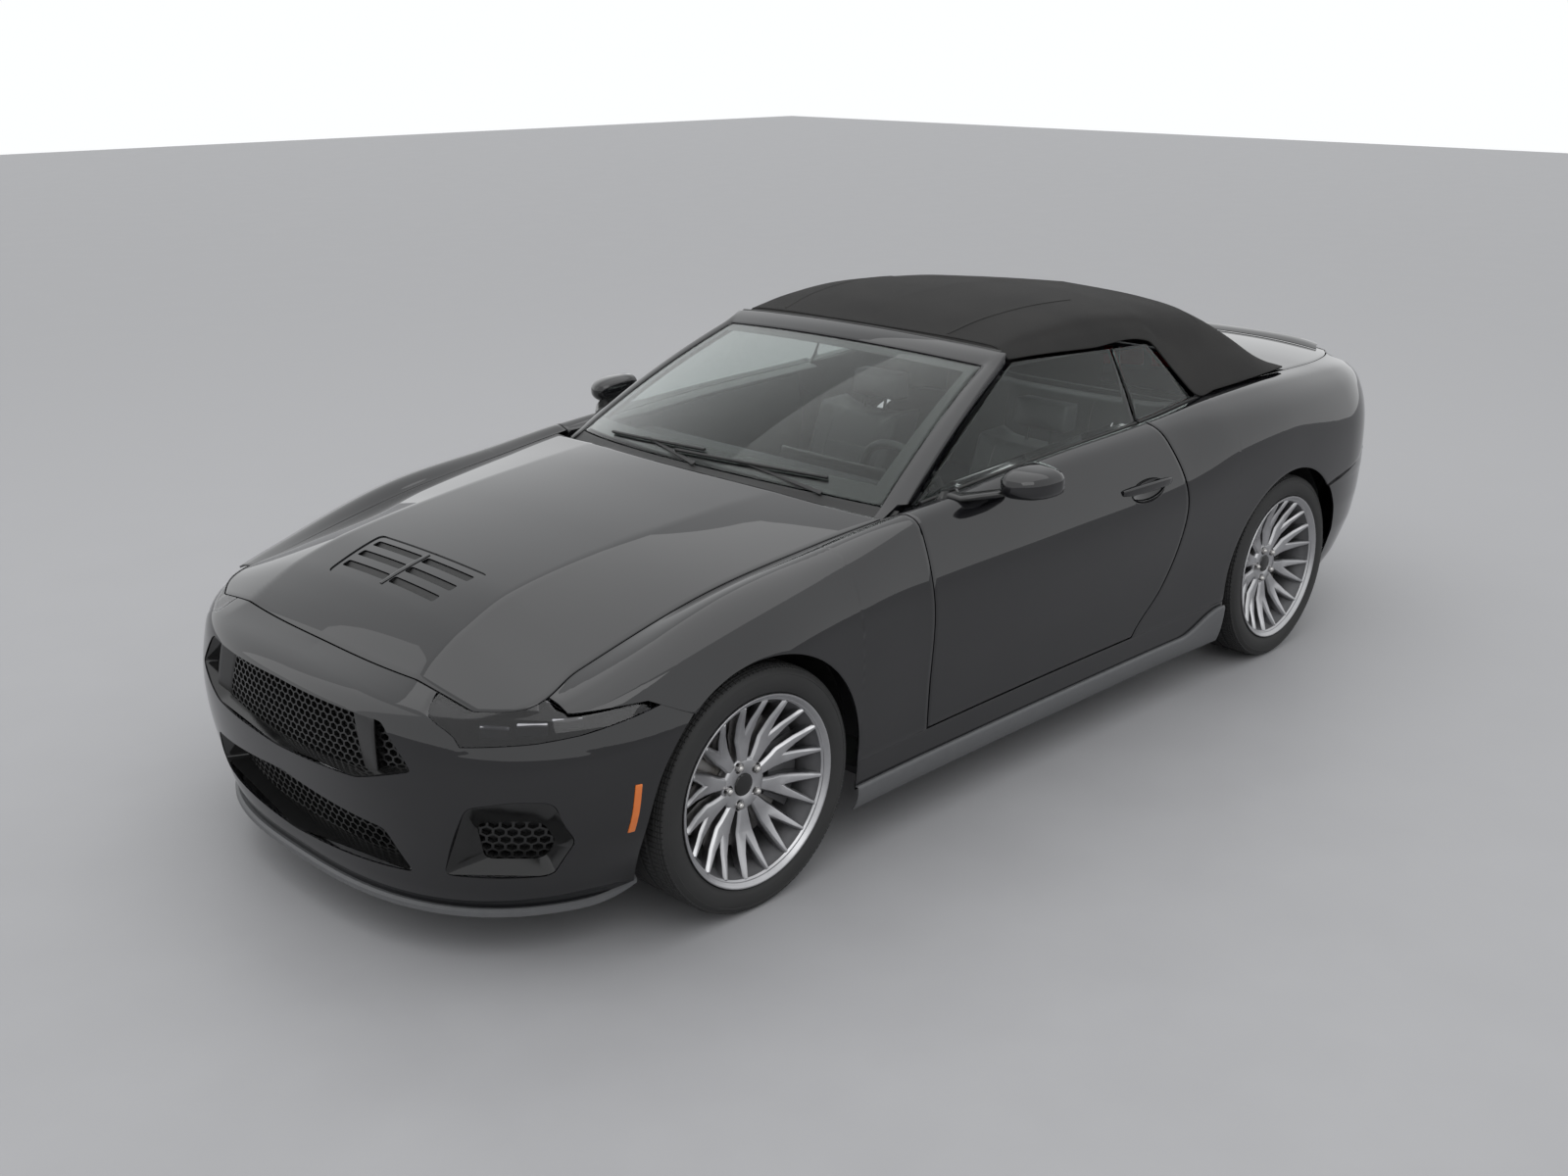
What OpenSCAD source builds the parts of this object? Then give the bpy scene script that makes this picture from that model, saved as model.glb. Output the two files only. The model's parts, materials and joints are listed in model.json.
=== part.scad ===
// Two-door convertible muscle car with its fabric top up.
// +X points forward, +Y to the car's left and +Z up; the origin lies on the ground
// under the middle of the car's length.

/* [Overall] */
// Length from bumper to bumper
body_length = 4811; // [4700:1:4950]
// Width of the body at the rear haunches, without mirrors
body_width = 1915; // [1880:1:1960]
// Height of the fabric top above the ground
body_height = 1395; // [1360:1:1430]
// Distance between the axles, as a share of the length
wheelbase_share = 0.565371; // [0.55:0.001:0.58]
// Distance from the nose to the front axle, as a share of the length
overhang_share = 0.182914; // [0.178:0.001:0.188]

/* [Wheels] */
// Outside diameter of the tyres
tyre_d = 694; // [680:1:704]
// Width of the tyres
tyre_w = 265; // [245:1:275]
// Diameter over the rim flanges, as a share of the tyre's
flange_share = 0.782421; // [0.72:0.005:0.787]
// Distance between the front tyres' middles, as a share of the width
front_track_share = 0.830287; // [0.82:0.001:0.835]
// Distance between the rear tyres' middles, as a share of the width
rear_track_share = 0.841775; // [0.83:0.001:0.846]
// Forked spokes in each wheel
spoke_count = 10; // [8:1:12]
// Radius of the arch cut in the fenders and quarters
arch_r = 384; // [376:1:390]

/* [Panels] */
// Thickness of fender, quarter and bumper walls
skin_t = 12; // [8:1:16]
// Thickness of the hood and the deck lid
lid_t = 28; // [24:1:34]
// Thickness of the doors at the belt
door_t = 105; // [90:1:120]
// Gap round the panels that open
shut_gap = 8; // [6:0.5:9]
// Gap between panels that are bolted together
seam_gap = 0.6; // [0.4:0.1:0.8]
// Thickness of the glass
glass_t = 5; // [4:0.5:6]

/* [Hidden] */
half_w = body_width / 2;
wheelbase = wheelbase_share * body_length;
front_overhang = overhang_share * body_length;
flange_d = flange_share * tyre_d;
front_track = front_track_share * body_width;
rear_track = rear_track_share * body_width;
front_axle_x = body_length / 2 - front_overhang;
rear_axle_x = front_axle_x - wheelbase;
axle_z = tyre_d / 2;
overrun = 20;
$fn = 64;

// Columns of the side sections: place along the length, then across and up for the
// shut line, the crest, the upper side, the widest line, the lower side and the sill.
// Places are shares of body_length, half_w and body_height.
side_shares = [
    [-0.480, 0.480, 0.697, 0.522, 0.685, 0.554, 0.645, 0.574, 0.566, 0.569, 0.373, 0.533, 0.201],
    [-0.428, 0.627, 0.712, 0.721, 0.697, 0.778, 0.660, 0.8125, 0.566, 0.807, 0.373, 0.752, 0.186],
    [-0.3845, 0.705, 0.723, 0.809, 0.711, 0.888, 0.667, 0.934, 0.566, 0.929, 0.366, 0.888, 0.179],
    [-0.343, 0.747, 0.731, 0.840, 0.720, 0.934, 0.674, 0.986, 0.566, 0.980, 0.358, 0.940, 0.172],
    [-0.248, 0.778, 0.742, 0.867, 0.735, 0.966, 0.681, 1.000, 0.573, 0.997, 0.358, 0.971, 0.158],
    [-0.166, 0.799, 0.738, 0.865, 0.734, 0.952, 0.685, 0.994, 0.563, 0.973, 0.323, 0.961, 0.151],
    [-0.096, 0.809, 0.720, 0.856, 0.723, 0.924, 0.681, 0.984, 0.534, 0.956, 0.323, 0.950, 0.143],
    [ 0.042, 0.813, 0.701, 0.851, 0.706, 0.909, 0.667, 0.971, 0.502, 0.945, 0.308, 0.945, 0.143],
    [ 0.170, 0.792, 0.667, 0.851, 0.675, 0.909, 0.642, 0.966, 0.495, 0.952, 0.301, 0.945, 0.143],
    [ 0.229, 0.768, 0.647, 0.844, 0.654, 0.921, 0.618, 0.975, 0.502, 0.968, 0.287, 0.948, 0.143],
    [ 0.317, 0.747, 0.609, 0.836, 0.620, 0.935, 0.582, 0.995, 0.495, 0.990, 0.323, 0.956, 0.143],
    [ 0.405, 0.747, 0.539, 0.836, 0.532, 0.904, 0.498, 0.966, 0.401, 0.966, 0.251, 0.924, 0.129],
    [ 0.441, 0.760, 0.505, 0.799, 0.498, 0.836, 0.480, 0.867, 0.401, 0.867, 0.251, 0.836, 0.129],
    [ 0.470, 0.560, 0.490, 0.680, 0.485, 0.710, 0.470, 0.740, 0.401, 0.740, 0.251, 0.720, 0.129]];

// Columns of the hood: place along the length, height of the middle, then across and
// up for the raised crease.
hood_shares = [
    [0.155, 0.722, 0.458, 0.703],
    [0.202, 0.711, 0.444, 0.695],
    [0.249, 0.697, 0.428, 0.685],
    [0.322, 0.672, 0.407, 0.663],
    [0.395, 0.634, 0.407, 0.625],
    [0.430, 0.599, 0.428, 0.584],
    [0.450, 0.562, 0.433, 0.549],
    [0.467, 0.517, 0.439, 0.512]];

// Columns of the deck: place along the length and height of the middle.
deck_shares = [[-0.480, 0.706], [-0.457, 0.720], [-0.374, 0.741], [-0.290, 0.749]];

// Columns of the nose: height, place along the length of the middle, power of the
// rounding and how far the row is tucked in.
nose_shares = [
    [0.090, 0.489, 2.75, 0.870], [0.110, 0.491, 2.75, 0.890], [0.150, 0.494, 2.75, 0.932],
    [0.240, 0.497, 2.75, 0.983], [0.300, 0.499, 2.70, 1.000], [0.358, 0.500, 2.65, 1.000],
    [0.430, 0.4985, 2.55, 1.000], [0.473, 0.4955, 2.50, 1.000], [0.495, 0.489, 2.45, 1.000],
    [0.507, 0.480, 2.40, 1.000], [0.518, 0.466, 2.40, 1.000]];

// Columns of the tail: height and place along the length of the middle.
tail_shares = [
    [0.140, -0.456], [0.180, -0.470], [0.240, -0.486], [0.320, -0.496], [0.430, -0.500],
    [0.540, -0.4985], [0.610, -0.496], [0.680, -0.490], [0.705, -0.478]];

// Columns of the fabric top: place along the length, height of the middle, across and
// up for the shoulder, across and up for the lower edge.
top_shares = [
    [-0.3035, 0.7535, 0.585, 0.751, 0.759, 0.7455],
    [-0.2827, 0.814, 0.611, 0.792, 0.781, 0.7485],
    [-0.2536, 0.883, 0.616, 0.849, 0.794, 0.7480],
    [-0.2183, 0.950, 0.595, 0.905, 0.802, 0.7465],
    [-0.1871, 0.969, 0.590, 0.926, 0.804, 0.7455],
    [-0.1625, 0.979, 0.585, 0.939, 0.802, 0.7445],
    [-0.1480, 0.985, 0.585, 0.946, 0.748, 0.8060],
    [-0.1290, 0.991, 0.580, 0.956, 0.686, 0.8860],
    [-0.0620, 1.000, 0.564, 0.969, 0.670, 0.8965],
    [-0.0100, 0.984, 0.556, 0.956, 0.648, 0.9035],
    [ 0.0240, 0.950, 0.545, 0.936, 0.628, 0.9040]];

// Columns of the side windows' upper line: place along the length, across, up.
glass_top_shares = [
    [-0.170, 0.692, 0.873], [-0.129, 0.684, 0.880], [-0.062, 0.668, 0.890],
    [-0.010, 0.646, 0.897], [0.024, 0.626, 0.898]];

// Columns of the door's rear edge: height and shift along the length.
door_edge_shares = [
    [0.200, 0.0500], [0.244, 0.0395], [0.323, 0.0133], [0.430, -0.0010], [0.560, -0.0040],
    [0.740, 0.0145]];

// Columns of the nose's upper edge: share of the way round, height.
nose_edge_shares = [
    [0.00, 0.514], [0.25, 0.508], [0.45, 0.495], [0.54, 0.488], [0.563, 0.445], [0.70, 0.455],
    [0.85, 0.474], [1.00, 0.492]];
// Columns of the headlamp's upper edge: share of the way round, height.
lamp_edge_shares = [[0.52, 0.486], [0.65, 0.4915], [0.80, 0.4935], [1.00, 0.4935]];

// Interpolation between the rows of a table whose first column rises.
function seg_of(table, x, i = 0) =
    i >= len(table) - 2 || x < table[i + 1][0] ? i : seg_of(table, x, i + 1);
function slope_at(table, i) =
    let (a = max(i - 1, 0), b = min(i + 1, len(table) - 1))
    (table[b] - table[a]) / (table[b][0] - table[a][0]);
function row_at(table, place) =
    let (
        x = min(max(place, table[0][0]), table[len(table) - 1][0]),
        i = seg_of(table, x),
        a = table[i],
        b = table[i + 1],
        h = b[0] - a[0],
        s = (x - a[0]) / h)
    a * (2 * pow(s, 3) - 3 * s * s + 1) + slope_at(table, i) * h * (pow(s, 3) - 2 * s * s + s)
    + b * (3 * s * s - 2 * pow(s, 3)) + slope_at(table, i + 1) * h * (pow(s, 3) - s * s);
function straight_at(table, x) =
    let (i = seg_of(table, x), a = table[i], b = table[i + 1])
    a + (b - a) * min(max((x - a[0]) / (b[0] - a[0]), 0), 1);
function lerp(a, b, s) = a + (b - a) * s;

// A smooth line through points, sampled evenly.
per_span = 5;
function bend(p0, p1, p2, p3, s) =
    (2 * p1 + (p2 - p0) * s + (2 * p0 - 5 * p1 + 4 * p2 - p3) * s * s
    + (3 * p1 - p0 - 3 * p2 + p3) * pow(s, 3)) / 2;
function spline(p) =
    let (n = len(p) - 1)
    concat([for (i = [0 : n - 1]) for (k = [0 : per_span - 1])
        bend(p[max(i - 1, 0)], p[i], p[i + 1], p[min(i + 2, n)], k / per_span)], [p[n]]);
function first_below(p, z, i = 0) = i >= len(p) || p[i][1] <= z ? i : first_below(p, z, i + 1);
function crossing(a, b, z) = lerp(a, b, (a[1] - z) / (a[1] - b[1]));
function clip_low(p, z) =
    let (k = first_below(p, z, 1))
    k >= len(p) ? p : concat([for (i = [0 : k - 1]) p[i]], [crossing(p[k - 1], p[k], z)]);
function run_of(p, i = 0, sum = 0) =
    i >= len(p) - 1 ? [sum] : concat([sum], run_of(p, i + 1, sum + norm(p[i + 1] - p[i])));
function at_run(p, run, d, i = 0) =
    i >= len(p) - 2 || d <= run[i + 1]
        ? lerp(p[i], p[i + 1], (d - run[i]) / max(run[i + 1] - run[i], 1e-6))
        : at_run(p, run, d, i + 1);
function resample(p, n, power = 1) =
    let (run = run_of(p), total = run[len(run) - 1])
    [for (k = [0 : n]) at_run(p, run, total * pow(k / n, power))];
// Points moved inward, square to the line they lie on.
function inward(p, t) =
    let (n = len(p) - 1)
    [for (k = [0 : n]) let (d = p[min(k + 1, n)] - p[max(k - 1, 0)]) p[k] + t * [d[1], -d[0]] / norm(d)];

// A closed solid between two grids of points with the same rows and columns.
module shell(outer, inner, flip = false) {
    rows = len(outer);
    cols = len(outer[0]);
    base = rows * cols;
    points = concat([for (r = outer) each r], [for (r = inner) each r]);
    quads = concat(
        [for (i = [0 : rows - 2]) for (j = [0 : cols - 2])
            [i * cols + j, i * cols + j + 1, (i + 1) * cols + j + 1, (i + 1) * cols + j]],
        [for (i = [0 : rows - 2]) for (j = [0 : cols - 2])
            [base + i * cols + j, base + (i + 1) * cols + j, base + (i + 1) * cols + j + 1,
            base + i * cols + j + 1]],
        [for (i = [0 : rows - 2])
            [i * cols, (i + 1) * cols, base + (i + 1) * cols, base + i * cols]],
        [for (i = [0 : rows - 2])
            [i * cols + cols - 1, base + i * cols + cols - 1, base + (i + 1) * cols + cols - 1,
            (i + 1) * cols + cols - 1]],
        [for (j = [0 : cols - 2]) [j, base + j, base + j + 1, j + 1]],
        [for (j = [0 : cols - 2])
            [(rows - 1) * cols + j, (rows - 1) * cols + j + 1, base + (rows - 1) * cols + j + 1,
            base + (rows - 1) * cols + j]]);
    faces = [for (q = quads) each [[q[0], q[1], q[2]], [q[0], q[2], q[3]]]];
    polyhedron(points, flip ? [for (f = faces) [f[0], f[2], f[1]]] : faces);
}
module both_sides() {
    children();
    mirror([0, 1, 0]) children();
}
module side(s) {
    if (s > 0) children();
    else mirror([0, 1, 0]) children();
}
// A block given by its low and high corners.
module block(low, high) translate(low) cube(high - low);
// A prism between two values of y from an outline of [x, z] points.
module prism_y(points, y0, y1)
    translate([0, y1, 0]) rotate([90, 0, 0]) linear_extrude(y1 - y0) polygon(points);
// A rod along y.
module rod_y(r, y0, y1) translate([0, y1, 0]) rotate([90, 0, 0]) cylinder(r = r, h = y1 - y0);

// The body side: section at a place along the length, from the shut line to the sill.
function side_keys(x) =
    let (r = row_at(side_shares, x / body_length))
    [for (k = [0 : 5]) [r[1 + 2 * k] * half_w, r[2 + 2 * k] * body_height]];
function side_line(x) = spline(side_keys(x));
function edge_y(x) = side_keys(x)[0][0];
function edge_z(x) = side_keys(x)[0][1];
function side_y(x, z) = let (p = clip_low(side_line(x), z)) p[len(p) - 1][0];

// Places of the seams and shut lines.
door_front_x = 0.1705 * body_length;
door_rear_x = -0.0965 * body_length;
skirt_top_z = 0.2186 * body_height;
fender_nose_x = 0.428 * body_length;
seam_low_x = front_axle_x + 0.62 * arch_r;
seam_high_x = 0.389 * body_length;
seam_high_z = 0.502 * body_height;
quarter_tail_x = -0.428 * body_length;
quarter_arch_z = axle_z + 0.702 * arch_r;
tail_seam_z = quarter_arch_z + 0.065 * body_height;
hood_rear_mid_x = 0.2150 * body_length;
hood_rear_sweep = 0.0345 * body_length;
hood_front_mid_x = 0.466 * body_length;
hood_front_sweep = 0.008 * body_length;
deck_front_x = -0.3045 * body_length;
deck_rear_x = -0.4755 * body_length;
crown_h = 8;

function arch_z(axle_x, x) = axle_z + sqrt(max(pow(arch_r, 2) - pow(x - axle_x, 2), 0));
function arch_dx(z) = sqrt(max(pow(arch_r, 2) - pow(z - axle_z, 2), 0));
function door_shift(z) = row_at(door_edge_shares, z / body_height)[1] * body_length;

// Grids on the body side. shares holds how far each station follows the door's rear edge.
crest_power = 1.5;
function side_rows(x, n, low) = resample(clip_low(side_line(x), low), n, crest_power);
function side_grid(xs, shares, lows, n) =
    [for (i = [0 : len(xs) - 1])
        let (flat = side_rows(xs[i], n, lows[i]))
        [for (j = [0 : n])
            let (
                x = xs[i] + shares[i] * door_shift(flat[j][1]),
                p = shares[i] == 0 ? flat[j] : side_rows(x, n, lows[i])[j])
            [x, p[0], p[1]]]];
function flat_of(row) = [for (p = row) [p[1], p[2]]];
function inner_grid(outer, t) =
    [for (row = outer) let (q = inward(flat_of(row), t)) [for (j = [0 : len(row) - 1])
        [row[j][0], q[j][0], j == len(row) - 1 ? max(q[j][1], row[j][2]) : q[j][1]]]];

// Fender
side_cells = 9;
arch_step = 13;
fender_back = [for (s = [0 : 3]) lerp(door_front_x + 1.35 * shut_gap, front_axle_x - arch_r, s / 3)];
fender_arch = [for (a = [12 : arch_step : 128]) front_axle_x - arch_r * cos(a)];
function fender_low(x) =
    x <= front_axle_x - arch_r + 1e-3 ? skirt_top_z
    : x <= seam_low_x ? arch_z(front_axle_x, x)
    : x <= seam_high_x
        ? lerp(arch_z(front_axle_x, seam_low_x), seam_high_z, (x - seam_low_x) / (seam_high_x - seam_low_x))
    : seam_high_z;
module fender_side() {
    xs = concat(fender_back, fender_arch, [seam_low_x], [seam_high_x], fender_front_xs);
    outer = side_grid(xs, [for (x = xs) 0], [for (x = xs) fender_low(x)], side_cells);
    shell(outer, inner_grid(outer, skin_t));
}
fender_front_xs = [for (s = [0.5, 1]) lerp(seam_high_x, fender_nose_x, s)];
module front_fenders() color([0.05, 0.05, 0.06]) both_sides() fender_side();

// Rear quarter
quarter_front_x = door_rear_x - 1.4 * shut_gap;
quarter_arch = [for (a = [118 : -arch_step : 12]) rear_axle_x + arch_r * cos(a)];
quarter_front = [for (s = [0, 0.3, 0.55, 0.8, 1]) lerp(rear_axle_x + arch_r, quarter_front_x, s)];
quarter_arch_x = rear_axle_x - arch_dx(quarter_arch_z);
quarter_tail = [for (s = [0, 0.2, 0.4, 0.6, 0.8]) lerp(quarter_tail_x, quarter_arch_x, s)];
function quarter_low(x) =
    x >= rear_axle_x + arch_r - 1e-3 ? skirt_top_z
    : x >= quarter_arch_x ? arch_z(rear_axle_x, x)
    : lerp(quarter_arch_z, tail_seam_z, (quarter_arch_x - x) / (quarter_arch_x - quarter_tail_x));
module quarter_side() {
    xs = concat(quarter_tail, [quarter_arch_x], [for (x = quarter_arch) if (x > quarter_arch_x + overrun)
        x],
        quarter_front);
    follow = [for (x = xs) max(0, 1 - (quarter_front_x - x) / (quarter_front_x - rear_axle_x - arch_r))];
    panel = side_grid(xs, follow, [for (x = xs) quarter_low(x)], side_cells);
    outer = [for (row = panel)
        let (w = row[0][0] > quarter_glass_low_x - overrun ? flange_w : flange_least)
        concat([row[0] - [0, w, 0]], row)];
    shell(outer, inner_grid(outer, skin_t));
}
flange_w = 26;
flange_least = 1;
module rear_quarters() color([0.05, 0.05, 0.06]) both_sides() quarter_side();

// Doors
door_low_z = skirt_top_z + shut_gap;
door_stations = 12;
door_inner_low_y = 0.835 * half_w;
door_back_inset = 26;
hinge_back = 45;
hinge_in = 25;
door_hinge_x = door_front_x - hinge_back;
door_hinge_y = side_y(door_front_x, 0.5 * body_height) - hinge_in;
hinge_zs = [0.30 * body_height, 0.46 * body_height];
strap_t = 12;
strap_gap = 2;
hinge_pin_r = 6;
hinge_pin_h = 52;
pin_gap = 0.15;
strap_r = 9;
door_taper_l = 0.07 * body_length;
door_top_least = 3;
function door_inner_top_y(x) =
    edge_y(x) - lerp(door_top_least, 0.75 * door_t, min(1, (door_front_x - x) / door_taper_l));
module door_body() {
    xs = [for (i = [0 : door_stations]) lerp(door_rear_x, door_front_x, i / door_stations)];
    follow = [for (i = [0 : door_stations]) max(0, 1 - i / 5)];
    outer = side_grid(xs, follow, [for (x = xs) door_low_z], side_cells);
    inner = [for (i = [0 : door_stations]) [for (j = [0 : side_cells])
        let (q = outer[i][0], z = lerp(q[2], outer[i][side_cells][2], j / side_cells))
        [xs[i] + follow[i] * door_shift(z) + door_back_inset * max(0, 1 - i),
        lerp(door_inner_top_y(q[0]), door_inner_low_y, j / side_cells), z]]];
    difference() {
        shell(outer, inner);
        translate([mirror_foot_x, mirror_foot_y, mirror_seat_z])
            cylinder(r = mirror_arm_r + seat_gap, h = body_height);
        for (z = hinge_zs) {
            block([door_hinge_x - 1.5 * strap_r - strap_gap, door_hinge_y - 1.3 * door_t,
                z - strap_t / 2 - strap_gap],
                [door_front_x + overrun, door_hinge_y + 0.8 * strap_r * 2, z + strap_t / 2 + strap_gap]);
            translate([door_hinge_x, door_hinge_y, z - hinge_pin_h / 2 - strap_gap])
                cylinder(r = hinge_pin_r + pin_gap, h = hinge_pin_h + 2 * strap_gap);
        }
    }
}
module door_l() color([0.05, 0.05, 0.06]) door_body();
module door_r() color([0.05, 0.05, 0.06]) mirror([0, 1, 0]) door_body();

// Door handles, laid on the door's skin
handle_x0 = -0.083 * body_length;
handle_x1 = -0.026 * body_length;
handle_z = 0.600 * body_height;
handle_h = 34;
handle_t = 15;
handle_cells = 4;
seat_gap = 0.4;
module handle_body() {
    grid = [for (i = [0 : handle_cells]) [for (j = [0 : handle_cells])
        let (x = lerp(handle_x0, handle_x1, i / handle_cells),
            z = handle_z + handle_h * (0.5 - j / handle_cells))
        [x, side_y(x, z), z]]];
    shell([for (r = grid) [for (p = r) p + [0, handle_t, 0]]], [for (r = grid) [for (p = r) p + [0,
        seat_gap, 0]]]);
}
module handle_l() color([0.05, 0.05, 0.06]) handle_body();
module handle_r() color([0.05, 0.05, 0.06]) mirror([0, 1, 0]) handle_body();

// Side glass: a ruled surface from the belt to the windows' upper line
glass_inset = 14;
glass_bulge = 10;
function belt_at(x) = [x, edge_y(x) - glass_inset, edge_z(x) + 2.5 * seat_gap];
function glass_top_at(x) =
    let (r = row_at(glass_top_shares, x / body_length)) [x, r[1] * half_w, r[2] * body_height];
function glass_at(x, v) = lerp(belt_at(x), glass_top_at(x), v) + [0, glass_bulge * v * (1 - v), 0];
glass_front_low_x = 0.148 * body_length;
glass_front_high_x = 0.0170 * body_length;
glass_cells = 8;
glass_rows = 4;
quarter_cells = 3;
quarter_glass_low_x = -0.1610 * body_length;
quarter_glass_high_x = -0.1275 * body_length;
// Share of the opening's height that the door's glass rises, which leaves a gap under the top
door_glass_rise = 0.983;
module glass_patch(back_low, back_high, front_low, front_high, cells, rise = 1) {
    outer = [for (i = [0 : cells]) [for (j = [0 : glass_rows])
        let (v = rise * (1 - j / glass_rows))
        glass_at(lerp(lerp(back_low, back_high, v), lerp(front_low, front_high, v), i / cells), v)]];
    shell(outer, [for (r = outer) [for (p = r) p - [0, glass_t, 0]]]);
}
glass_split_x = door_rear_x + door_shift(edge_z(door_rear_x));
module door_glass_body() glass_patch(glass_split_x + shut_gap / 2, glass_split_x + shut_gap / 2,
    glass_front_low_x, glass_front_high_x, glass_cells, door_glass_rise);
module door_glass_l() color([0.3, 0.34, 0.34, 0.5]) door_glass_body();
module door_glass_r() color([0.3, 0.34, 0.34, 0.5]) mirror([0, 1, 0]) door_glass_body();
module quarter_windows() color([0.3, 0.34, 0.34, 0.5]) both_sides()
    glass_patch(quarter_glass_low_x, quarter_glass_high_x, glass_split_x - 1.2 * shut_gap,
        glass_split_x - 1.2 * shut_gap, quarter_cells);

// Hood
function hood_row(x) = row_at(hood_shares, x / body_length);
function hood_z(x, y) =
    let (
        r = hood_row(x),
        mid = r[1] * body_height,
        cy = r[2] * half_w,
        cz = r[3] * body_height,
        a = abs(y),
        s = (a - cy) / max(edge_y(x) - cy, 1))
    a <= cy ? lerp(mid, cz, pow(a / cy, 2)) : lerp(cz, edge_z(x), s) + crown_h * s * (1 - s);
hood_gap = 1.2 * shut_gap;
function hood_half(x) = edge_y(x) - hood_gap;
hood_rows = 16;
hood_cols = [-1, -0.92, -0.8, -0.68, -0.56, -0.5, -0.35, -0.18, 0, 0.18, 0.35, 0.5, 0.56, 0.68, 0.8,
    0.92, 1];
function hood_point(s, c) =
    let (
        x = lerp(hood_rear_mid_x - hood_rear_sweep * c * c,
            hood_front_mid_x - hood_front_sweep * pow(abs(c), 3), s),
        y = c * hood_half(x))
    [x, y, hood_z(x, y)];
hood_front_inset = 16;
hood_hinge_y = 0.62 * half_w;
hood_hinge_back = 15;
hood_hinge_col = hood_hinge_y / hood_half(door_front_x);
hood_hinge_x = hood_point(0, hood_hinge_col)[0] + hood_hinge_back;
hood_hinge_z = hood_z(hood_hinge_x, hood_hinge_y) - lid_t / 2;
lid_pin_r = 5;
lid_pin_l = 56;
lid_strap_t = 14;
vent_x0 = 0.392 * body_length;
vent_x1 = 0.432 * body_length;
vent_w = 0.545 * half_w;
vent_taper = 0.92;
module lid_hinge_cut(x, y, z, reach) {
    block([x - reach, y - lid_strap_t / 2 - strap_gap, z - lid_t],
        [x + reach, y + lid_strap_t / 2 + strap_gap, z + 0.55 * lid_pin_r + strap_gap]);
    translate([x, 0, z]) rod_y(lid_pin_r + pin_gap, y - lid_pin_l / 2 - strap_gap,
        y + lid_pin_l / 2 + strap_gap);
}
module vent_prism(gap)
    linear_extrude(body_height) polygon([
        [vent_x0 + gap, vent_w / 2 - gap], [vent_x1 - gap, vent_taper * vent_w / 2 - gap],
        [vent_x1 - gap, gap - vent_taper * vent_w / 2], [vent_x0 + gap, gap - vent_w / 2]]);
module hood_sheet(low, high) {
    pts = [for (i = [0 : hood_rows]) [for (c = hood_cols) hood_point(i / hood_rows, c)]];
    shell([for (r = pts) [for (p = r) p - [0, 0, high]]],
        [for (i = [0 : hood_rows]) [for (p = pts[i])
            p - [i == hood_rows ? hood_front_inset : 0, 0, low]]]);
}
module hood() color([0.05, 0.05, 0.06]) difference() {
    hood_sheet(lid_t, 0);
    vent_prism(0);
    for (s = [-1, 1]) lid_hinge_cut(hood_hinge_x, s * hood_hinge_y, hood_hinge_z, lid_t);
}
vent_sink = 4;
vent_slot_l = 18;
vent_slot_pitch = 0.011 * body_length;
vent_rib = 18;
module hood_vent() color([0.03, 0.03, 0.03]) difference() {
    intersection() {
        hood_sheet(0.8 * lid_t, vent_sink);
        vent_prism(seam_gap);
    }
    for (s = [-1, 1]) for (k = [0 : 2])
        translate([vent_x0 + vent_slot_pitch * (0.45 + k), s > 0 ? vent_rib / 2 : -vent_w * 0.44, 0])
            cube([vent_slot_l, vent_w * 0.44 - vent_rib / 2, body_height]);
}

// Deck lid
function deck_z(x, y) =
    let (mid = row_at(deck_shares, x / body_length)[1] * body_height, s = abs(y) / edge_y(x))
    lerp(mid, edge_z(x), pow(s, 2.5));
deck_rows = 9;
deck_cols = 14;
deck_bow = 0.022 * body_length;
deck_front_bow = 0.002 * body_length;
function deck_point(s, c, grow = 0) =
    let (
        x = lerp(deck_rear_x + deck_bow * pow(c, 4) - grow, deck_front_x - deck_front_bow * (1 - c * c)
            - shut_gap, s),
        y = c * (edge_y(x) - hood_gap))
    [x, y, deck_z(x, y)];
deck_inset = 28;
deck_hinge_y = 0.50 * half_w;
deck_hinge_back = 15;
deck_hinge_x = deck_point(1, 0.66)[0] - deck_hinge_back;
deck_hinge_z = deck_z(deck_hinge_x, deck_hinge_y) - lid_t / 2;
module deck_lid() color([0.05, 0.05, 0.06]) difference() {
    union() {
        pts = [for (i = [0 : deck_rows]) [for (j = [0 : deck_cols]) deck_point(i / deck_rows,
            2 * j / deck_cols - 1)]];
        shell(pts, [for (i = [0 : deck_rows]) [for (p = pts[i]) p + [i == 0 ? deck_inset : 0, 0, -lid_t]]]);
    }
    for (s = [-1, 1]) lid_hinge_cut(deck_hinge_x, s * deck_hinge_y, deck_hinge_z, lid_t);
}
spoiler_l = 0.016 * body_length;
spoiler_h = 20;
spoiler_share = 0.93;
spoiler_cells = 14;
module rear_spoiler() color([0.05, 0.05, 0.06]) {
    base = [for (k = [0, 0.5, 1]) [for (j = [0 : spoiler_cells])
        let (c = spoiler_share * (2 * j / spoiler_cells - 1), q = deck_point(0.02 + 0.10 * k, c)) q]];
    shell([for (k = [0 : 2]) [for (p = base[k]) p + [k == 0 ? -spoiler_l / 4 : 0, 0,
        seat_gap + 3 + spoiler_h * (2 - k) / 2]]],
        [for (k = [0 : 2]) [for (p = base[k]) p + [0, 0, seat_gap]]]);
}

hood_corner = hood_point(1, 1);
hood_back = hood_point(0, 1);

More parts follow.
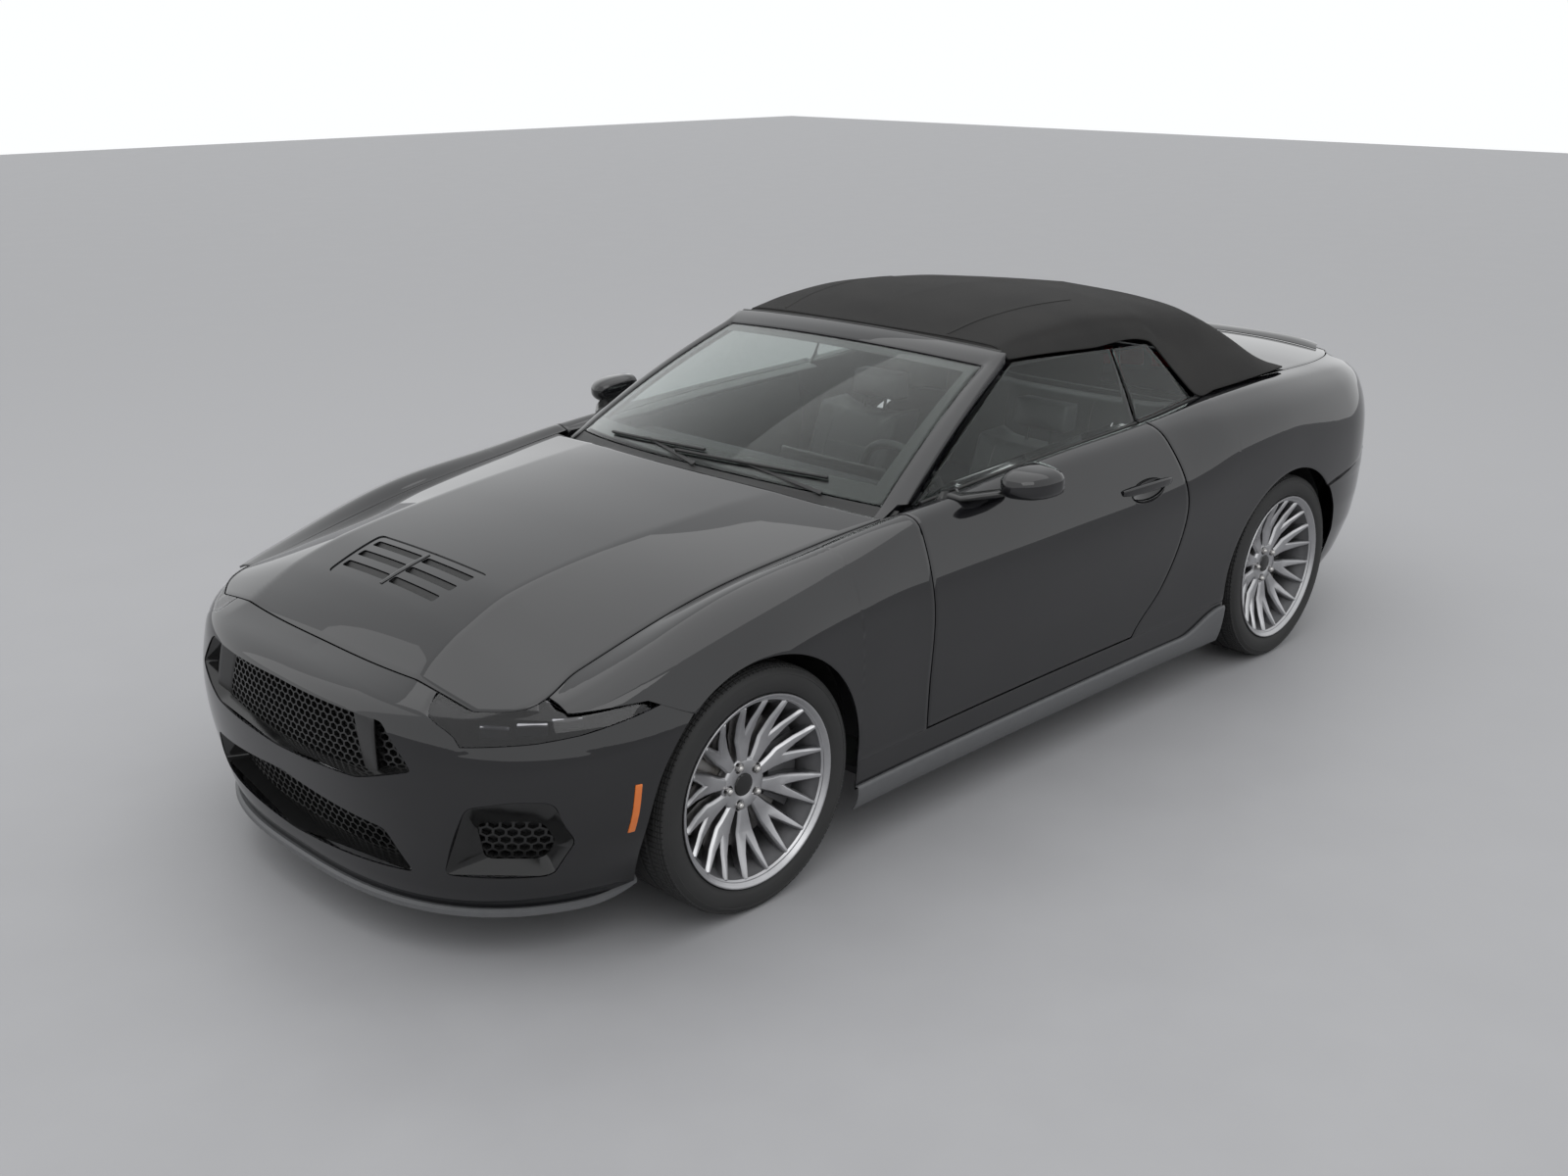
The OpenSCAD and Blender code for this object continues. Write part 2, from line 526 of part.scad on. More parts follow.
// Nose: rows are superellipses round the front, which run back to the fender's seam.
nose_back_x = 0.3326 * body_length;
nose_ref_x = 0.366 * body_length;
nose_low_z = 0.105 * body_height;
function nose_mid_x(z) = row_at(nose_shares, z / body_height)[1] * body_length;
function nose_power(z) = row_at(nose_shares, z / body_height)[2];
function nose_w(z) = side_y(nose_ref_x, z) * row_at(nose_shares, z / body_height)[3];
function nose_end_x(z) =
    z < fender_low(seam_low_x) ? front_axle_x + arch_dx(z)
    : lerp(seam_low_x, seam_high_x, (z - fender_low(seam_low_x)) / (seam_high_z - fender_low(seam_low_x)));
function round_end(len, wide, power, dx) =
    atan2(wide * pow(1 - pow(dx / len, power), 1 / power), dx);
function round_r(len, wide, power, a) =
    pow(pow(abs(cos(a)) / len, power) + pow(abs(sin(a)) / wide, power), -1 / power);
function nose_point(t, z, inset) =
    let (
        len = nose_mid_x(z) - nose_back_x,
        wide = nose_w(z),
        a = t * round_end(len, wide, nose_power(z), nose_end_x(z) + seam_gap - nose_back_x),
        r = round_r(len - inset, wide - inset, nose_power(z), a))
    [max(nose_back_x + r * cos(a), nose_end_x(z) + seam_gap), r * sin(a), z];
nose_half_ts = [0.10, 0.20, 0.30, 0.40, 0.48, 0.54, 0.565, 0.62, 0.69, 0.76, 0.84, 0.92, 1];
nose_ts = concat([for (i = [12 : -1 : 0]) -nose_half_ts[i]], [0], nose_half_ts);
nose_rows = 12;
function nose_top_z(t) = straight_at(nose_edge_shares, abs(t))[1] * body_height;
// The top row reaches back: to the hood's front edge in the middle, under the lamps outside.
shelf_l = 34;
function nose_lip(t) =
    abs(t) < lamp_t0 - 0.02
        ? let (q = nose_point(t, nose_top_z(t), 0), w = hood_half(hood_corner[0]))
            hood_point(1, max(-1, min(1, q[1] / w)))
            + [shut_gap, 0, -seam_gap]
        : nose_point(t, nose_top_z(t), shelf_l) - [0, 0, seam_gap];
knee_rows = 2;
knee_z = 0.420 * body_height;
function nose_knee(t) = lerp(knee_z, fender_low(seam_low_x), max(0, (abs(t) - 0.8) / 0.2));
function nose_z(t, j) =
    j <= knee_rows ? lerp(nose_top_z(t), nose_knee(t), j / knee_rows)
    : lerp(nose_knee(t), nose_low_z, (j - knee_rows) / (nose_rows - knee_rows));
function nose_row(t, j, inset) = j < 0 ? nose_lip(t) - [0, 0, inset] : nose_point(t, nose_z(t, j), inset);
function nose_grid(inset) = [for (t = nose_ts) [for (j = [-1 : nose_rows]) nose_row(t, j, inset)]];
// Grilles and lamps lie on rows below the lip.
function nose_face_grid(inset) = [for (t = nose_ts) [for (j = [0 : nose_rows]) nose_row(t, j, inset)]];

// Openings in the nose, as outlines of [y, z] points for the left half.
// Columns: across and up.
upper_opening_share = [[0, 0.472], [0.45, 0.467], [0.558, 0.390], [0.43, 0.362], [0.37, 0.350], [0, 0.338]];
lower_opening_share = [[0, 0.287], [0.45, 0.262], [0.515, 0.180], [0, 0.158]];
corner_opening_share = [[0.695, 0.338], [0.79, 0.354], [0.862, 0.352], [0.884, 0.270], [0.815, 0.192],
    [0.60, 0.188]];
function opening(share) = [for (p = share) [p[0] * half_w, p[1] * body_height]];
function mirrored(p) = concat(p, [for (i = [len(p) - 1 : -1 : 0]) if (p[i][0] > 0) [-p[i][0], p[i][1]]]);
nose_cut_x = 0.40 * body_length;
module nose_prism(points, gap)
    translate([nose_cut_x, 0, 0]) rotate([90, 0, 90]) linear_extrude(body_length) offset(delta = -gap)
        polygon(points);
bumper_t = 1.6 * skin_t;
module front_bumper() color([0.05, 0.05, 0.06]) difference() {
    shell(nose_grid(0), nose_grid(bumper_t), true);
    nose_prism(mirrored(opening(upper_opening_share)), 0);
    nose_prism(mirrored(opening(lower_opening_share)), 0);
    nose_prism(opening(corner_opening_share), 0);
    mirror([0, 1, 0]) nose_prism(opening(corner_opening_share), 0);
}
grille_sink = 9;
grille_t = 8;
module nose_sheet(from, to) shell(nose_face_grid(from), nose_face_grid(to), true);
module upper_grille() color([0.02, 0.02, 0.02]) intersection() {
    nose_sheet(grille_sink, grille_sink + grille_t);
    nose_prism(mirrored(opening(upper_opening_share)), seam_gap);
}
module lower_grille() color([0.02, 0.02, 0.02]) intersection() {
    nose_sheet(grille_sink, grille_sink + grille_t);
    union() {
        nose_prism(mirrored(opening(lower_opening_share)), seam_gap);
        nose_prism(opening(corner_opening_share), seam_gap);
        mirror([0, 1, 0]) nose_prism(opening(corner_opening_share), seam_gap);
    }
}
splitter_h = 16;
splitter_out = 18;
splitter_in = 90;
module front_splitter() color([0.12, 0.12, 0.13]) {
    z1 = nose_low_z - seat_gap;
    outer = [for (t = nose_ts) [for (z = [z1, z1 - splitter_h])
        let (p = nose_point(t, nose_low_z, -splitter_out)) [p[0], p[1], z]]];
    inner = [for (t = nose_ts) [for (z = [z1, z1 - splitter_h])
        let (p = nose_point(t, nose_low_z, splitter_in)) [p[0], p[1], z]]];
    shell(outer, inner, true);
}
lamp_cells = 10;
lamp_rows = 3;
lamp_t0 = 0.575;
lamp_t1 = 0.970;
lamp_depth = 40;
lamp_shelf = 28;
lamp_ts = [for (i = [0 : lamp_cells]) lerp(lamp_t0, lamp_t1, i / lamp_cells)];
lamp_sink_x = 2;
lamp_least_h = 2;
function lamp_low(t) = nose_top_z(t) + 2 * seam_gap;
function lamp_high(t) = max(straight_at(lamp_edge_shares, t)[1] * body_height, lamp_low(t) + lamp_least_h);
// The lamp's top row reaches the hood's front and side edges, then goes under the fender.
lamp_fender_i = 6;
lamp_dip = 32;
fender_s = (fender_nose_x + shut_gap - hood_back[0]) / (hood_corner[0] - hood_back[0]);
function lamp_lip(i) =
    let (t = lamp_ts[i])
    i <= lamp_fender_i
        ? hood_point(lerp(1, fender_s, i / lamp_fender_i), 1)
            + [i == 0 ? shut_gap : 0, 1.2 * shut_gap, i == lamp_fender_i ? -lamp_dip : -seam_gap]
    : nose_point(t, lamp_high(t), lamp_shelf);
lamp_lip_t = 9;
function lamp_row(i, j, share) =
    let (t = lamp_ts[i])
    j < 0 ? lamp_lip(i) - [0, 0, lamp_lip_t * share]
    : nose_point(t, lerp(lamp_high(t), lamp_low(t), j / lamp_rows),
        lerp(lamp_sink_x, lerp(lamp_lip_t, lamp_depth, j / lamp_rows), share));
function lamp_grid(share) = [for (i = [0 : lamp_cells]) [for (j = [-1 : lamp_rows]) lamp_row(i, j, share)]];
module headlamps() color([0.08, 0.08, 0.09]) both_sides()
    shell(lamp_grid(0), lamp_grid(1), true);

// Tail: the same kind of rows round the back.
tail_lead = 7.4;
tail_back_x = quarter_arch_x + tail_lead;
tail_power = 2.2;
tail_low_z = 0.165 * body_height;
tail_top_z = 0.690 * body_height;
function tail_mid_x(z) = row_at(tail_shares, z / body_height)[1] * body_length;
function tail_len(z) = tail_back_x - tail_mid_x(z);
// Columns: height and how far the row is tucked in.
tail_tuck_shares = [[0.150, 0.905], [0.200, 0.940], [0.300, 0.980], [0.373, 0.994], [0.450, 1.000],
    [1.000, 1.000]];
function tail_w(z) =
    let (q = max(z, tail_seam_z), d = (tail_back_x - quarter_tail_x) / tail_len(q))
    side_y(quarter_tail_x, q) / pow(1 - pow(d, tail_power), 1 / tail_power)
    * straight_at(tail_tuck_shares, z / body_height)[1];
function tail_x_at(y, z) = tail_back_x - tail_len(z) * pow(1 - pow(y / tail_w(z), tail_power),
    1 / tail_power);
function tail_end_x(z) =
    z < quarter_arch_z ? rear_axle_x - arch_dx(z)
    : z < tail_seam_z
        ? lerp(quarter_arch_x, quarter_tail_x, (z - quarter_arch_z) / (tail_seam_z - quarter_arch_z))
    : quarter_tail_x;
function tail_point(t, z, inset) =
    let (
        a = t * round_end(tail_len(z), tail_w(z), tail_power, tail_back_x + seam_gap - tail_end_x(z)),
        r = round_r(tail_len(z) - inset, tail_w(z) - inset, tail_power, a))
    [min(tail_back_x - r * cos(a), tail_end_x(z) - seam_gap), r * sin(a), z];
tail_half_ts = [0.09, 0.18, 0.27, 0.36, 0.45, 0.54, 0.60, 0.64, 0.72, 0.81, 0.90, 1];
tail_ts = concat([for (i = [11 : -1 : 0]) -tail_half_ts[i]], [0], tail_half_ts);
tail_zs = concat(
    [for (k = [0 : 3]) lerp(tail_top_z, tail_seam_z, k / 4)],
    [for (k = [0 : 1]) lerp(tail_seam_z, quarter_arch_z, k / 2)],
    [for (k = [0 : 5]) lerp(quarter_arch_z, tail_low_z, k / 5)]);
// The top row reaches forward to the deck lid's rear and side edges.
deck_turn = 0.6;
function tail_lip(t) =
    let (
        k = abs(t),
        corner = deck_point(0, 1),
        x = lerp(corner[0], quarter_tail_x, max(k - deck_turn, 0) / (1 - deck_turn)) - seam_gap)
    k <= deck_turn ? deck_point(0, t / deck_turn) - [2.6 * shut_gap, 0, seam_gap]
        : [x, sign(t) * (edge_y(x) + (1 - k) * 2 * shut_gap), edge_z(x)];
function tail_face_grid(inset) = [for (t = tail_ts) [for (z = tail_zs) tail_point(t, z, inset)]];
function tail_grid(inset) =
    let (face = tail_face_grid(inset))
    [for (i = [0 : len(tail_ts) - 1]) concat([tail_lip(tail_ts[i]) - [0, 0, inset]], face[i])];
lamp_bar_z = 0.605 * body_height;
lamp_bar_h = 0.105 * body_height;
lamp_bar_w = 0.105 * half_w;
lamp_bar_ys = [0.36 * half_w, 0.50 * half_w, 0.63 * half_w];
tip_y = 0.46 * half_w;
tip_z = 0.225 * body_height;
tip_r = 50;
tail_cut_x = -0.47 * body_length;
module tail_lamp_prism(gap) for (y = lamp_bar_ys)
    block([-body_length, y - lamp_bar_w / 2 + gap, lamp_bar_z - lamp_bar_h / 2 + gap],
        [tail_cut_x + 2 * overrun, y + lamp_bar_w / 2 - gap, lamp_bar_z + lamp_bar_h / 2 - gap]);
module rear_bumper() color([0.05, 0.05, 0.06]) difference() {
    shell(tail_grid(0), tail_grid(bumper_t));
    both_sides() tail_lamp_prism(0);
    both_sides() translate([tail_cut_x + 10 * overrun, tip_y, tip_z]) rotate([0, -90, 0])
        cylinder(r = tip_r + shut_gap, h = body_length);
}
lamp_sink = 3;
module tail_lamps() color([0.45, 0.02, 0.03]) intersection() {
    shell(tail_face_grid(lamp_sink), tail_face_grid(2 * skin_t));
    both_sides() tail_lamp_prism(seam_gap);
}

// Windshield: ruled from the base to the header, bowed both ways.
ws_base_x = 0.2045 * body_length;
ws_base_sweep = 0.0385 * body_length;
ws_base_y = 0.722 * half_w;
ws_base_z = 0.7085 * body_height;
ws_base_drop = 0.036 * body_height;
ws_top_x = 0.0540 * body_length;
ws_top_sweep = 0.0125 * body_length;
ws_top_y = 0.600 * half_w;
ws_top_z = 0.918 * body_height;
ws_top_drop = 0.0195 * body_height;
ws_bulge = 16;
// Direction square to the glass: forward, across and up
ws_lean = [0.43, 0.16, 0.9];
function ws_at(u, v, inset) =
    let (
        low = [ws_base_x - ws_base_sweep * u * u, ws_base_y * u, ws_base_z - ws_base_drop * u * u],
        high = [ws_top_x - ws_top_sweep * u * u, ws_top_y * u, ws_top_z - ws_top_drop * u * u],
        out = [ws_lean[0], ws_lean[1] * u, ws_lean[2]])
    lerp(low, high, v) + out * (ws_bulge * 4 * v * (1 - v) * (v < 1 && v > 0 ? 1 : 0) - inset);
ws_cells = 10;
ws_rows = 8;
frame_u = 1.085;
frame_v0 = -0.10;
frame_v1 = 1.12;
frame_t = 34;
pillar_foot_z = 0.645 * body_height;
function ws_grid(u1, v0, v1, inset, nu, nv) =
    [for (j = [0 : nv]) [for (i = [0 : nu]) ws_at(u1 * (2 * i / nu - 1), lerp(v1, v0, j / nv), inset)]];
module ws_patch(u1, v0, v1, from, to)
    shell(ws_grid(u1, v0, v1, from, ws_cells, ws_rows), ws_grid(u1, v0, v1, to, ws_cells, ws_rows));
// The frame follows a path up one pillar, along the header and down the other pillar.
pillar_cells = 6;
frame_proud = 2;
pillar_path = [for (k = [0 : pillar_cells]) let (s = k / pillar_cells)
    [[1, lerp(frame_v0, 1, s)], [frame_u, lerp(frame_v0, frame_v1, s)]]];
frame_path = concat(
    pillar_path,
    [for (i = [1 : ws_cells - 1]) let (u = 1 - 2 * i / ws_cells) [[u, 1], [frame_u * u, frame_v1]]],
    [for (k = [pillar_cells : -1 : 0]) let (q = pillar_path[k]) [[-q[0][0], q[0][1]], [-q[1][0],
        q[1][1]]]]);
function frame_grid(inset) =
    [for (q = frame_path) [for (c = [0, 0.5, 1]) let (g = lerp(q[0], q[1], c)) ws_at(g[0], g[1], inset)]];
module windshield_frame() color([0.05, 0.05, 0.06]) difference() {
    shell(frame_grid(-frame_proud), frame_grid(frame_t), true);
    block([-body_length, -body_width, 0], [body_length, body_width, pillar_foot_z]);
    both_sides() block([0, frame_trim_y, 0], [body_length, body_width, edge_z(glass_front_low_x)
        + 1.3 * shut_gap]);
}
frame_trim_y = 0.758 * half_w;
glass_seam = 0.9985;
module windshield() color([0.3, 0.34, 0.34, 0.5]) ws_patch(glass_seam, 0.002, glass_seam, 1, 1 + glass_t);

// Fabric top
top_t = 14;
// How far the cloth stands out between shoulder and edge, across and up
top_fullness = [9, 5];
top_cells = 7;
top_front_x = 0.0240 * body_length;
top_corner_gap = 9;
top_seat = 3.6;
top_xs = [-0.3035, -0.2930, -0.2827, -0.2680, -0.2536, -0.2360, -0.2183, -0.2030, -0.1871, -0.1625, -0.1555,
    -0.1480, -0.1385, -0.1290, -0.1000, -0.0620, -0.0350, -0.0100, 0.0100, 0.0240];
function top_half(share) =
    let (
        r = row_at(top_shares, share),
        mid = [0, r[1] * body_height],
        sh = [r[2] * half_w, r[3] * body_height],
        low = [r[4] * half_w, r[5] * body_height + top_seat])
    [mid, [0.6 * sh[0], lerp(mid[1], sh[1], 0.3)], sh, lerp(sh, low, 0.5) + top_fullness, low];
function top_line(share) =
    let (h = resample(spline(top_half(share)), top_cells))
    concat([for (i = [top_cells : -1 : 1]) [-h[i][0], h[i][1]]], h);
function top_push(x, y) =
    let (w = max(0, (x - top_front_x) / (0.07 * body_length) + 1))
    w * (ws_at(0, frame_v1, 0)[0] - top_corner_gap / 2 - top_front_x - (ws_top_sweep + top_corner_gap)
        * pow(y / (frame_u * ws_top_y * 0.96), 2));
function top_grid(inset) =
    [for (share = top_xs) let (line = top_line(share), q = inward(line, inset), x = share * body_length)
        [for (k = [0 : len(q) - 1]) [x + top_push(x, line[k][0]), q[k][0], q[k][1]]]];
rw_x0 = -0.288 * body_length;
rw_x1 = -0.226 * body_length;
rw_w = 0.86 * half_w;
rw_r = 40;
module rear_prism(gap)
    linear_extrude(2 * body_height) offset(r = rw_r) offset(delta = -rw_r - gap)
        polygon([[rw_x0, -rw_w / 2], [rw_x1, -rw_w / 2 * 0.9], [rw_x1, rw_w / 2 * 0.9], [rw_x0, rw_w / 2]]);
module soft_top() color([0.04, 0.04, 0.04]) difference() {
    shell(top_grid(0), top_grid(top_t));
    rear_prism(0);
}
module rear_window() color([0.3, 0.34, 0.34, 0.5]) intersection() {
    shell(top_grid(3), top_grid(3 + glass_t));
    rear_prism(seam_gap);
}

// Side skirts, seated on the rockers
rocker_y = 0.924 * half_w;
skirt_low_z = 0.108 * body_height;
skirt_front_x = front_axle_x - arch_r - 2;
skirt_rear_x = rear_axle_x + arch_r + 2;
skirt_cells = 10;
skirt_flare = 16;
module side_skirts() color([0.12, 0.12, 0.13]) both_sides() {
    xs = [for (i = [0 : skirt_cells]) lerp(skirt_rear_x, skirt_front_x, i / skirt_cells)];
    zs = [skirt_top_z - seam_gap, 0.20 * body_height, 0.16 * body_height, skirt_low_z];
    outs = [2, skirt_flare, skirt_flare, -skirt_flare / 2];
    shell([for (x = xs) [for (k = [0 : 3]) [x, side_y(x, max(zs[k], 0.16 * body_height)) + outs[k],
        zs[k]]]],
        [for (x = xs) [for (z = zs) [x, rocker_y + seat_gap, z]]]);
}

// Floor with its tunnel and rockers, the raised rear floor included
floor_z = 0.118 * body_height;
floor_t = 22;
floor_front_x = 0.2035 * body_length;
floor_rear_x = -0.135 * body_length;
rocker_in_y = 0.845 * half_w;
rocker_top_z = 0.211 * body_height;
tunnel_y = 0.155 * half_w;
tunnel_top_z = 0.262 * body_height;
kick_z = 0.300 * body_height;
kick_rear_x = -0.232 * body_length;
kick_y = 0.597 * half_w;
rocker_front_x = 0.232 * body_length;
module floor_pan() color([0.2, 0.2, 0.21]) {
    floor_up_z = floor_z + floor_t;
    half = [[0, tunnel_top_z], [tunnel_y, tunnel_top_z], [tunnel_y + floor_t, floor_up_z], [rocker_in_y,
        floor_up_z],
        [rocker_in_y, rocker_top_z], [rocker_y, rocker_top_z], [rocker_y, floor_z],
            [tunnel_y + floor_t / 2, floor_z],
        [tunnel_y - floor_t, tunnel_top_z - floor_t], [0, tunnel_top_z - floor_t]];
    full = concat(half, [for (i = [len(half) - 1 : -1 : 0]) if (half[i][0] > 0) [-half[i][0], half[i][1]]]);
    translate([floor_rear_x, 0, 0]) rotate([90, 0, 90]) linear_extrude(floor_front_x - floor_rear_x)
        polygon(full);
    difference() {
        block([floor_rear_x - floor_t, -kick_y, floor_z], [floor_rear_x, kick_y, kick_z]);
        translate([floor_rear_x - 2 * floor_t, 0, shaft_z]) rotate([0, 90, 0])
            cylinder(r = shaft_r + shut_gap, h = 3 * floor_t);
    }
    block([kick_rear_x, -kick_y, kick_z - floor_t], [floor_rear_x, kick_y, kick_z]);
}

// Firewall with the hinge pillars, door hinge straps and hood hinge arms
wall_x0 = floor_front_x + seat_gap;
wall_t = 20;
wall_top_z = 0.640 * body_height;
pillar_in_y = 0.735 * half_w;
pillar_out_y = 0.865 * half_w;
pillar_back_x = door_front_x + 3 * shut_gap;
hood_arm_l = 50;
strap_leg_y = pillar_out_y - 4;
pillar_step_z = 0.598 * body_height;
module firewall() color([0.2, 0.2, 0.21]) {
    difference() {
        block([wall_x0, -pillar_in_y, floor_z], [wall_x0 + wall_t, pillar_in_y, wall_top_z]);
        block([0, -tunnel_y - floor_t, 0], [body_length, tunnel_y + floor_t, tunnel_top_z + floor_t]);
    }
    both_sides() {
        block([pillar_back_x, pillar_in_y, rocker_top_z + seat_gap], [wall_x0 + wall_t, pillar_out_y,
            pillar_step_z]);
        block([pillar_back_x, pillar_in_y, pillar_step_z - overrun],
            [hood_rear_mid_x - hood_rear_sweep - 2 * shut_gap, pillar_out_y, pillar_foot_z - seat_gap]);
        for (z = hinge_zs) difference() {
            translate([0, 0, z - strap_t / 2]) linear_extrude(strap_t) polygon([
                [door_hinge_x - strap_r, door_hinge_y + strap_r], [door_hinge_x + strap_r,
                    door_hinge_y + strap_r],
                [door_hinge_x + strap_r, strap_leg_y], [pillar_back_x + strap_r, strap_leg_y],
                [pillar_back_x + strap_r, strap_leg_y - 3 * strap_r], [door_hinge_x - strap_r,
                    strap_leg_y - 3 * strap_r]]);
            translate([door_hinge_x, door_hinge_y, z - strap_t]) cylinder(r = hinge_pin_r, h = strap_t / 4);
        }
        for (z = hinge_zs) translate([door_hinge_x, door_hinge_y, z - hinge_pin_h / 2])
            cylinder(r = hinge_pin_r, h = hinge_pin_h);
        prism_y([[hood_hinge_x - lid_pin_r - 1, hood_hinge_z - 1], [hood_hinge_x + lid_pin_r + 1,
            hood_hinge_z - 1],
            [wall_x0 + wall_t, wall_top_z - hood_arm_l], [wall_x0, wall_top_z - hood_arm_l]],
            hood_hinge_y - lid_strap_t / 2, hood_hinge_y + lid_strap_t / 2);
        translate([hood_hinge_x, 0, hood_hinge_z]) rod_y(lid_pin_r, hood_hinge_y - lid_pin_l / 2,
            hood_hinge_y + lid_pin_l / 2);
    }
}

// Trunk tub with the bulkhead behind the seats and the deck hinge arms
trunk_front_x = kick_rear_x - seat_gap;
trunk_rear_x = -0.452 * body_length;
trunk_y = 0.600 * half_w;
trunk_floor_z = kick_z;
trunk_wall_t = 16;
deck_arm_drop = 24;
trunk_top_z = 0.655 * body_height;
trunk_sill_z = 0.50 * body_height;
bulkhead_z = 0.660 * body_height;
module trunk_tub() color([0.16, 0.16, 0.17]) {
    block([trunk_rear_x, -trunk_y, trunk_floor_z - trunk_wall_t], [trunk_front_x, trunk_y, trunk_floor_z]);
    block([trunk_front_x - trunk_wall_t, -trunk_y, trunk_floor_z - trunk_wall_t], [trunk_front_x,
        trunk_y, bulkhead_z]);
    block([trunk_rear_x, -trunk_y, trunk_floor_z - trunk_wall_t], [trunk_rear_x + trunk_wall_t, trunk_y,
        trunk_sill_z]);
    both_sides() {
        block([trunk_rear_x, trunk_y - trunk_wall_t, trunk_floor_z - trunk_wall_t], [trunk_front_x,
            trunk_y, trunk_top_z]);
        prism_y([[deck_hinge_x - lid_pin_r - 1, deck_hinge_z - 1], [deck_hinge_x + lid_pin_r / 2,
            deck_hinge_z - 1],
            [deck_hinge_x + lid_pin_r / 2, deck_hinge_z - deck_arm_drop], [trunk_front_x,
                bulkhead_z - hood_arm_l],
            [trunk_front_x - trunk_wall_t, bulkhead_z - 2 * hood_arm_l],
            [deck_hinge_x - lid_pin_r - 1, deck_hinge_z - 2 * deck_arm_drop]],
            deck_hinge_y - lid_strap_t / 2, deck_hinge_y + lid_strap_t / 2);
        translate([deck_hinge_x, 0, deck_hinge_z]) rod_y(lid_pin_r, deck_hinge_y - lid_pin_l / 2,
            deck_hinge_y + lid_pin_l / 2);
    }
}

// Wheel-house liners
liner_r = 418;
liner_t = 4;
front_liner_y0 = 0.478 * half_w;
rear_liner_y0 = trunk_y + seat_gap;
rear_liner_y1 = 0.915 * half_w;
front_liner_y1 = 0.880 * half_w;
liner_low_z = 0.235 * body_height;
liner_top_z = edge_z(front_axle_x) - lid_t - seat_gap;
module liner(axle_x, y0, y1) intersection() {
    union() {
        difference() {
            translate([axle_x, 0, axle_z]) rod_y(liner_r, y0, y1);
            translate([axle_x, 0, axle_z]) rod_y(liner_r - liner_t, y0 + liner_t, y1 + overrun);
        }
    }
    block([axle_x - 2 * liner_r, 0, liner_low_z], [axle_x + 2 * liner_r, body_width, liner_top_z]);
}
module wheel_liners() color([0.05, 0.05, 0.05]) both_sides() {
    difference() {
        liner(front_axle_x, front_liner_y0, front_liner_y1);
        block([front_axle_x - 2.2 * arm_w, 0, 0], [front_axle_x + 2.2 * arm_w, body_width,
            upper_arm_z + 3 * arm_t]);
    }
    difference() {
        liner(rear_axle_x, rear_liner_y0, rear_liner_y1);
        block([rear_axle_x - 2.2 * arm_w, 0, 0], [rear_axle_x + 2.2 * arm_w, body_width,
            axle_z + 2.2 * arm_w]);
    }
}

// Front frame: rails, cross member, lower and upper arms with the steering pins
rail_y0 = 0.375 * half_w;
rail_y1 = front_liner_y0 - seat_gap;
rail_z0 = 0.215 * body_height;
rail_z1 = 0.300 * body_height;
rail_front_x = 0.436 * body_length;
king_y = front_track / 2 - 45;
king_r = 10;
arm_w = 34;
arm_t = 24;
lower_arm_z = 0.145 * body_height;
upper_arm_z = 0.352 * body_height;
cross_l = 0.045 * body_length;
module front_subframe() color([0.1, 0.1, 0.1]) {
    both_sides() {
        block([wall_x0 + wall_t + seat_gap, rail_y0, rail_z0], [rail_front_x, rail_y1, rail_z1]);
        for (z = [lower_arm_z, upper_arm_z]) translate([front_axle_x, 0, z]) linear_extrude(arm_t)
            polygon([[-2 * arm_w, rail_y0], [2 * arm_w, rail_y0], [arm_w / 2, king_y + arm_w / 2],
                [-arm_w / 2, king_y + arm_w / 2]]);
        block([front_axle_x - cross_l / 4, rail_y0, lower_arm_z], [front_axle_x + cross_l / 4, rail_y1,
            upper_arm_z + arm_t]);
        translate([front_axle_x, king_y, lower_arm_z]) cylinder(r = king_r, h = 3 * arm_t);
        translate([front_axle_x, king_y, upper_arm_z - 2 * arm_t]) cylinder(r = king_r, h = 3 * arm_t);
    }
    block([front_axle_x - cross_l / 2, -rail_y1, lower_arm_z], [front_axle_x + cross_l / 2, rail_y1,
        rail_z0]);
    block([rail_front_x - cross_l, -rail_y1, rail_z0], [rail_front_x, rail_y1, rail_z1]);
}

// Steered knuckles with their brake calipers
knuckle_z0 = lower_arm_z + arm_t + strap_gap;
knuckle_z1 = upper_arm_z - strap_gap;
knuckle_w = 46;
knuckle_in = -88;
knuckle_out = -24;
spindle_r = 34.9;
spindle_out = 36;
disc_r = 0.70 * flange_d / 2;
disc_t = 30;
disc_in = -8;
caliper_r = 0.814 * flange_d / 2;
caliper_a = 36;
caliper_in = -48;
caliper_out = 40;
module caliper(turn) difference() {
    intersection() {
        rod_y(caliper_r, caliper_in, caliper_out);
        rotate([0, turn, 0]) prism_y([[0, 0], [caliper_r * 1.4, -caliper_r * 1.4 * tan(caliper_a)],
            [caliper_r * 1.4, caliper_r * 1.4 * tan(caliper_a)]], caliper_in, caliper_out);
    }
    rod_y(disc_r + shut_gap, disc_in - shut_gap, disc_in + disc_t + shut_gap);
    rod_y(disc_r * 0.62, caliper_in - overrun, caliper_out + overrun);
}
module hub_shape(turn) {
    rod_y(spindle_r, knuckle_out - 1, spindle_out);
    caliper(turn);
    rotate([0, turn, 0]) block([0, caliper_in, -knuckle_w / 2], [disc_r * 0.75, knuckle_out - 1,
        knuckle_w / 2]);
}
module knuckle_body() translate([front_axle_x, front_track / 2, 0]) {
    difference() {
        block([-knuckle_w, knuckle_in, knuckle_z0], [knuckle_w, knuckle_out, knuckle_z1]);
        translate([0, king_y - front_track / 2, 0]) {
            cylinder(r = king_r + pin_gap, h = lower_arm_z + 3 * arm_t + strap_gap);
            translate([0, 0, upper_arm_z - 2 * arm_t - strap_gap]) cylinder(r = king_r + pin_gap,
                h = body_height);
        }
    }
    translate([0, 0, axle_z]) hub_shape(180);
}
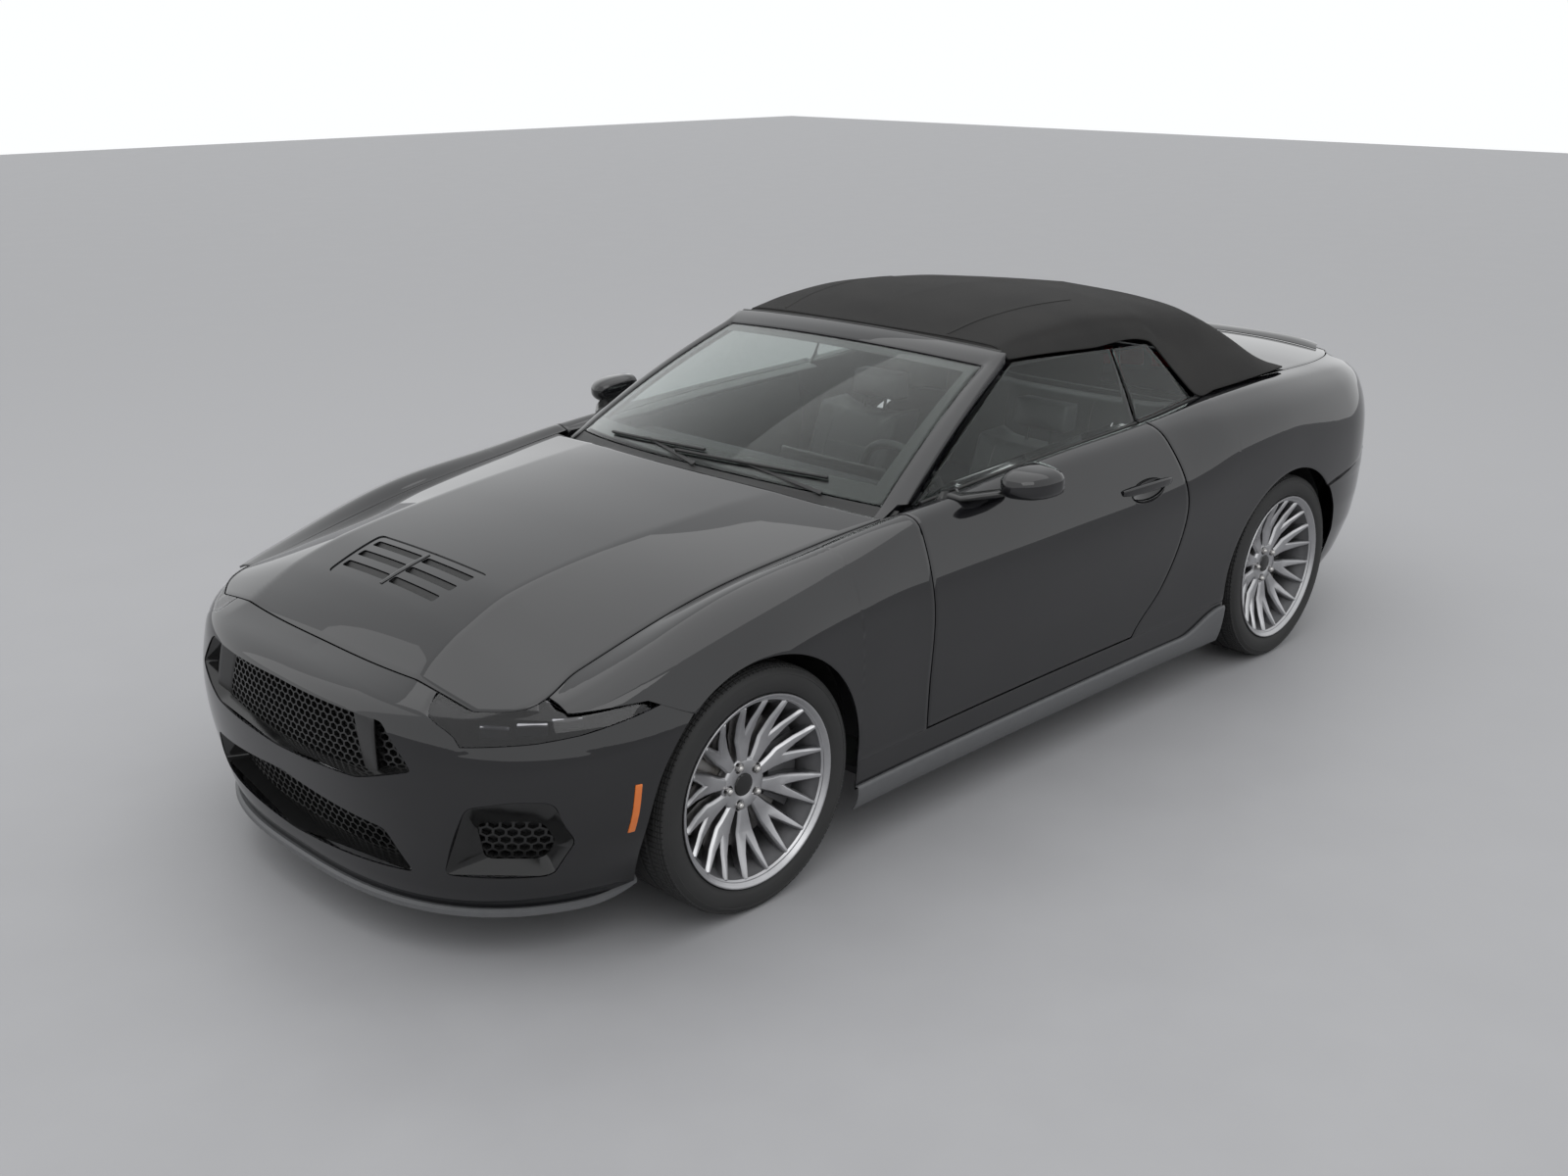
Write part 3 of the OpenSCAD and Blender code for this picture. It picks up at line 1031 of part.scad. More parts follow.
module knuckle_fl() color([0.3, 0.3, 0.31]) knuckle_body();
module knuckle_fr() color([0.3, 0.3, 0.31]) mirror([0, 1, 0]) knuckle_body();

// Rear frame: cross tube, differential, knuckles and calipers
cross_z = min(axle_z, trunk_floor_z - trunk_wall_t - arm_w - 2 * seat_gap);
diff_l = 0.05 * body_length;
diff_y = 0.14 * half_w;
diff_z1 = kick_z - floor_t - 2 * seat_gap;
module rear_subframe() color([0.1, 0.1, 0.1]) {
    block([rear_axle_x - diff_l / 2, -diff_y, axle_z - 1.8 * knuckle_w], [rear_axle_x + diff_l / 2,
        diff_y, diff_z1 + seat_gap]);
    both_sides() {
        translate([rear_axle_x, 0, cross_z])
            rod_y(arm_w, diff_y - seat_gap, rear_track / 2 + knuckle_in + seat_gap);
        translate([rear_axle_x, rear_track / 2, axle_z]) {
            block([-knuckle_w, knuckle_in, -2 * knuckle_w], [knuckle_w, knuckle_out, 2 * knuckle_w]);
            hub_shape(0);
        }
    }
}

// Wheels, in their own frame: y points outward and 0 is the tyre's middle
lip_r = flange_d / 2;
tyre_r = tyre_d / 2;
rim_w = tyre_w / 2;
bead_r = lip_r - 17;
well_r = lip_r - 30;
wall_r = 9;
hub_r = 76;
bore_r = 35.25;
pcd_r = 57.15;
lug_r = 7.5;
hub_face = 38;
hub_front = 72;
cap_r = 33;
lug_count = 5;
module turned(points) rotate([90, 0, 0]) mirror([0, 0, 1]) rotate_extrude($fn = 96) polygon(points);
// Half of the tyre's section, from the bead out to the tread: columns are radius and across.
wall_h = tyre_r - lip_r;
bead_seat = 10;
bead_step = 8;
bead_round = 1;
bulge_at = 0.42;
shoulder_drop = [0.185 * wall_h, 0.053 * wall_h];
shoulder_in = [0.0226 * tyre_w, 0.064 * tyre_w, 0.128 * tyre_w];
function tyre_half(edge) = [
    [bead_r + pin_gap, edge - bead_seat], [lip_r + pin_gap, edge - bead_step],
    [lip_r + bead_step, edge - bead_round], [lip_r + bulge_at * wall_h, rim_w],
    [tyre_r - shoulder_drop[0], rim_w - shoulder_in[0]],
    [tyre_r - shoulder_drop[1], rim_w - shoulder_in[1]], [tyre_r, rim_w - shoulder_in[2]]];
module tyre_body(edge) {
    half = tyre_half(edge);
    turned(concat([for (i = [len(half) - 1 : -1 : 0]) half[i]], [for (p = half) [p[0], -p[1]]]));
}
rim_edge = rim_w - 4;
spoke_stem_w = 30;
spoke_arm_w = 17;
fork_r = 0.50 * lip_r;
spoke_a = 360 / spoke_count / 4;
module spoke_plan() {
    polygon([[0, -spoke_stem_w / 2], [fork_r, -spoke_stem_w / 2 * 0.8], [fork_r, spoke_stem_w / 2 * 0.8],
        [0, spoke_stem_w / 2]]);
    for (s = [-1, 1]) polygon([
        [fork_r * 0.93, s * spoke_stem_w * 0.02], [fork_r * 0.93, s * spoke_stem_w * 0.4],
        [lip_r * cos(spoke_a) * 0.93, s * (lip_r * sin(spoke_a) * 0.93 + spoke_arm_w / 2)],
        [lip_r * cos(spoke_a) * 0.93, s * (lip_r * sin(spoke_a) * 0.93 - spoke_arm_w / 2)]]);
}
// The barrel's section, round its outside and back along its inside: columns are radius and across.
lip_proud = 2;
lip_wall = 6;
seat_in = 9;
lip_depth = 12;
back_depth = [14, 30];
bead_depth = 34;
well_depth = 52;
cap_front = hub_front - 4;
cap_step = 4;
hub_top = hub_front - 6;
cap_t = 16;
spoke_root = 6;
function barrel() = [
    [lip_r, rim_edge + lip_proud], [lip_r, rim_edge - lip_wall], [bead_r, rim_edge - seat_in],
    [bead_r, rim_edge - bead_depth], [well_r, rim_edge - well_depth], [well_r, well_depth - rim_edge],
    [bead_r, bead_depth - rim_edge], [bead_r, seat_in - rim_edge], [lip_r, lip_wall - rim_edge],
    [lip_r, -rim_edge], [lip_r - lip_wall, -rim_edge], [bead_r - wall_r, back_depth[0] - rim_edge],
    [bead_r - wall_r, back_depth[1] - rim_edge], [well_r - wall_r, well_depth - rim_edge],
    [well_r - wall_r, rim_edge - well_depth], [bead_r - wall_r, rim_edge - bead_depth],
    [bead_r - wall_r, rim_edge - lip_depth], [lip_r - lip_wall, rim_edge + lip_proud]];
module rim_body() {
    difference() {
        union() {
            turned(barrel());
            turned([[0, cap_front], [cap_r, cap_front], [cap_r, cap_front - cap_step], [hub_r, hub_top],
                [hub_r, hub_face], [bore_r, hub_face], [bore_r, hub_front - cap_t], [0,
                    hub_front - cap_t]]);
            intersection() {
                rotate([90, 0, 0]) mirror([0, 0, 1]) linear_extrude(rim_w) for (k = [0 : spoke_count - 1])
                    rotate(k * 360 / spoke_count) spoke_plan();
                turned([[hub_r - spoke_root, hub_top], [0.50 * lip_r, cap_front], [bead_r - wall_r / 2,
                    rim_edge - lip_depth],
                    [bead_r - wall_r / 2, rim_edge - bead_depth], [0.62 * lip_r, hub_face + pocket_floor],
                    [hub_r - spoke_root, hub_face]]);
            }
        }
        at_lugs() {
            rod_y(pocket_r, hub_face + pocket_floor, hub_front + overrun);
            rod_y(lug_r, hub_face - overrun, hub_front + overrun);
        }
    }
}
module at_lugs() for (k = [0 : lug_count - 1]) rotate([0, k * 360 / lug_count, 0]) translate([pcd_r, 0,
    0]) children();
pocket_r = 14;
pocket_floor = 14;
hat_r = 82;
module disc_body() difference() {
    turned([[spindle_r + pin_gap, hub_face - seat_gap], [hat_r, hub_face - seat_gap], [hat_r,
        disc_in + disc_t],
        [disc_r, disc_in + disc_t], [disc_r, disc_in], [hat_r - hat_t, disc_in], [hat_r - hat_t,
            hub_face - hat_t],
        [spindle_r + pin_gap, hub_face - hat_t]]);
    at_lugs() rod_y(lug_r, hub_face - 2 * hat_t, hub_face + overrun);
}
hat_t = 9;
module at_front() translate([front_axle_x, front_track / 2, axle_z]) children();
module at_rear() translate([rear_axle_x, rear_track / 2, axle_z]) children();
module tyre_fl() color([0.03, 0.03, 0.03]) at_front() tyre_body(rim_edge);
module tyre_fr() color([0.03, 0.03, 0.03]) mirror([0, 1, 0]) at_front() tyre_body(rim_edge);
module tyre_rl() color([0.03, 0.03, 0.03]) at_rear() tyre_body(rim_edge);
module tyre_rr() color([0.03, 0.03, 0.03]) mirror([0, 1, 0]) at_rear() tyre_body(rim_edge);
module rim_fl() color([0.55, 0.55, 0.56]) at_front() rim_body();
module rim_fr() color([0.55, 0.55, 0.56]) mirror([0, 1, 0]) at_front() rim_body();
module rim_rl() color([0.55, 0.55, 0.56]) at_rear() rim_body();
module rim_rr() color([0.55, 0.55, 0.56]) mirror([0, 1, 0]) at_rear() rim_body();
module disc_fl() color([0.4, 0.4, 0.4]) at_front() disc_body();
module disc_fr() color([0.4, 0.4, 0.4]) mirror([0, 1, 0]) at_front() disc_body();
module disc_rl() color([0.4, 0.4, 0.4]) at_rear() disc_body();
module disc_rr() color([0.4, 0.4, 0.4]) mirror([0, 1, 0]) at_rear() disc_body();

// Dashboard, steering wheel and console
dash_y = 0.70 * half_w;
dash_front_x = floor_front_x;
dash_clear = 40;
module dashboard() color([0.15, 0.15, 0.16]) difference() {
    dash_body();
    at_wheel() cylinder(r = column_r + seat_gap, h = column_l + overrun);
}
module at_wheel() translate([wheel_x, wheel_y, wheel_z]) rotate([0, wheel_tilt, 0]) children();
module dash_body() prism_y([
    [dash_front_x, 0.44 * body_height], [dash_front_x, 0.575 * body_height],
    [hood_hinge_x - dash_clear, 0.590 * body_height], [hood_hinge_x - dash_clear, 0.638 * body_height],
    [0.165 * body_length, 0.648 * body_height],
    [0.108 * body_length, 0.655 * body_height], [0.096 * body_length, 0.63 * body_height],
    [0.094 * body_length, 0.56 * body_height], [0.112 * body_length, 0.49 * body_height],
    [0.14 * body_length, 0.44 * body_height]], -dash_y, dash_y);
wheel_y = 0.385 * half_w;
wheel_x = 0.067 * body_length;
wheel_z = 0.602 * body_height;
wheel_tilt = 112;
wheel_r = 182;
wheel_tube_r = 16;
column_r = 30;
column_l = 0.036 * body_length;
module steering_wheel() color([0.06, 0.06, 0.06]) at_wheel() {
    rotate_extrude() translate([wheel_r - wheel_tube_r, 0]) circle(r = wheel_tube_r, $fn = 24);
    translate([0, 0, -wheel_tube_r]) cylinder(r = 0.34 * wheel_r, h = 1.8 * wheel_tube_r);
    for (a = [90, 270, 180]) rotate(a + 180)
        translate([0, -wheel_tube_r, -wheel_tube_r / 2]) cube([wheel_r - wheel_tube_r, 2 * wheel_tube_r,
            wheel_tube_r]);
    translate([0, 0, wheel_tube_r / 2]) cylinder(r = column_r, h = column_l);
}
console_x0 = -0.085 * body_length;
console_x1 = 0.111 * body_length;
console_h = 0.13 * body_height;
console_w = 0.24 * half_w;
knob_r = 24;
shifter_h = 84;
module center_console() color([0.12, 0.12, 0.12]) {
    block([console_x0, -console_w / 2, tunnel_top_z + seat_gap], [console_x1, console_w / 2,
        tunnel_top_z + console_h]);
    translate([0.045 * body_length, 0, tunnel_top_z + console_h]) {
        cylinder(r1 = 0.6 * knob_r, r2 = 0.4 * knob_r, h = shifter_h);
        translate([0, 0, shifter_h]) sphere(r = knob_r);
    }
}

// Seats
seat_y = 0.405 * half_w;
seat_w = 0.47 * half_w;
seat_x = -0.030 * body_length;
seat_l = 0.105 * body_length;
cushion_z = 0.225 * body_height;
cushion_h = 0.115 * body_height;
back_h = 0.43 * body_height;
back_t = 0.021 * body_length;
back_lean = 0.050 * body_length;
pad_r = 38;
module pad(x0, y0, z0, x1, y1, z1, lean = 0) hull() {
    for (x = [x0 + pad_r, x1 - pad_r]) for (y = [y0 + pad_r, y1 - pad_r]) {
        translate([x, y, z0 + pad_r]) sphere(r = pad_r, $fn = 16);
        translate([x - lean, y, z1 - pad_r]) sphere(r = pad_r, $fn = 16);
    }
}
module seat_at(y) {
    floor_up_z = floor_z + floor_t;
    block([seat_x, y - seat_w * 0.36, floor_up_z + seat_gap], [seat_x + seat_l, y + seat_w * 0.36,
        cushion_z + pad_r]);
    pad(seat_x - pad_r, y - seat_w / 2, cushion_z, seat_x + seat_l + pad_r, y + seat_w / 2,
        cushion_z + cushion_h);
    pad(seat_x - 2.2 * pad_r, y - seat_w / 2, cushion_z + cushion_h * 0.4, seat_x + back_t, y + seat_w / 2,
        cushion_z + back_h, back_lean);
    pad(seat_x - back_lean - 2 * pad_r, y - seat_w * 0.28, cushion_z + back_h - pad_r,
        seat_x - back_lean + pad_r,
        y + seat_w * 0.28, cushion_z + back_h + 3.2 * pad_r, pad_r / 2);
}
module front_seats() color([0.35, 0.35, 0.36]) {
    seat_at(seat_y);
    seat_at(-seat_y);
}
rear_seat_w = 1.18 * half_w;
module rear_seat() color([0.35, 0.35, 0.36]) {
    block([kick_rear_x + 4 * pad_r, -0.4 * rear_seat_w, kick_z + seat_gap], [floor_rear_x - 2 * pad_r,
        0.4 * rear_seat_w, kick_z + 2 * pad_r]);
    pad(kick_rear_x + 2 * pad_r, -rear_seat_w / 2, kick_z + 2 * seat_gap, floor_rear_x + pad_r,
        rear_seat_w / 2, kick_z + 0.095 * body_height);
    pad(kick_rear_x + 2.2 * pad_r, -rear_seat_w / 2, kick_z + 0.06 * body_height,
        kick_rear_x + 5.2 * pad_r, rear_seat_w / 2,
        0.685 * body_height, 2 * pad_r);
}

// Engine, radiator, driveline and exhaust
engine_x0 = 0.222 * body_length;
engine_x1 = 0.352 * body_length;
engine_y = 0.30 * half_w;
engine_z1 = 0.575 * body_height;
module engine_block() color([0.25, 0.25, 0.26])
    block([engine_x0, -engine_y, rail_z0 + seat_gap], [engine_x1, engine_y, engine_z1]);
radiator_t = 50;
radiator_z1 = 0.47 * body_height;
module radiator() color([0.1, 0.1, 0.1])
    block([rail_front_x - cross_l / 2 - radiator_t / 2, -rail_y1, rail_z1 + seat_gap],
        [rail_front_x - cross_l / 2 + radiator_t / 2, rail_y1, radiator_z1]);
shaft_r = 36;
shaft_z = 0.195 * body_height;
gearbox_y = 0.12 * half_w;
gearbox_z1 = 0.240 * body_height;
gearbox_l = 0.055 * body_length;
module driveline() color([0.2, 0.2, 0.2]) {
    translate([rear_axle_x + diff_l / 2 + seat_gap, 0, shaft_z]) rotate([0, 90, 0])
        cylinder(r = shaft_r, h = engine_x0 - gearbox_l - rear_axle_x - diff_l / 2);
    block([engine_x0 - gearbox_l, -gearbox_y / 2, shaft_z - shaft_r * 1.3], [engine_x0 - seat_gap,
        gearbox_y / 2, gearbox_z1]);
    block([engine_x0 - gearbox_l / 8 - seat_gap, -gearbox_y / 2, shaft_z], [engine_x0 - seat_gap,
        gearbox_y / 2, rail_z1]);
}
muffler_x0 = -0.425 * body_length;
muffler_x1 = -0.352 * body_length;
muffler_y0 = 0.33 * half_w;
muffler_y1 = 0.585 * half_w;
muffler_z0 = 0.185 * body_height;
tip_proud = 14;
tip_end_x = tail_x_at(tip_y, tip_z) - tip_proud;
module exhaust() color([0.5, 0.5, 0.5]) both_sides() {
    block([muffler_x0, muffler_y0, muffler_z0], [muffler_x1, muffler_y1,
        trunk_floor_z - trunk_wall_t - seat_gap]);
    difference() {
        translate([muffler_x0 + 1, tip_y, tip_z]) rotate([0, -90, 0]) cylinder(r = tip_r,
            h = muffler_x0 - tip_end_x);
        translate([muffler_x0 - shut_gap, tip_y, tip_z]) rotate([0, -90, 0]) cylinder(r = tip_r - 4,
            h = body_length);
    }
}

// Mirrors on the doors
mirror_x0 = 0.078 * body_length;
mirror_x1 = 0.116 * body_length;
mirror_y0 = 0.935 * half_w;
mirror_y1 = 1.085 * half_w;
mirror_z0 = 0.672 * body_height;
mirror_z1 = 0.752 * body_height;
mirror_round = 34;
mirror_arm_r = 16;
mirror_foot_x = 0.128 * body_length;
module mirror_body() {
    hull() {
        for (z = [mirror_z0 + mirror_round, mirror_z1 - mirror_round]) {
            translate([mirror_x1 - mirror_round, mirror_y0 + mirror_round, z]) sphere(r = mirror_round,
                $fn = 16);
            translate([mirror_x1 - mirror_round * 1.6, mirror_y1 - mirror_round, z + (mirror_z0 - z)
                * 0.1]) sphere(r = mirror_round, $fn = 16);
        }
        for (z = [mirror_z0 + mirror_round / 2, mirror_z1 - mirror_round / 2])
            for (y = [mirror_y0 + mirror_round / 2, mirror_y1 - mirror_round / 2])
                translate([mirror_x0, y, z]) rotate([0, 90, 0]) cylinder(r = mirror_round / 2,
                    h = mirror_round / 2, $fn = 20);
    }
    foot = belt_at(mirror_foot_x);
    hull() {
        translate([mirror_x1 - 1.4 * mirror_round, mirror_y0 + mirror_round / 2, lerp(mirror_z0,
            mirror_z1, 0.4)]) sphere(r = mirror_arm_r, $fn = 16);
        translate([mirror_foot_x, foot[1] + 3 * glass_inset, foot[2] + 1.7 * mirror_arm_r])
            sphere(r = mirror_arm_r, $fn = 16);
    }
    translate([mirror_foot_x, mirror_foot_y, mirror_seat_z + seat_gap])
        cylinder(r = mirror_arm_r, h = mirror_sink + 2 * mirror_arm_r, $fn = 32);
}
mirror_sink = 14;
mirror_foot_y = belt_at(mirror_foot_x)[1] + 3 * glass_inset;
mirror_seat_z = edge_z(mirror_foot_x) - mirror_sink;
module mirror_l() color([0.05, 0.05, 0.06]) mirror_body();
module mirror_r() color([0.05, 0.05, 0.06]) mirror([0, 1, 0]) mirror_body();

// Wipers resting on the glass
wiper_t = 10;
wiper_h = 12;
wiper_us = [[-0.62, 0.10], [-0.05, 0.74]];
wiper_v = [0.035, 0.075];
wiper_cells = 6;
function wiper_at(w, k, j, lift) =
    ws_at(lerp(w[0], w[1], k / wiper_cells), lerp(wiper_v[0], wiper_v[1], k / wiper_cells) + 0.02 * j,
        -lift);
function wiper_grid(w, lift) = [for (k = [0 : wiper_cells]) [for (j = [1, 0]) wiper_at(w, k, j, lift)]];
module wipers() color([0.02, 0.02, 0.02]) for (w = wiper_us)
    shell(wiper_grid(w, wiper_h), wiper_grid(w, wiper_lift), true);
wiper_lift = 0.2;

floor_pan();
firewall();
trunk_tub();
wheel_liners();
front_fenders();
rear_quarters();
front_bumper();
upper_grille();
lower_grille();
front_splitter();
headlamps();
rear_bumper();
tail_lamps();
soft_top();
rear_window();
windshield_frame();
windshield();
wipers();
side_skirts();
quarter_windows();
dashboard();
steering_wheel();
center_console();
front_seats();
rear_seat();
engine_block();
radiator();
driveline();
front_subframe();
rear_subframe();
exhaust();
hood();
hood_vent();
deck_lid();
rear_spoiler();
door_l();
door_glass_l();
mirror_l();
handle_l();
door_r();
door_glass_r();
mirror_r();
handle_r();
knuckle_fl();
knuckle_fr();
tyre_fl();
rim_fl();
disc_fl();
tyre_fr();
rim_fr();
disc_fr();
tyre_rl();
rim_rl();
disc_rl();
tyre_rr();
rim_rr();
disc_rr();
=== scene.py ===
# %% [markdown]
# # A black two-door convertible, built over its CAD frame
# The CAD model gives every part its place, its joints and its size. A painted car body is
# pressed from thin sheet in large dies, so its panels are smooth everywhere except at
# their shut lines. This lesson lays fine panels on the same tables of sizes, one for each
# CAD part, and then adds what a CAD source leaves out: mesh, tread, nuts, seams and cloth.

# %% Load the frame
import json
import math
import bpy
from mathutils import Matrix, Vector


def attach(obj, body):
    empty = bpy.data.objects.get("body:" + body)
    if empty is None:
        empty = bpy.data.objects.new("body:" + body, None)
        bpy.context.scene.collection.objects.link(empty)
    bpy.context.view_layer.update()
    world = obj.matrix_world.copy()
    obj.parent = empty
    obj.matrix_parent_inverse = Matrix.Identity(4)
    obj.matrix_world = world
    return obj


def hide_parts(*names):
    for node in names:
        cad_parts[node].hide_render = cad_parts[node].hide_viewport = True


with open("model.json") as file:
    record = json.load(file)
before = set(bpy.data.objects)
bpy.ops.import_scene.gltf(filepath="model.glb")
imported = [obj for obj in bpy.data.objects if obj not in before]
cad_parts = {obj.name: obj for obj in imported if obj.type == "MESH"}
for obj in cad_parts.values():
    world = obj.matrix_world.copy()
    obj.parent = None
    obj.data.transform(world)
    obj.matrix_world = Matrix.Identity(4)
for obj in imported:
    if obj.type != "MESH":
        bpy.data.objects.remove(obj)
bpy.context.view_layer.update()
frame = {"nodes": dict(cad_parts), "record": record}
nodes = frame["nodes"]

# %% [markdown]
# ## Sizes
# The lengths below are those of the CAD source, in metres. x points forward, y to the
# car's left and z up, and the origin lies on the floor midway along the car.

# %% Sizes
L, HALF_W, H = 4.811, 0.9575, 1.395
FRONT_X, REAR_X, AXLE_Z = 1.5255, -1.1945, 0.347
FRONT_Y, REAR_Y = 0.795, 0.806
ARCH_R = 0.384
GAP, SEAM = 0.005, 0.0006  # an open shut line, and a closed one
print("body", L, "m long,", 2 * HALF_W, "m wide,", H, "m high")

# %% [markdown]
# ## The body's surface tables
# Each row is a cross-section of the body side: its place along the length, then six
# points across and up from the shut line of the hood down to the sill. Curves through
# the rows give a surface without steps, as a clay model smoothed with long battens. The
# same could be sculpted, but a table keeps the panels on the CAD part's own sizes. All
# numbers are shares: of the length along, of half the width across, of the height up.

# %% Tables
# along, then across and up of six points
SIDE = [
    [-0.480, 0.480, 0.697, 0.522, 0.685, 0.554, 0.645, 0.574, 0.566, 0.569, 0.373, 0.533, 0.201],
    [-0.428, 0.627, 0.712, 0.721, 0.697, 0.778, 0.660, 0.8125, 0.566, 0.807, 0.373, 0.752, 0.186],
    [-0.3845, 0.705, 0.723, 0.809, 0.711, 0.888, 0.667, 0.934, 0.566, 0.929, 0.366, 0.888, 0.179],
    [-0.343, 0.747, 0.731, 0.840, 0.720, 0.934, 0.674, 0.986, 0.566, 0.980, 0.358, 0.940, 0.172],
    [-0.248, 0.778, 0.742, 0.867, 0.735, 0.966, 0.681, 1.000, 0.573, 0.997, 0.358, 0.971, 0.158],
    [-0.166, 0.799, 0.738, 0.865, 0.734, 0.952, 0.685, 0.994, 0.563, 0.973, 0.323, 0.961, 0.151],
    [-0.096, 0.809, 0.720, 0.856, 0.723, 0.924, 0.681, 0.984, 0.534, 0.956, 0.323, 0.950, 0.143],
    [ 0.042, 0.813, 0.701, 0.851, 0.706, 0.909, 0.667, 0.971, 0.502, 0.945, 0.308, 0.945, 0.143],
    [ 0.170, 0.792, 0.667, 0.851, 0.675, 0.909, 0.642, 0.966, 0.495, 0.952, 0.301, 0.945, 0.143],
    [ 0.229, 0.768, 0.647, 0.844, 0.654, 0.921, 0.618, 0.975, 0.502, 0.968, 0.287, 0.948, 0.143],
    [ 0.317, 0.747, 0.609, 0.836, 0.620, 0.935, 0.582, 0.995, 0.495, 0.990, 0.323, 0.956, 0.143],
    [ 0.405, 0.747, 0.539, 0.836, 0.532, 0.904, 0.498, 0.966, 0.401, 0.966, 0.251, 0.924, 0.129],
    [ 0.441, 0.760, 0.505, 0.799, 0.498, 0.836, 0.480, 0.867, 0.401, 0.867, 0.251, 0.836, 0.129],
    [ 0.470, 0.560, 0.490, 0.680, 0.485, 0.710, 0.470, 0.740, 0.401, 0.740, 0.251, 0.720, 0.129],
]
# along, middle up, crease across, crease up
HOOD = [
    [0.155, 0.722, 0.458, 0.703], [0.202, 0.711, 0.444, 0.695], [0.249, 0.697, 0.428, 0.685],
    [0.322, 0.672, 0.407, 0.663], [0.395, 0.634, 0.407, 0.625], [0.430, 0.599, 0.428, 0.584],
    [0.450, 0.562, 0.433, 0.549], [0.467, 0.517, 0.439, 0.512],
]
# along, middle up
DECK = [[-0.480, 0.706], [-0.457, 0.720], [-0.374, 0.741], [-0.290, 0.749]]
# up, foremost point along, roundness, share of the side's width
NOSE = [
    [0.090, 0.489, 2.75, 0.870], [0.110, 0.491, 2.75, 0.890], [0.150, 0.494, 2.75, 0.932],
    [0.240, 0.497, 2.75, 0.983], [0.300, 0.499, 2.70, 1.000], [0.358, 0.500, 2.65, 1.000],
    [0.430, 0.4985, 2.55, 1.000], [0.473, 0.4955, 2.50, 1.000], [0.495, 0.489, 2.45, 1.000],
    [0.507, 0.480, 2.40, 1.000], [0.518, 0.466, 2.40, 1.000],
]
# up, rearmost point along
TAIL = [
    [0.140, -0.456], [0.180, -0.470], [0.240, -0.486], [0.320, -0.496], [0.430, -0.500],
    [0.540, -0.4985], [0.610, -0.496], [0.680, -0.490], [0.705, -0.478],
]
# up, share of the full width
TAIL_TUCK = [
    [0.150, 0.905], [0.200, 0.940], [0.300, 0.980], [0.373, 0.994], [0.450, 1.000], [1.000, 1.000],
]
# along, middle up, shoulder across and up, lower edge across and up
TOP = [
    [-0.3035, 0.7535, 0.585, 0.751, 0.759, 0.7455], [-0.2827, 0.814, 0.611, 0.792, 0.781, 0.7485],
    [-0.2536, 0.883, 0.616, 0.849, 0.794, 0.7480], [-0.2183, 0.950, 0.595, 0.905, 0.802, 0.7465],
    [-0.1871, 0.969, 0.590, 0.926, 0.804, 0.7455], [-0.1625, 0.979, 0.585, 0.939, 0.802, 0.7445],
    [-0.1480, 0.985, 0.585, 0.946, 0.748, 0.8060], [-0.1290, 0.991, 0.580, 0.956, 0.686, 0.8860],
    [-0.0620, 1.000, 0.564, 0.969, 0.670, 0.8965], [-0.0100, 0.984, 0.556, 0.956, 0.648, 0.9035],
    [0.0240, 0.950, 0.545, 0.936, 0.628, 0.9040],
]
# along, across and up of the side glass's upper edge
GLASS_TOP = [
    [-0.170, 0.692, 0.873], [-0.129, 0.684, 0.880], [-0.062, 0.668, 0.890],
    [-0.010, 0.646, 0.897], [0.024, 0.626, 0.898],
]
# up, how far the door's rear edge leans forward
DOOR_EDGE = [
    [0.200, 0.0500], [0.244, 0.0395], [0.323, 0.0133], [0.430, -0.0010], [0.560, -0.0040],
    [0.740, 0.0145],
]
# share of the way round the nose, up
NOSE_EDGE = [
    [0.00, 0.514], [0.25, 0.508], [0.45, 0.495], [0.50, 0.4905], [0.565, 0.445], [0.70, 0.455],
    [0.85, 0.474], [1.00, 0.492],
]
LAMP_EDGE = [[0.52, 0.486], [0.65, 0.4915], [0.80, 0.4935], [1.00, 0.4935]]
print("side rows", len(SIDE), "top rows", len(TOP))


# %% Curves through a table
def lerp(a, b, s):
    return a + (b - a) * s


def span_of(table, x):
    """The row before x, in a table whose first column rises."""
    for i in range(len(table) - 2):
        if x < table[i + 1][0]:
            return i
    return len(table) - 2


def slope(table, i):
    a, b = table[max(i - 1, 0)], table[min(i + 1, len(table) - 1)]
    return [(q - p) / (b[0] - a[0]) for p, q in zip(a, b)]


def row_at(table, place):
    """The table's row at any place, on a smooth curve through the rows it holds."""
    x = min(max(place, table[0][0]), table[-1][0])
    i = span_of(table, x)
    a, b, ma, mb = table[i], table[i + 1], slope(table, i), slope(table, i + 1)
    h = b[0] - a[0]
    s = (x - a[0]) / h
    k0, k1 = 2 * s**3 - 3 * s * s + 1, (s**3 - 2 * s * s + s) * h
    k2, k3 = 3 * s * s - 2 * s**3, (s**3 - s * s) * h
    return [p * k0 + m * k1 + q * k2 + n * k3 for p, q, m, n in zip(a, b, ma, mb)]


def straight_at(table, x):
    i = span_of(table, x)
    a, b = table[i], table[i + 1]
    s = min(max((x - a[0]) / (b[0] - a[0]), 0), 1)
    return [lerp(p, q, s) for p, q in zip(a, b)]


print("deck height", round(row_at(DECK, -0.4)[1] * H, 3))


# %% Lines through points
def spline(points, per_span=9):
    """A smooth line through points, as Vectors."""
    n = len(points) - 1
    line = []
    for i in range(n):
        p0, p1, p2, p3 = points[max(i - 1, 0)], points[i], points[i + 1], points[min(i + 2, n)]
        for k in range(per_span):
            s = k / per_span
            line.append((2 * p1 + (p2 - p0) * s + (2 * p0 - 5 * p1 + 4 * p2 - p3) * s * s
                         + (3 * p1 - p0 - 3 * p2 + p3) * s**3) / 2)
    return line + [points[n].copy()]


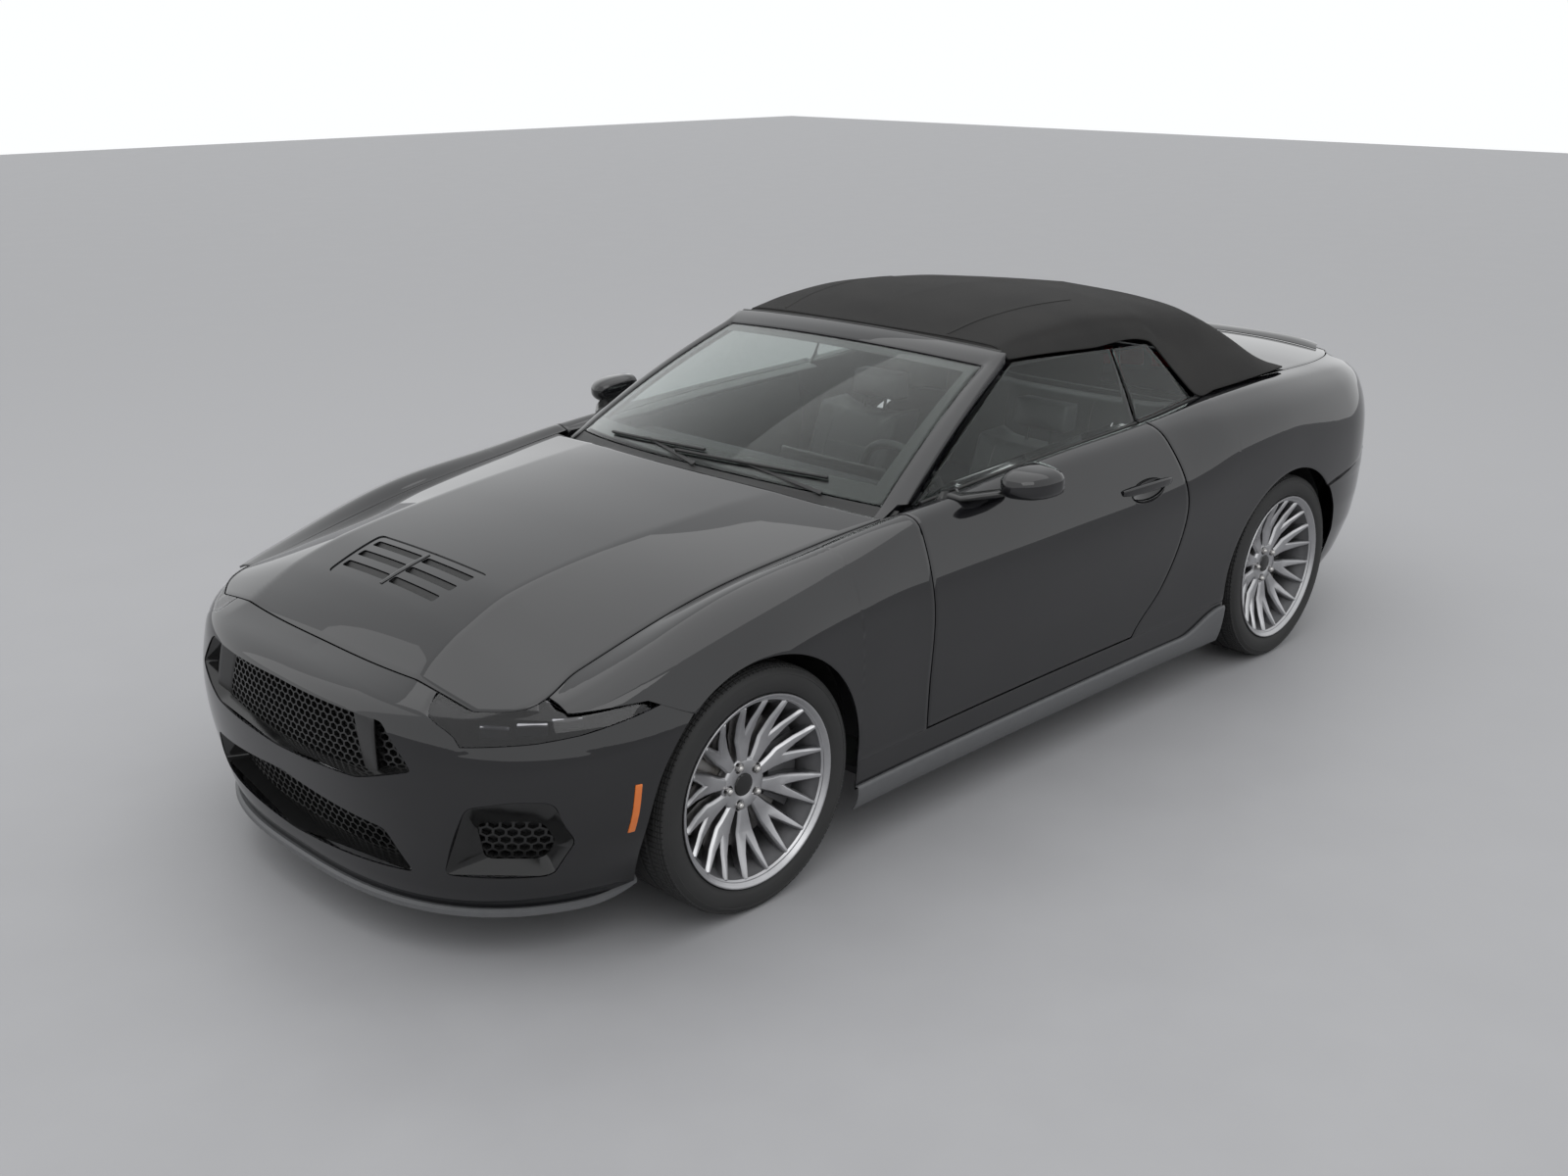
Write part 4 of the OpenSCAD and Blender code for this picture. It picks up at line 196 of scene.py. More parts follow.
def clip_low(line, z):
    """The line's upper part, down to height z."""
    for k in range(1, len(line)):
        if line[k].y <= z:
            a, b = line[k - 1], line[k]
            return line[:k] + [a.lerp(b, (a.y - z) / (a.y - b.y))]
    return line


def along(line, share):
    """The point at a share of the line's length."""
    runs = [(q - p).length for p, q in zip(line, line[1:])]
    left = share * sum(runs)
    for p, q, run in zip(line, line[1:], runs):
        if left <= run:
            return p.lerp(q, left / max(run, 1e-9))
        left -= run
    return line[-1].copy()


print("line points", len(spline([Vector((0, 1)), Vector((1, 1)), Vector((2, 0))])))


# %% Body side, hood and deck surfaces
side_cache = {}


def side_line(x):
    key = round(x, 5)
    if key not in side_cache:
        row = row_at(SIDE, x / L)
        keys = [Vector((row[1 + 2 * k] * HALF_W, row[2 + 2 * k] * H)) for k in range(6)]
        side_cache[key] = spline(keys)
    return side_cache[key]


def edge(x):
    """Across and up of the shut line at the body side's upper edge."""
    return side_line(x)[0]


def side_y(x, z):
    return clip_low(side_line(x), z)[-1].x


def side_point(x, low, share):
    """A point of the body side between its upper edge and height low."""
    p = along(clip_low(side_line(x), low), share**1.3)
    return Vector((x, p.x, p.y))


def door_shift(z):
    return row_at(DOOR_EDGE, z / H)[1] * L


def hood_z(x, y):
    row = row_at(HOOD, x / L)
    mid, cy, cz = row[1] * H, row[2] * HALF_W, row[3] * H
    rim = edge(x)
    if abs(y) <= cy:
        return lerp(mid, cz, (abs(y) / cy) ** 2)
    s = (abs(y) - cy) / max(rim.x - cy, 0.001)
    return lerp(cz, rim.y, s) + 0.008 * s * (1 - s)


HOOD_REAR, HOOD_FRONT = 0.215 * L, 0.466 * L


def hood_point(s, c):
    x = lerp(HOOD_REAR - 0.0345 * L * c * c, HOOD_FRONT - 0.008 * L * abs(c) ** 3, s)
    y = c * (edge(x).x - GAP)
    return Vector((x, y, hood_z(x, y)))


DECK_FRONT, DECK_REAR = -0.3045 * L, -0.4755 * L
DECK_FRONT_BOW = 0.002 * L


def deck_point(s, c):
    x = lerp(DECK_REAR + 0.022 * L * c**4, DECK_FRONT - DECK_FRONT_BOW * (1 - c * c) - GAP, s)
    rim = edge(x)
    y = c * (rim.x - GAP)
    mid = row_at(DECK, x / L)[1] * H
    return Vector((x, y, lerp(mid, rim.y, (abs(y) / rim.x) ** 2.5)))


print("hood middle", [round(v, 3) for v in hood_point(0.5, 0)])

# %% [markdown]
# ## Working like a panel shop
# Each panel starts as a flat grid. Its vertices are laid on the surface tables, which is
# the press; it gets wall thickness inward, and its edges are rolled round by a bevel.
# Openings are cut afterwards with prisms, as a press line trims a panel. A subdivided cage
# could do it too, but its corners would drift from the shut lines.


# %% Selecting, editing and modifiers
def leave():
    bpy.ops.object.mode_set(mode="OBJECT")


def pick(*objs):
    """Selects only these objects, the last one active."""
    if bpy.context.mode != "OBJECT":
        leave()
    bpy.ops.object.select_all(action="DESELECT")
    for o in objs:
        o.select_set(True)
        bpy.context.view_layer.objects.active = o


def edit(obj):
    pick(obj)
    bpy.ops.object.mode_set(mode="EDIT")
    bpy.ops.mesh.select_all(action="SELECT")


def done(name):
    """Leaves edit mode, names the object and bakes its place into its mesh."""
    if bpy.context.mode != "OBJECT":
        leave()
    obj = bpy.context.object
    bpy.ops.object.transform_apply(location=True, rotation=True, scale=True)
    obj.name = obj.data.name = name
    return obj


def modify(obj, kind, **settings):
    """Adds a modifier and applies it."""
    pick(obj)
    mod = obj.modifiers.new(kind.lower(), kind)
    for key, value in settings.items():
        setattr(mod, key, value)
    bpy.ops.object.modifier_apply(modifier=mod.name)
    return obj


def smooth(obj, angle=38):
    pick(obj)
    bpy.ops.object.shade_smooth_by_angle(angle=math.radians(angle))
    return obj


def faces(obj):
    return len(obj.data.polygons)


def outward(obj):
    """Turns the faces of a closed shell outward."""
    edit(obj)
    bpy.ops.mesh.normals_make_consistent(inside=False)
    leave()
    return obj


print("mode", bpy.context.mode)


# %% Panels
def face_out(obj, out):
    """Turns an open sheet so that its faces look along out."""
    facing = sum((p.normal * p.area for p in obj.data.polygons), Vector())
    if facing.dot(Vector(out)) < 0:
        edit(obj)
        bpy.ops.mesh.flip_normals()
        leave()
    return obj


def bent_grid(name, nu, nv, place):
    """A flat grid whose vertices are laid where place(u, v) says, u and v from 0 to 1."""
    pick()
    bpy.ops.mesh.primitive_grid_add(x_subdivisions=nu, y_subdivisions=nv, size=2)
    obj = done(name)
    for v in obj.data.vertices:
        v.co = place((v.co.x + 1) / 2, (v.co.y + 1) / 2)
    obj.data.update()
    return obj


def rolled(obj, width, angle=55, segments=2):
    """Rolls the edges that are sharper than an angle."""
    return modify(obj, "BEVEL", width=width, segments=segments, limit_method="ANGLE",
                  angle_limit=math.radians(angle))


def sheet(name, nu, nv, place, out, wall, roll=0.002):
    """A pressed panel: a bent grid with wall thickness inward and rolled edges."""
    obj = face_out(bent_grid(name, nu, nv, place), out)
    modify(obj, "SOLIDIFY", thickness=wall, offset=-1, use_quality_normals=True)
    return smooth(rolled(obj, roll) if roll else obj)


def slab(name, nu, nv, outer, inner, out, roll=0.003):
    """A hollow box panel: an outer and an inner bent grid, bridged along their edges."""
    a = face_out(bent_grid(name, nu, nv, outer), out)
    b = face_out(bent_grid(name + "_in", nu, nv, inner), [-k for k in out])
    pick(b, a)
    bpy.ops.object.join()
    edit(a)
    bpy.ops.mesh.select_all(action="DESELECT")
    bpy.ops.mesh.select_mode(type="EDGE")
    bpy.ops.mesh.select_non_manifold()
    bpy.ops.mesh.bridge_edge_loops()
    return smooth(rolled(outward(a), roll))


# %% Trimming, copying and joining
def prism(name, outline, low, high, axis="x"):
    """A prism over an outline, from low to high along an axis: the shape of a trim die."""
    pick()
    bpy.ops.mesh.primitive_circle_add(vertices=len(outline), fill_type="NGON")
    obj = done(name)
    for v, (a, b) in zip(obj.data.vertices, outline):
        v.co = {"x": (low, a, b), "y": (a, low, b), "z": (a, b, low)}[axis]
    edit(obj)
    move = Vector({"x": (1, 0, 0), "y": (0, 1, 0), "z": (0, 0, 1)}[axis]) * (high - low)
    bpy.ops.mesh.extrude_region_move(TRANSFORM_OT_translate={"value": move})
    return outward(obj)


def cut(obj, *tools, operation="DIFFERENCE"):
    """Trims obj with each tool, which is then removed."""
    for tool in tools:
        modify(obj, "BOOLEAN", object=tool, operation=operation, solver="EXACT")
        bpy.data.objects.remove(tool)
    return obj


def other_side(obj, name):
    """A copy of a left piece on the car's right, with its own mesh."""
    pick(obj)
    bpy.ops.object.duplicate()
    bpy.ops.transform.resize(value=(1, -1, 1), center_override=(0, 0, 0))
    return outward(done(name))


def pair(left):
    """A left piece, named with an l at its end, and its twin on the right."""
    return [left, other_side(left, left.name[:-1] + "r")]


def ride(body, *objs):
    for obj in objs:
        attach(obj, body)


def ride_doors(left, right):
    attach(left, "door_left")
    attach(right, "door_right")


def join(name, *objs):
    pick(*objs)
    if len(objs) > 1:
        bpy.ops.object.join()
    return done(name)


print("meshes", len(bpy.data.meshes))


# %% Outlines and spacing
def rounded(outline, radius, steps=4):
    """An outline with each corner rounded."""
    pts = [Vector(p) for p in outline]
    result = []
    for i, p in enumerate(pts):
        a, b = pts[i - 1] - p, pts[(i + 1) % len(pts)] - p
        r = min(radius, 0.45 * a.length, 0.45 * b.length)
        start, end = p + a.normalized() * r, p + b.normalized() * r
        for k in range(steps + 1):
            s = k / steps
            result.append(tuple(start * (1 - s) ** 2 + p * 2 * s * (1 - s) + end * s * s))
    return result


def box(a0, b0, a1, b1):
    return [(a0, b0), (a1, b0), (a1, b1), (a0, b1)]


def circle(a, b, radius, count):
    turns = [math.tau * k / count for k in range(count)]
    return [(a + radius * math.cos(turn), b + radius * math.sin(turn)) for turn in turns]


def both(outline):
    """A left-half outline and its mirror image, as one outline."""
    return list(outline) + [(-a, b) for a, b in reversed(outline) if a > 1e-6]


def steps(stops, pitch):
    """Places between stops, no further apart than pitch."""
    result = [stops[0]]
    for a, b in zip(stops, stops[1:]):
        n = max(1, math.ceil(abs(b - a) / pitch - 1e-6))
        result += [lerp(a, b, k / n) for k in range(1, n + 1)]
    return result


def at(values, u):
    return values[round(u * (len(values) - 1))]


def halving(before):
    """The share from 0 to 1 at which before(share) stops being true."""
    low, high = 0.0, 1.0
    for _ in range(24):
        mid = (low + high) / 2
        low, high = (mid, high) if before(mid) else (low, mid)
    return low


print("corner points", len(rounded(box(0, 0, 1, 1), 0.1)))

# %% [markdown]
# ## Fenders, doors and rear quarters
# The sides of the body are three pressings with 5 mm shut lines. The fender ends in the
# wheel arch, the door's rear edge leans forward towards the sill, and the quarter swells
# into a haunch over the rear wheel. One skin could be cut into three. Here each is its own
# grid on one shared surface, so that its rows end at its own edges and a reflection still
# runs on from panel to panel.

# %% Fenders
DOOR_FRONT, DOOR_REAR = 0.1705 * L, -0.0965 * L
SKIRT_TOP = 0.2186 * H
FENDER_NOSE = 0.428 * L
SEAM_LOW_X, SEAM_HIGH_X, SEAM_HIGH_Z = FRONT_X + 0.62 * ARCH_R, 0.389 * L, 0.502 * H
CELL = 0.014


def arch_z(axle, x):
    return AXLE_Z + math.sqrt(max(ARCH_R**2 - (x - axle) ** 2, 0))


def arch_dx(z):
    return math.sqrt(max(ARCH_R**2 - (z - AXLE_Z) ** 2, 0))


def fender_low(x):
    if x <= FRONT_X - ARCH_R + 1e-4:
        return SKIRT_TOP
    if x <= SEAM_LOW_X:
        return arch_z(FRONT_X, x)
    low = arch_z(FRONT_X, SEAM_LOW_X)
    s = min(1, (x - SEAM_LOW_X) / (SEAM_HIGH_X - SEAM_LOW_X))
    return lerp(low, SEAM_HIGH_Z, s)


fender_xs = steps([DOOR_FRONT + GAP, FRONT_X - ARCH_R], CELL)
fender_xs += [FRONT_X - ARCH_R * math.cos(math.radians(a)) for a in range(3, 128, 3)]
fender_xs = [x for x in fender_xs if x < SEAM_LOW_X - 0.004]
fender_xs += steps([SEAM_LOW_X, SEAM_HIGH_X, FENDER_NOSE], CELL)


def fender_place(u, v):
    x = at(fender_xs, u)
    return side_point(x, fender_low(x), v)


SIDE_OUT, SKIN = (0, 1, 0.4), 0.006
fenders = pair(sheet("fender_l", len(fender_xs) - 1, 44, fender_place, SIDE_OUT, SKIN))
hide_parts("front_fenders")
ride("body", *fenders)
print("fender faces", faces(fenders[0]))

# %% Rear quarters
QUARTER_FRONT = DOOR_REAR - 1.4 * GAP
QUARTER_TAIL = -0.428 * L
QUARTER_ARCH_Z, TAIL_SEAM_Z = 0.44 * H, 0.505 * H
QUARTER_ARCH_X = REAR_X - arch_dx(QUARTER_ARCH_Z)


def quarter_low(x):
    if x >= REAR_X + ARCH_R - 1e-4:
        return SKIRT_TOP
    if x >= QUARTER_ARCH_X:
        return arch_z(REAR_X, x)
    s = (QUARTER_ARCH_X - x) / (QUARTER_ARCH_X - QUARTER_TAIL)
    return lerp(QUARTER_ARCH_Z, TAIL_SEAM_Z, s)


quarter_xs = steps([QUARTER_TAIL, QUARTER_ARCH_X], CELL)
quarter_xs += [x for x in (REAR_X - ARCH_R * math.cos(math.radians(a)) for a in range(40, 178, 3))
               if x > QUARTER_ARCH_X + 0.004]
quarter_xs += steps([REAR_X + ARCH_R, QUARTER_FRONT], CELL)


def quarter_place(u, v):
    x0 = at(quarter_xs, u)
    follow = max(0, 1 - (QUARTER_FRONT - x0) / (QUARTER_FRONT - REAR_X - ARCH_R))
    flat = side_point(x0, quarter_low(x0), v)
    if follow == 0:
        return flat
    return side_point(x0 + follow * door_shift(flat.z), quarter_low(x0), v)


quarters = pair(sheet("quarter_l", len(quarter_xs) - 1, 48, quarter_place, SIDE_OUT, SKIN))
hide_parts("rear_quarters")
ride("body", *quarters)
print("quarter faces", faces(quarters[0]))

# %% [markdown]
# ## Doors
# A door is a hollow box: an outer skin on the body's surface and an inner panel that
# carries the lock and the glass. Two grids bridged along their edges give that box with
# clean rims, where a thickened sheet would have the same depth all over. Its front edge is
# cut for the hinge straps, which stay on the body when it swings.

# %% Door surfaces
HINGE_X, HINGE_Y, LOW_HINGE, HIGH_HINGE = 0.77528, 0.899, 0.30 * H, 0.46 * H
DOOR_LOW = SKIRT_TOP + GAP
door_xs = steps([DOOR_REAR, DOOR_FRONT], CELL)
DOOR_N = len(door_xs) - 1


def door_follow(u):
    return max(0, 1 - u * 12 / 5)


def hinge_swell(p):
    """How far the skin stands out over the lower hinge, so that its strap stays covered."""
    return 0.0017 * math.exp(-((p.x - HINGE_X) / 0.16) ** 2 - ((p.z - LOW_HINGE) / 0.08) ** 2)


def door_outer(u, v):
    flat = side_point(at(door_xs, u), DOOR_LOW, v)
    if door_follow(u) == 0:
        return flat + Vector((0, hinge_swell(flat), 0))
    return side_point(flat.x + door_follow(u) * door_shift(flat.z), DOOR_LOW, v)


def door_inner(u, v):
    top = door_outer(u, 0)
    z = lerp(top.z - 0.004, DOOR_LOW + 0.004, v)
    depth = lerp(0.003, 0.079, min(1, (DOOR_FRONT - top.x) / (0.07 * L)))
    y = lerp(edge(top.x).x - depth, 0.835 * HALF_W, v)
    x = at(door_xs, u) + door_follow(u) * door_shift(z) + 0.026 * max(0, 1 - 12 * u)
    return Vector((x, y, z))


print("door from", round(DOOR_REAR, 3), "to", round(DOOR_FRONT, 3))

# %% Doors with hinge pockets
POCKET_BACK, POCKET_IN, PIN_R = 0.7598, 0.7625, 0.0064


def hinge_tools(s):
    """Pockets for the two hinge straps, with the holes for their pins."""
    tools = []
    for z, reach in ((LOW_HINGE, 0.9113), (HIGH_HINGE, 0.9134)):
        y0, y1 = sorted((s * POCKET_IN, s * reach))
        pocket = box(POCKET_BACK, y0, 0.90, y1)
        tools.append(prism("hinge_pocket", pocket, z - 0.008, z + 0.008, "z"))
        hole = circle(HINGE_X, s * HINGE_Y, PIN_R, 24)
        tools.append(prism("pin_hole", hole, z - 0.028, z + 0.028, "z"))
    return tools


GLASS_OUT = (0, 1, 0.2)
door_skin = slab("door_skin_l", DOOR_N, 44, door_outer, door_inner, GLASS_OUT)
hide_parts("door_l")
door_skins = pair(door_skin)
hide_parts("door_r")
ride_doors(*door_skins)
for skin, s in zip(door_skins, (1, -1)):
    smooth(cut(skin, *hinge_tools(s)))
print("door faces", faces(door_skins[0]))

# %% [markdown]
# ## Hood and deck lid
# The hood is a clamshell between the two fender shut lines. Its raised middle ends in
# two creases, and a sunk vent near the front lets hot air out. The deck lid is a plain
# pressing that carries a thin spoiler on its rear edge. Both are hollow boxes as the doors
# are, with grid lines on the creases, because a crease that runs between two rows of
# faces would look soft.

# %% Hood with the hole for the vent
hood_cols = steps([-1, -0.7, -0.5, 0, 0.5, 0.7, 1], 0.022)
HOOD_N = 84
LID_T, HEM = 0.024, 0.016


def hood_outer(u, v):
    return hood_point(v, at(hood_cols, u))


def hood_inner(u, v):
    p = hood_point(v, at(hood_cols, u))
    return p - Vector((HEM if v > 0.999 else 0, 0, LID_T))


hood = slab("hood_panel", len(hood_cols) - 1, HOOD_N, hood_outer, hood_inner, (0, 0, 1))
VENT_X0, VENT_X1, VENT_W = 0.392 * L, 0.432 * L, 0.545 * HALF_W


def vent_outline(gap):
    half = VENT_W / 2 - gap
    return rounded([(VENT_X0 + gap, half), (VENT_X1 - gap, 0.92 * half),
                    (VENT_X1 - gap, -0.92 * half), (VENT_X0 + gap, -half)], 0.02)


cut(hood, prism("vent_hole", vent_outline(0), 0.5, 1.2, "z"))
smooth(hood)
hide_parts("hood")
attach(hood, "hood")
print("hood faces", faces(hood))

# %% Deck lid and spoiler
deck_cols = steps([-1, 1], 0.03)


def deck_outer(u, v):
    return deck_point(v, at(deck_cols, u))


def deck_inner(u, v):
    p = deck_point(v, at(deck_cols, u))
    return p + Vector((HEM if v < 0.001 else 0, 0, -LID_T))


deck = slab("deck_panel", len(deck_cols) - 1, 50, deck_outer, deck_inner, (0, 0, 1))
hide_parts("deck_lid")
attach(deck, "deck")


def spoiler_place(u, v):
    """The blade's outline from its front foot over the crest to its rear lip."""
    c = 0.93 * (2 * u - 1)
    foot, lip = deck_point(0.12, c), deck_point(0.02, c)
    up = 0.0034 + 0.020 * math.sin(v * math.pi / 2) * (1 - 0.5 * abs(c) ** 6)
    p = foot.lerp(lip, v)
    return p + Vector((-0.019 * max(0, v - 0.5), 0, up))


spoiler = sheet("spoiler", 90, 10, spoiler_place, (0, 0, 1), wall=0.0028, roll=0.001)
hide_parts("rear_spoiler")
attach(spoiler, "deck")
print("deck faces", faces(deck))

# %% [markdown]
# ## Front bumper
# The bumper cover is one moulding that wraps round the nose from wheel arch to wheel
# arch. Every level of it is a rounded curve that gets fuller towards the bottom. Its
# upper edge meets the hood in the middle and makes a shelf under the headlamps. It could be
# lofted from a few curves, but a formula for any level lets the lamps, meshes and splitter
# follow the very same surface.

# %% Nose surface
NOSE_BACK, NOSE_REF, NOSE_LOW = 0.3326 * L, 0.366 * L, 0.105 * H
LAMP_T0, LAMP_T1 = 0.502, 0.970
nose_cache = {}


def round_end(length, wide, power, dx):
    return math.atan2(wide * (1 - (dx / length) ** power) ** (1 / power), dx)


def round_r(length, wide, power, a):
    return ((abs(math.cos(a)) / length) ** power + (abs(math.sin(a)) / wide) ** power) ** (-1 / power)


def nose_end(z):
    low = fender_low(SEAM_LOW_X)
    if z < low:
        return FRONT_X + arch_dx(z)
    return lerp(SEAM_LOW_X, SEAM_HIGH_X, (z - low) / (SEAM_HIGH_Z - low))


def nose_row(z):
    key = round(z, 5)
    if key not in nose_cache:
        row = row_at(NOSE, z / H)
        length, wide = row[1] * L - NOSE_BACK, side_y(NOSE_REF, z) * row[3]
        last = round_end(length, wide, row[2], nose_end(z) + SEAM - NOSE_BACK)
        nose_cache[key] = (length, wide, row[2], last)
    return nose_cache[key]


def nose_point(t, z, inset=0.0):
    length, wide, power, last = nose_row(z)
    a = t * last
    r = round_r(length - inset, wide - inset, power, a)
    return Vector((max(NOSE_BACK + r * math.cos(a), nose_end(z) + SEAM), r * math.sin(a), z))


def nose_t(y, z):
    """How far round the nose a point lies, from its place across."""
    return math.copysign(halving(lambda t: nose_point(t, z).y < abs(y)), y)


def nose_top(t):
    return straight_at(NOSE_EDGE, abs(t))[1] * H


def nose_lip(t):
    """The upper edge: the hood's front edge, or the shelf under a headlamp."""
    if abs(t) < LAMP_T0:
        q = nose_point(t, nose_top(t))
        wide = edge(hood_point(1, 1).x).x - GAP
        return hood_point(1, max(-1, min(1, q.y / wide))) + Vector((GAP, 0, -SEAM))
    return nose_point(t, nose_top(t), 0.034)


print("nose tip", [round(k, 3) for k in nose_point(0, 0.36 * H)])

# %% Bumper cover
half_ts = steps([0, 0.50, 0.507, 0.565, 1], 0.012)
nose_ts = [-t for t in reversed(half_ts[1:])] + half_ts
NOSE_N = 64


def nose_place(u, v):
    t = at(nose_ts, u)
    j = round(v * NOSE_N)
    if j <= 2:
        face = nose_point(t, nose_top(t))
        return nose_lip(t).lerp(face, j / 2)
    knee = lerp(0.42 * H, fender_low(SEAM_LOW_X), max(0, (abs(t) - 0.8) / 0.2))
    if j <= 18:
        return nose_point(t, lerp(nose_top(t), knee, (j - 2) / 16))
    return nose_point(t, lerp(knee, NOSE_LOW, (j - 18) / (NOSE_N - 18)))


AHEAD = (1, 0, 0)
bumper = sheet("bumper_cover", len(nose_ts) - 1, NOSE_N, nose_place, AHEAD, SKIN, roll=0)
print("bumper faces", faces(bumper))

# %% Openings in the nose
# across and up of each corner, from the middle outward and round
UPPER = [(0, 0.472), (0.45, 0.467), (0.558, 0.390), (0.43, 0.362), (0.37, 0.350), (0, 0.338)]
LOWER = [(0, 0.287), (0.45, 0.262), (0.515, 0.180), (0, 0.158)]
CORNER = [(0.695, 0.338), (0.79, 0.354), (0.862, 0.352), (0.884, 0.270), (0.815, 0.192),
          (0.60, 0.188)]


def opening(shares):
    return [(a * HALF_W, b * H) for a, b in shares]


upper_line = rounded(both(opening(UPPER)), 0.018)
lower_line = rounded(both(opening(LOWER)), 0.022)
corner_line = rounded(opening(CORNER), 0.022)
corner_line_r = [(-a, b) for a, b in reversed(corner_line)]
for name, line in (("upper", upper_line), ("lower", lower_line), ("corner", corner_line),
                   ("corner_r", corner_line_r)):
    cut(bumper, prism(name, line, 0.40 * L, 0.60 * L))
smooth(bumper)
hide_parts("front_bumper")
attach(bumper, "body")
print("bumper after trimming", faces(bumper))

# %% [markdown]
# ## Rear bumper
# The tail is built as the nose is: rounded levels that run forward to the quarters. Its
# upper edge meets the deck lid, and it is cut for six upright lamps and two tailpipes. The
# holes are cut through the finished sheet, which leaves true edges for the lenses to fill.

# %% Tail surface
TAIL_BACK, TAIL_POWER, TAIL_LOW, TAIL_TOP = -0.303 * L, 2.2, 0.165 * H, 0.690 * H
tail_cache = {}


def tail_end(z):
    if z < QUARTER_ARCH_Z:
        return REAR_X - arch_dx(z)
    if z < TAIL_SEAM_Z:
        s = (z - QUARTER_ARCH_Z) / (TAIL_SEAM_Z - QUARTER_ARCH_Z)
        return lerp(QUARTER_ARCH_X, QUARTER_TAIL, s)
    return QUARTER_TAIL


def tail_length(z):
    return TAIL_BACK - row_at(TAIL, z / H)[1] * L


def tail_row(z):
    key = round(z, 5)
    if key not in tail_cache:
        q = max(z, TAIL_SEAM_Z)
        d = (TAIL_BACK - QUARTER_TAIL) / tail_length(q)
        wide = side_y(QUARTER_TAIL, q) / (1 - d**TAIL_POWER) ** (1 / TAIL_POWER)
        wide *= straight_at(TAIL_TUCK, z / H)[1]
        last = round_end(tail_length(z), wide, TAIL_POWER, TAIL_BACK + SEAM - tail_end(z))
        tail_cache[key] = (tail_length(z), wide, last)
    return tail_cache[key]


def tail_point(t, z, inset=0.0):
    length, wide, last = tail_row(z)
    a = t * last
    r = round_r(length - inset, wide - inset, TAIL_POWER, a)
    return Vector((min(TAIL_BACK - r * math.cos(a), tail_end(z) - SEAM), r * math.sin(a), z))


def tail_lip(t):
    """The upper edge: along the deck lid's rear edge, then its sides."""
    k, turn = abs(t), 0.6
    if k <= turn:
        return deck_point(0, t / turn) - Vector((2.6 * GAP, 0, SEAM))
    x = lerp(deck_point(0, 1).x, QUARTER_TAIL, (k - turn) / (1 - turn)) - SEAM
    rim = edge(x)
    return Vector((x, math.copysign(rim.x + (1 - k) * 2 * GAP, t), rim.y))


print("tail end", [round(k, 3) for k in tail_point(0, 0.43 * H)])

# %% Rear cover
half_ts = steps([0, 0.6, 1], 0.012)
tail_ts = [-t for t in reversed(half_ts[1:])] + half_ts
tail_zs = steps([TAIL_TOP, TAIL_SEAM_Z, QUARTER_ARCH_Z, TAIL_LOW], CELL)
TAIL_N = len(tail_zs) + 1


def tail_place(u, v):
    t = at(tail_ts, u)
    j = round(v * TAIL_N)
    if j < 2:
        return tail_lip(t).lerp(tail_point(t, TAIL_TOP), j / 2)
    return tail_point(t, tail_zs[j - 2])


ASTERN = (-1, 0, 0)
rear_cover = sheet("rear_cover", len(tail_ts) - 1, TAIL_N, tail_place, ASTERN, SKIN, roll=0)
print("rear cover faces", faces(rear_cover))

# %% Holes for lamps and tailpipes
BAR_Z, BAR_H, BAR_W = 0.605 * H, 0.105 * H, 0.105 * HALF_W
BAR_YS = [0.36 * HALF_W, 0.50 * HALF_W, 0.63 * HALF_W]
TIP_Y, TIP_Z, TIP_R = 0.46 * HALF_W, 0.225 * H, 0.050
bars = []
for y in [s * k for s in (1, -1) for k in BAR_YS]:
    outline = box(y - BAR_W / 2, BAR_Z - BAR_H / 2, y + BAR_W / 2, BAR_Z + BAR_H / 2)
    bars.append(outline)
    cut(rear_cover, prism("lamp_hole", rounded(outline, 0.012), -0.60 * L, -0.45 * L))
for y in (TIP_Y, -TIP_Y):
    ring = circle(y, TIP_Z, TIP_R + GAP, 40)
    cut(rear_cover, prism("tip_hole", ring, -0.60 * L, -0.42 * L))
smooth(rear_cover)
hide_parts("rear_bumper")
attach(rear_cover, "body")
print("lamp holes", len(bars))

# %% [markdown]
# ## Windshield, its frame and the side glass
# The windshield is laminated glass, bowed both ways and bonded into a steel frame. A
# black ceramic band is fired onto its edge to hide the glue. The side windows are
# tempered glass without frames of their own, as on every convertible. All are thin sheets
# with two faces, because one face alone would not bend light as a pane does.

# %% Windshield frame
WS_OUT = (0.43, 0, 0.9)
WS_LOW_Y, WS_HIGH_Y = 0.722 * HALF_W, 0.600 * HALF_W


def ws_at(u, v, inset=0.0):
    """A point of the windshield, u across from -1 to 1 and v up from 0 to 1."""
    bow = u * u
    low = Vector(((0.2045 - 0.0385 * bow) * L, WS_LOW_Y * u, (0.7085 - 0.036 * bow) * H))
    high = Vector(((0.0540 - 0.0125 * bow) * L, WS_HIGH_Y * u, (0.918 - 0.0195 * bow) * H))
    bulge = 0.016 * 4 * v * (1 - v) if 0 < v < 1 else 0
    return low.lerp(high, v) + Vector((WS_OUT[0], 0.16 * u, WS_OUT[2])) * (bulge - inset)


FRAME_U, FRAME_V0, FRAME_V1 = 1.085, -0.10, 1.12
pillar = [((1, lerp(FRAME_V0, 1, k / 40)), (FRAME_U, lerp(FRAME_V0, FRAME_V1, k / 40)))
          for k in range(41)]
header = [((1 - k / 30, 1), (FRAME_U * (1 - k / 30), FRAME_V1)) for k in range(1, 60)]
frame_path = pillar + header + [((-a[0], a[1]), (-b[0], b[1])) for a, b in reversed(pillar)]


def frame_at(u, v, inset):
    a, b = at(frame_path, u)
    return ws_at(lerp(a[0], b[0], v), lerp(a[1], b[1], v), inset)


def frame_outer(u, v):
    return frame_at(u, v, -0.002 - 0.004 * math.sin(math.pi * v))


def frame_inner(u, v):
    return frame_at(u, v, 0.034)


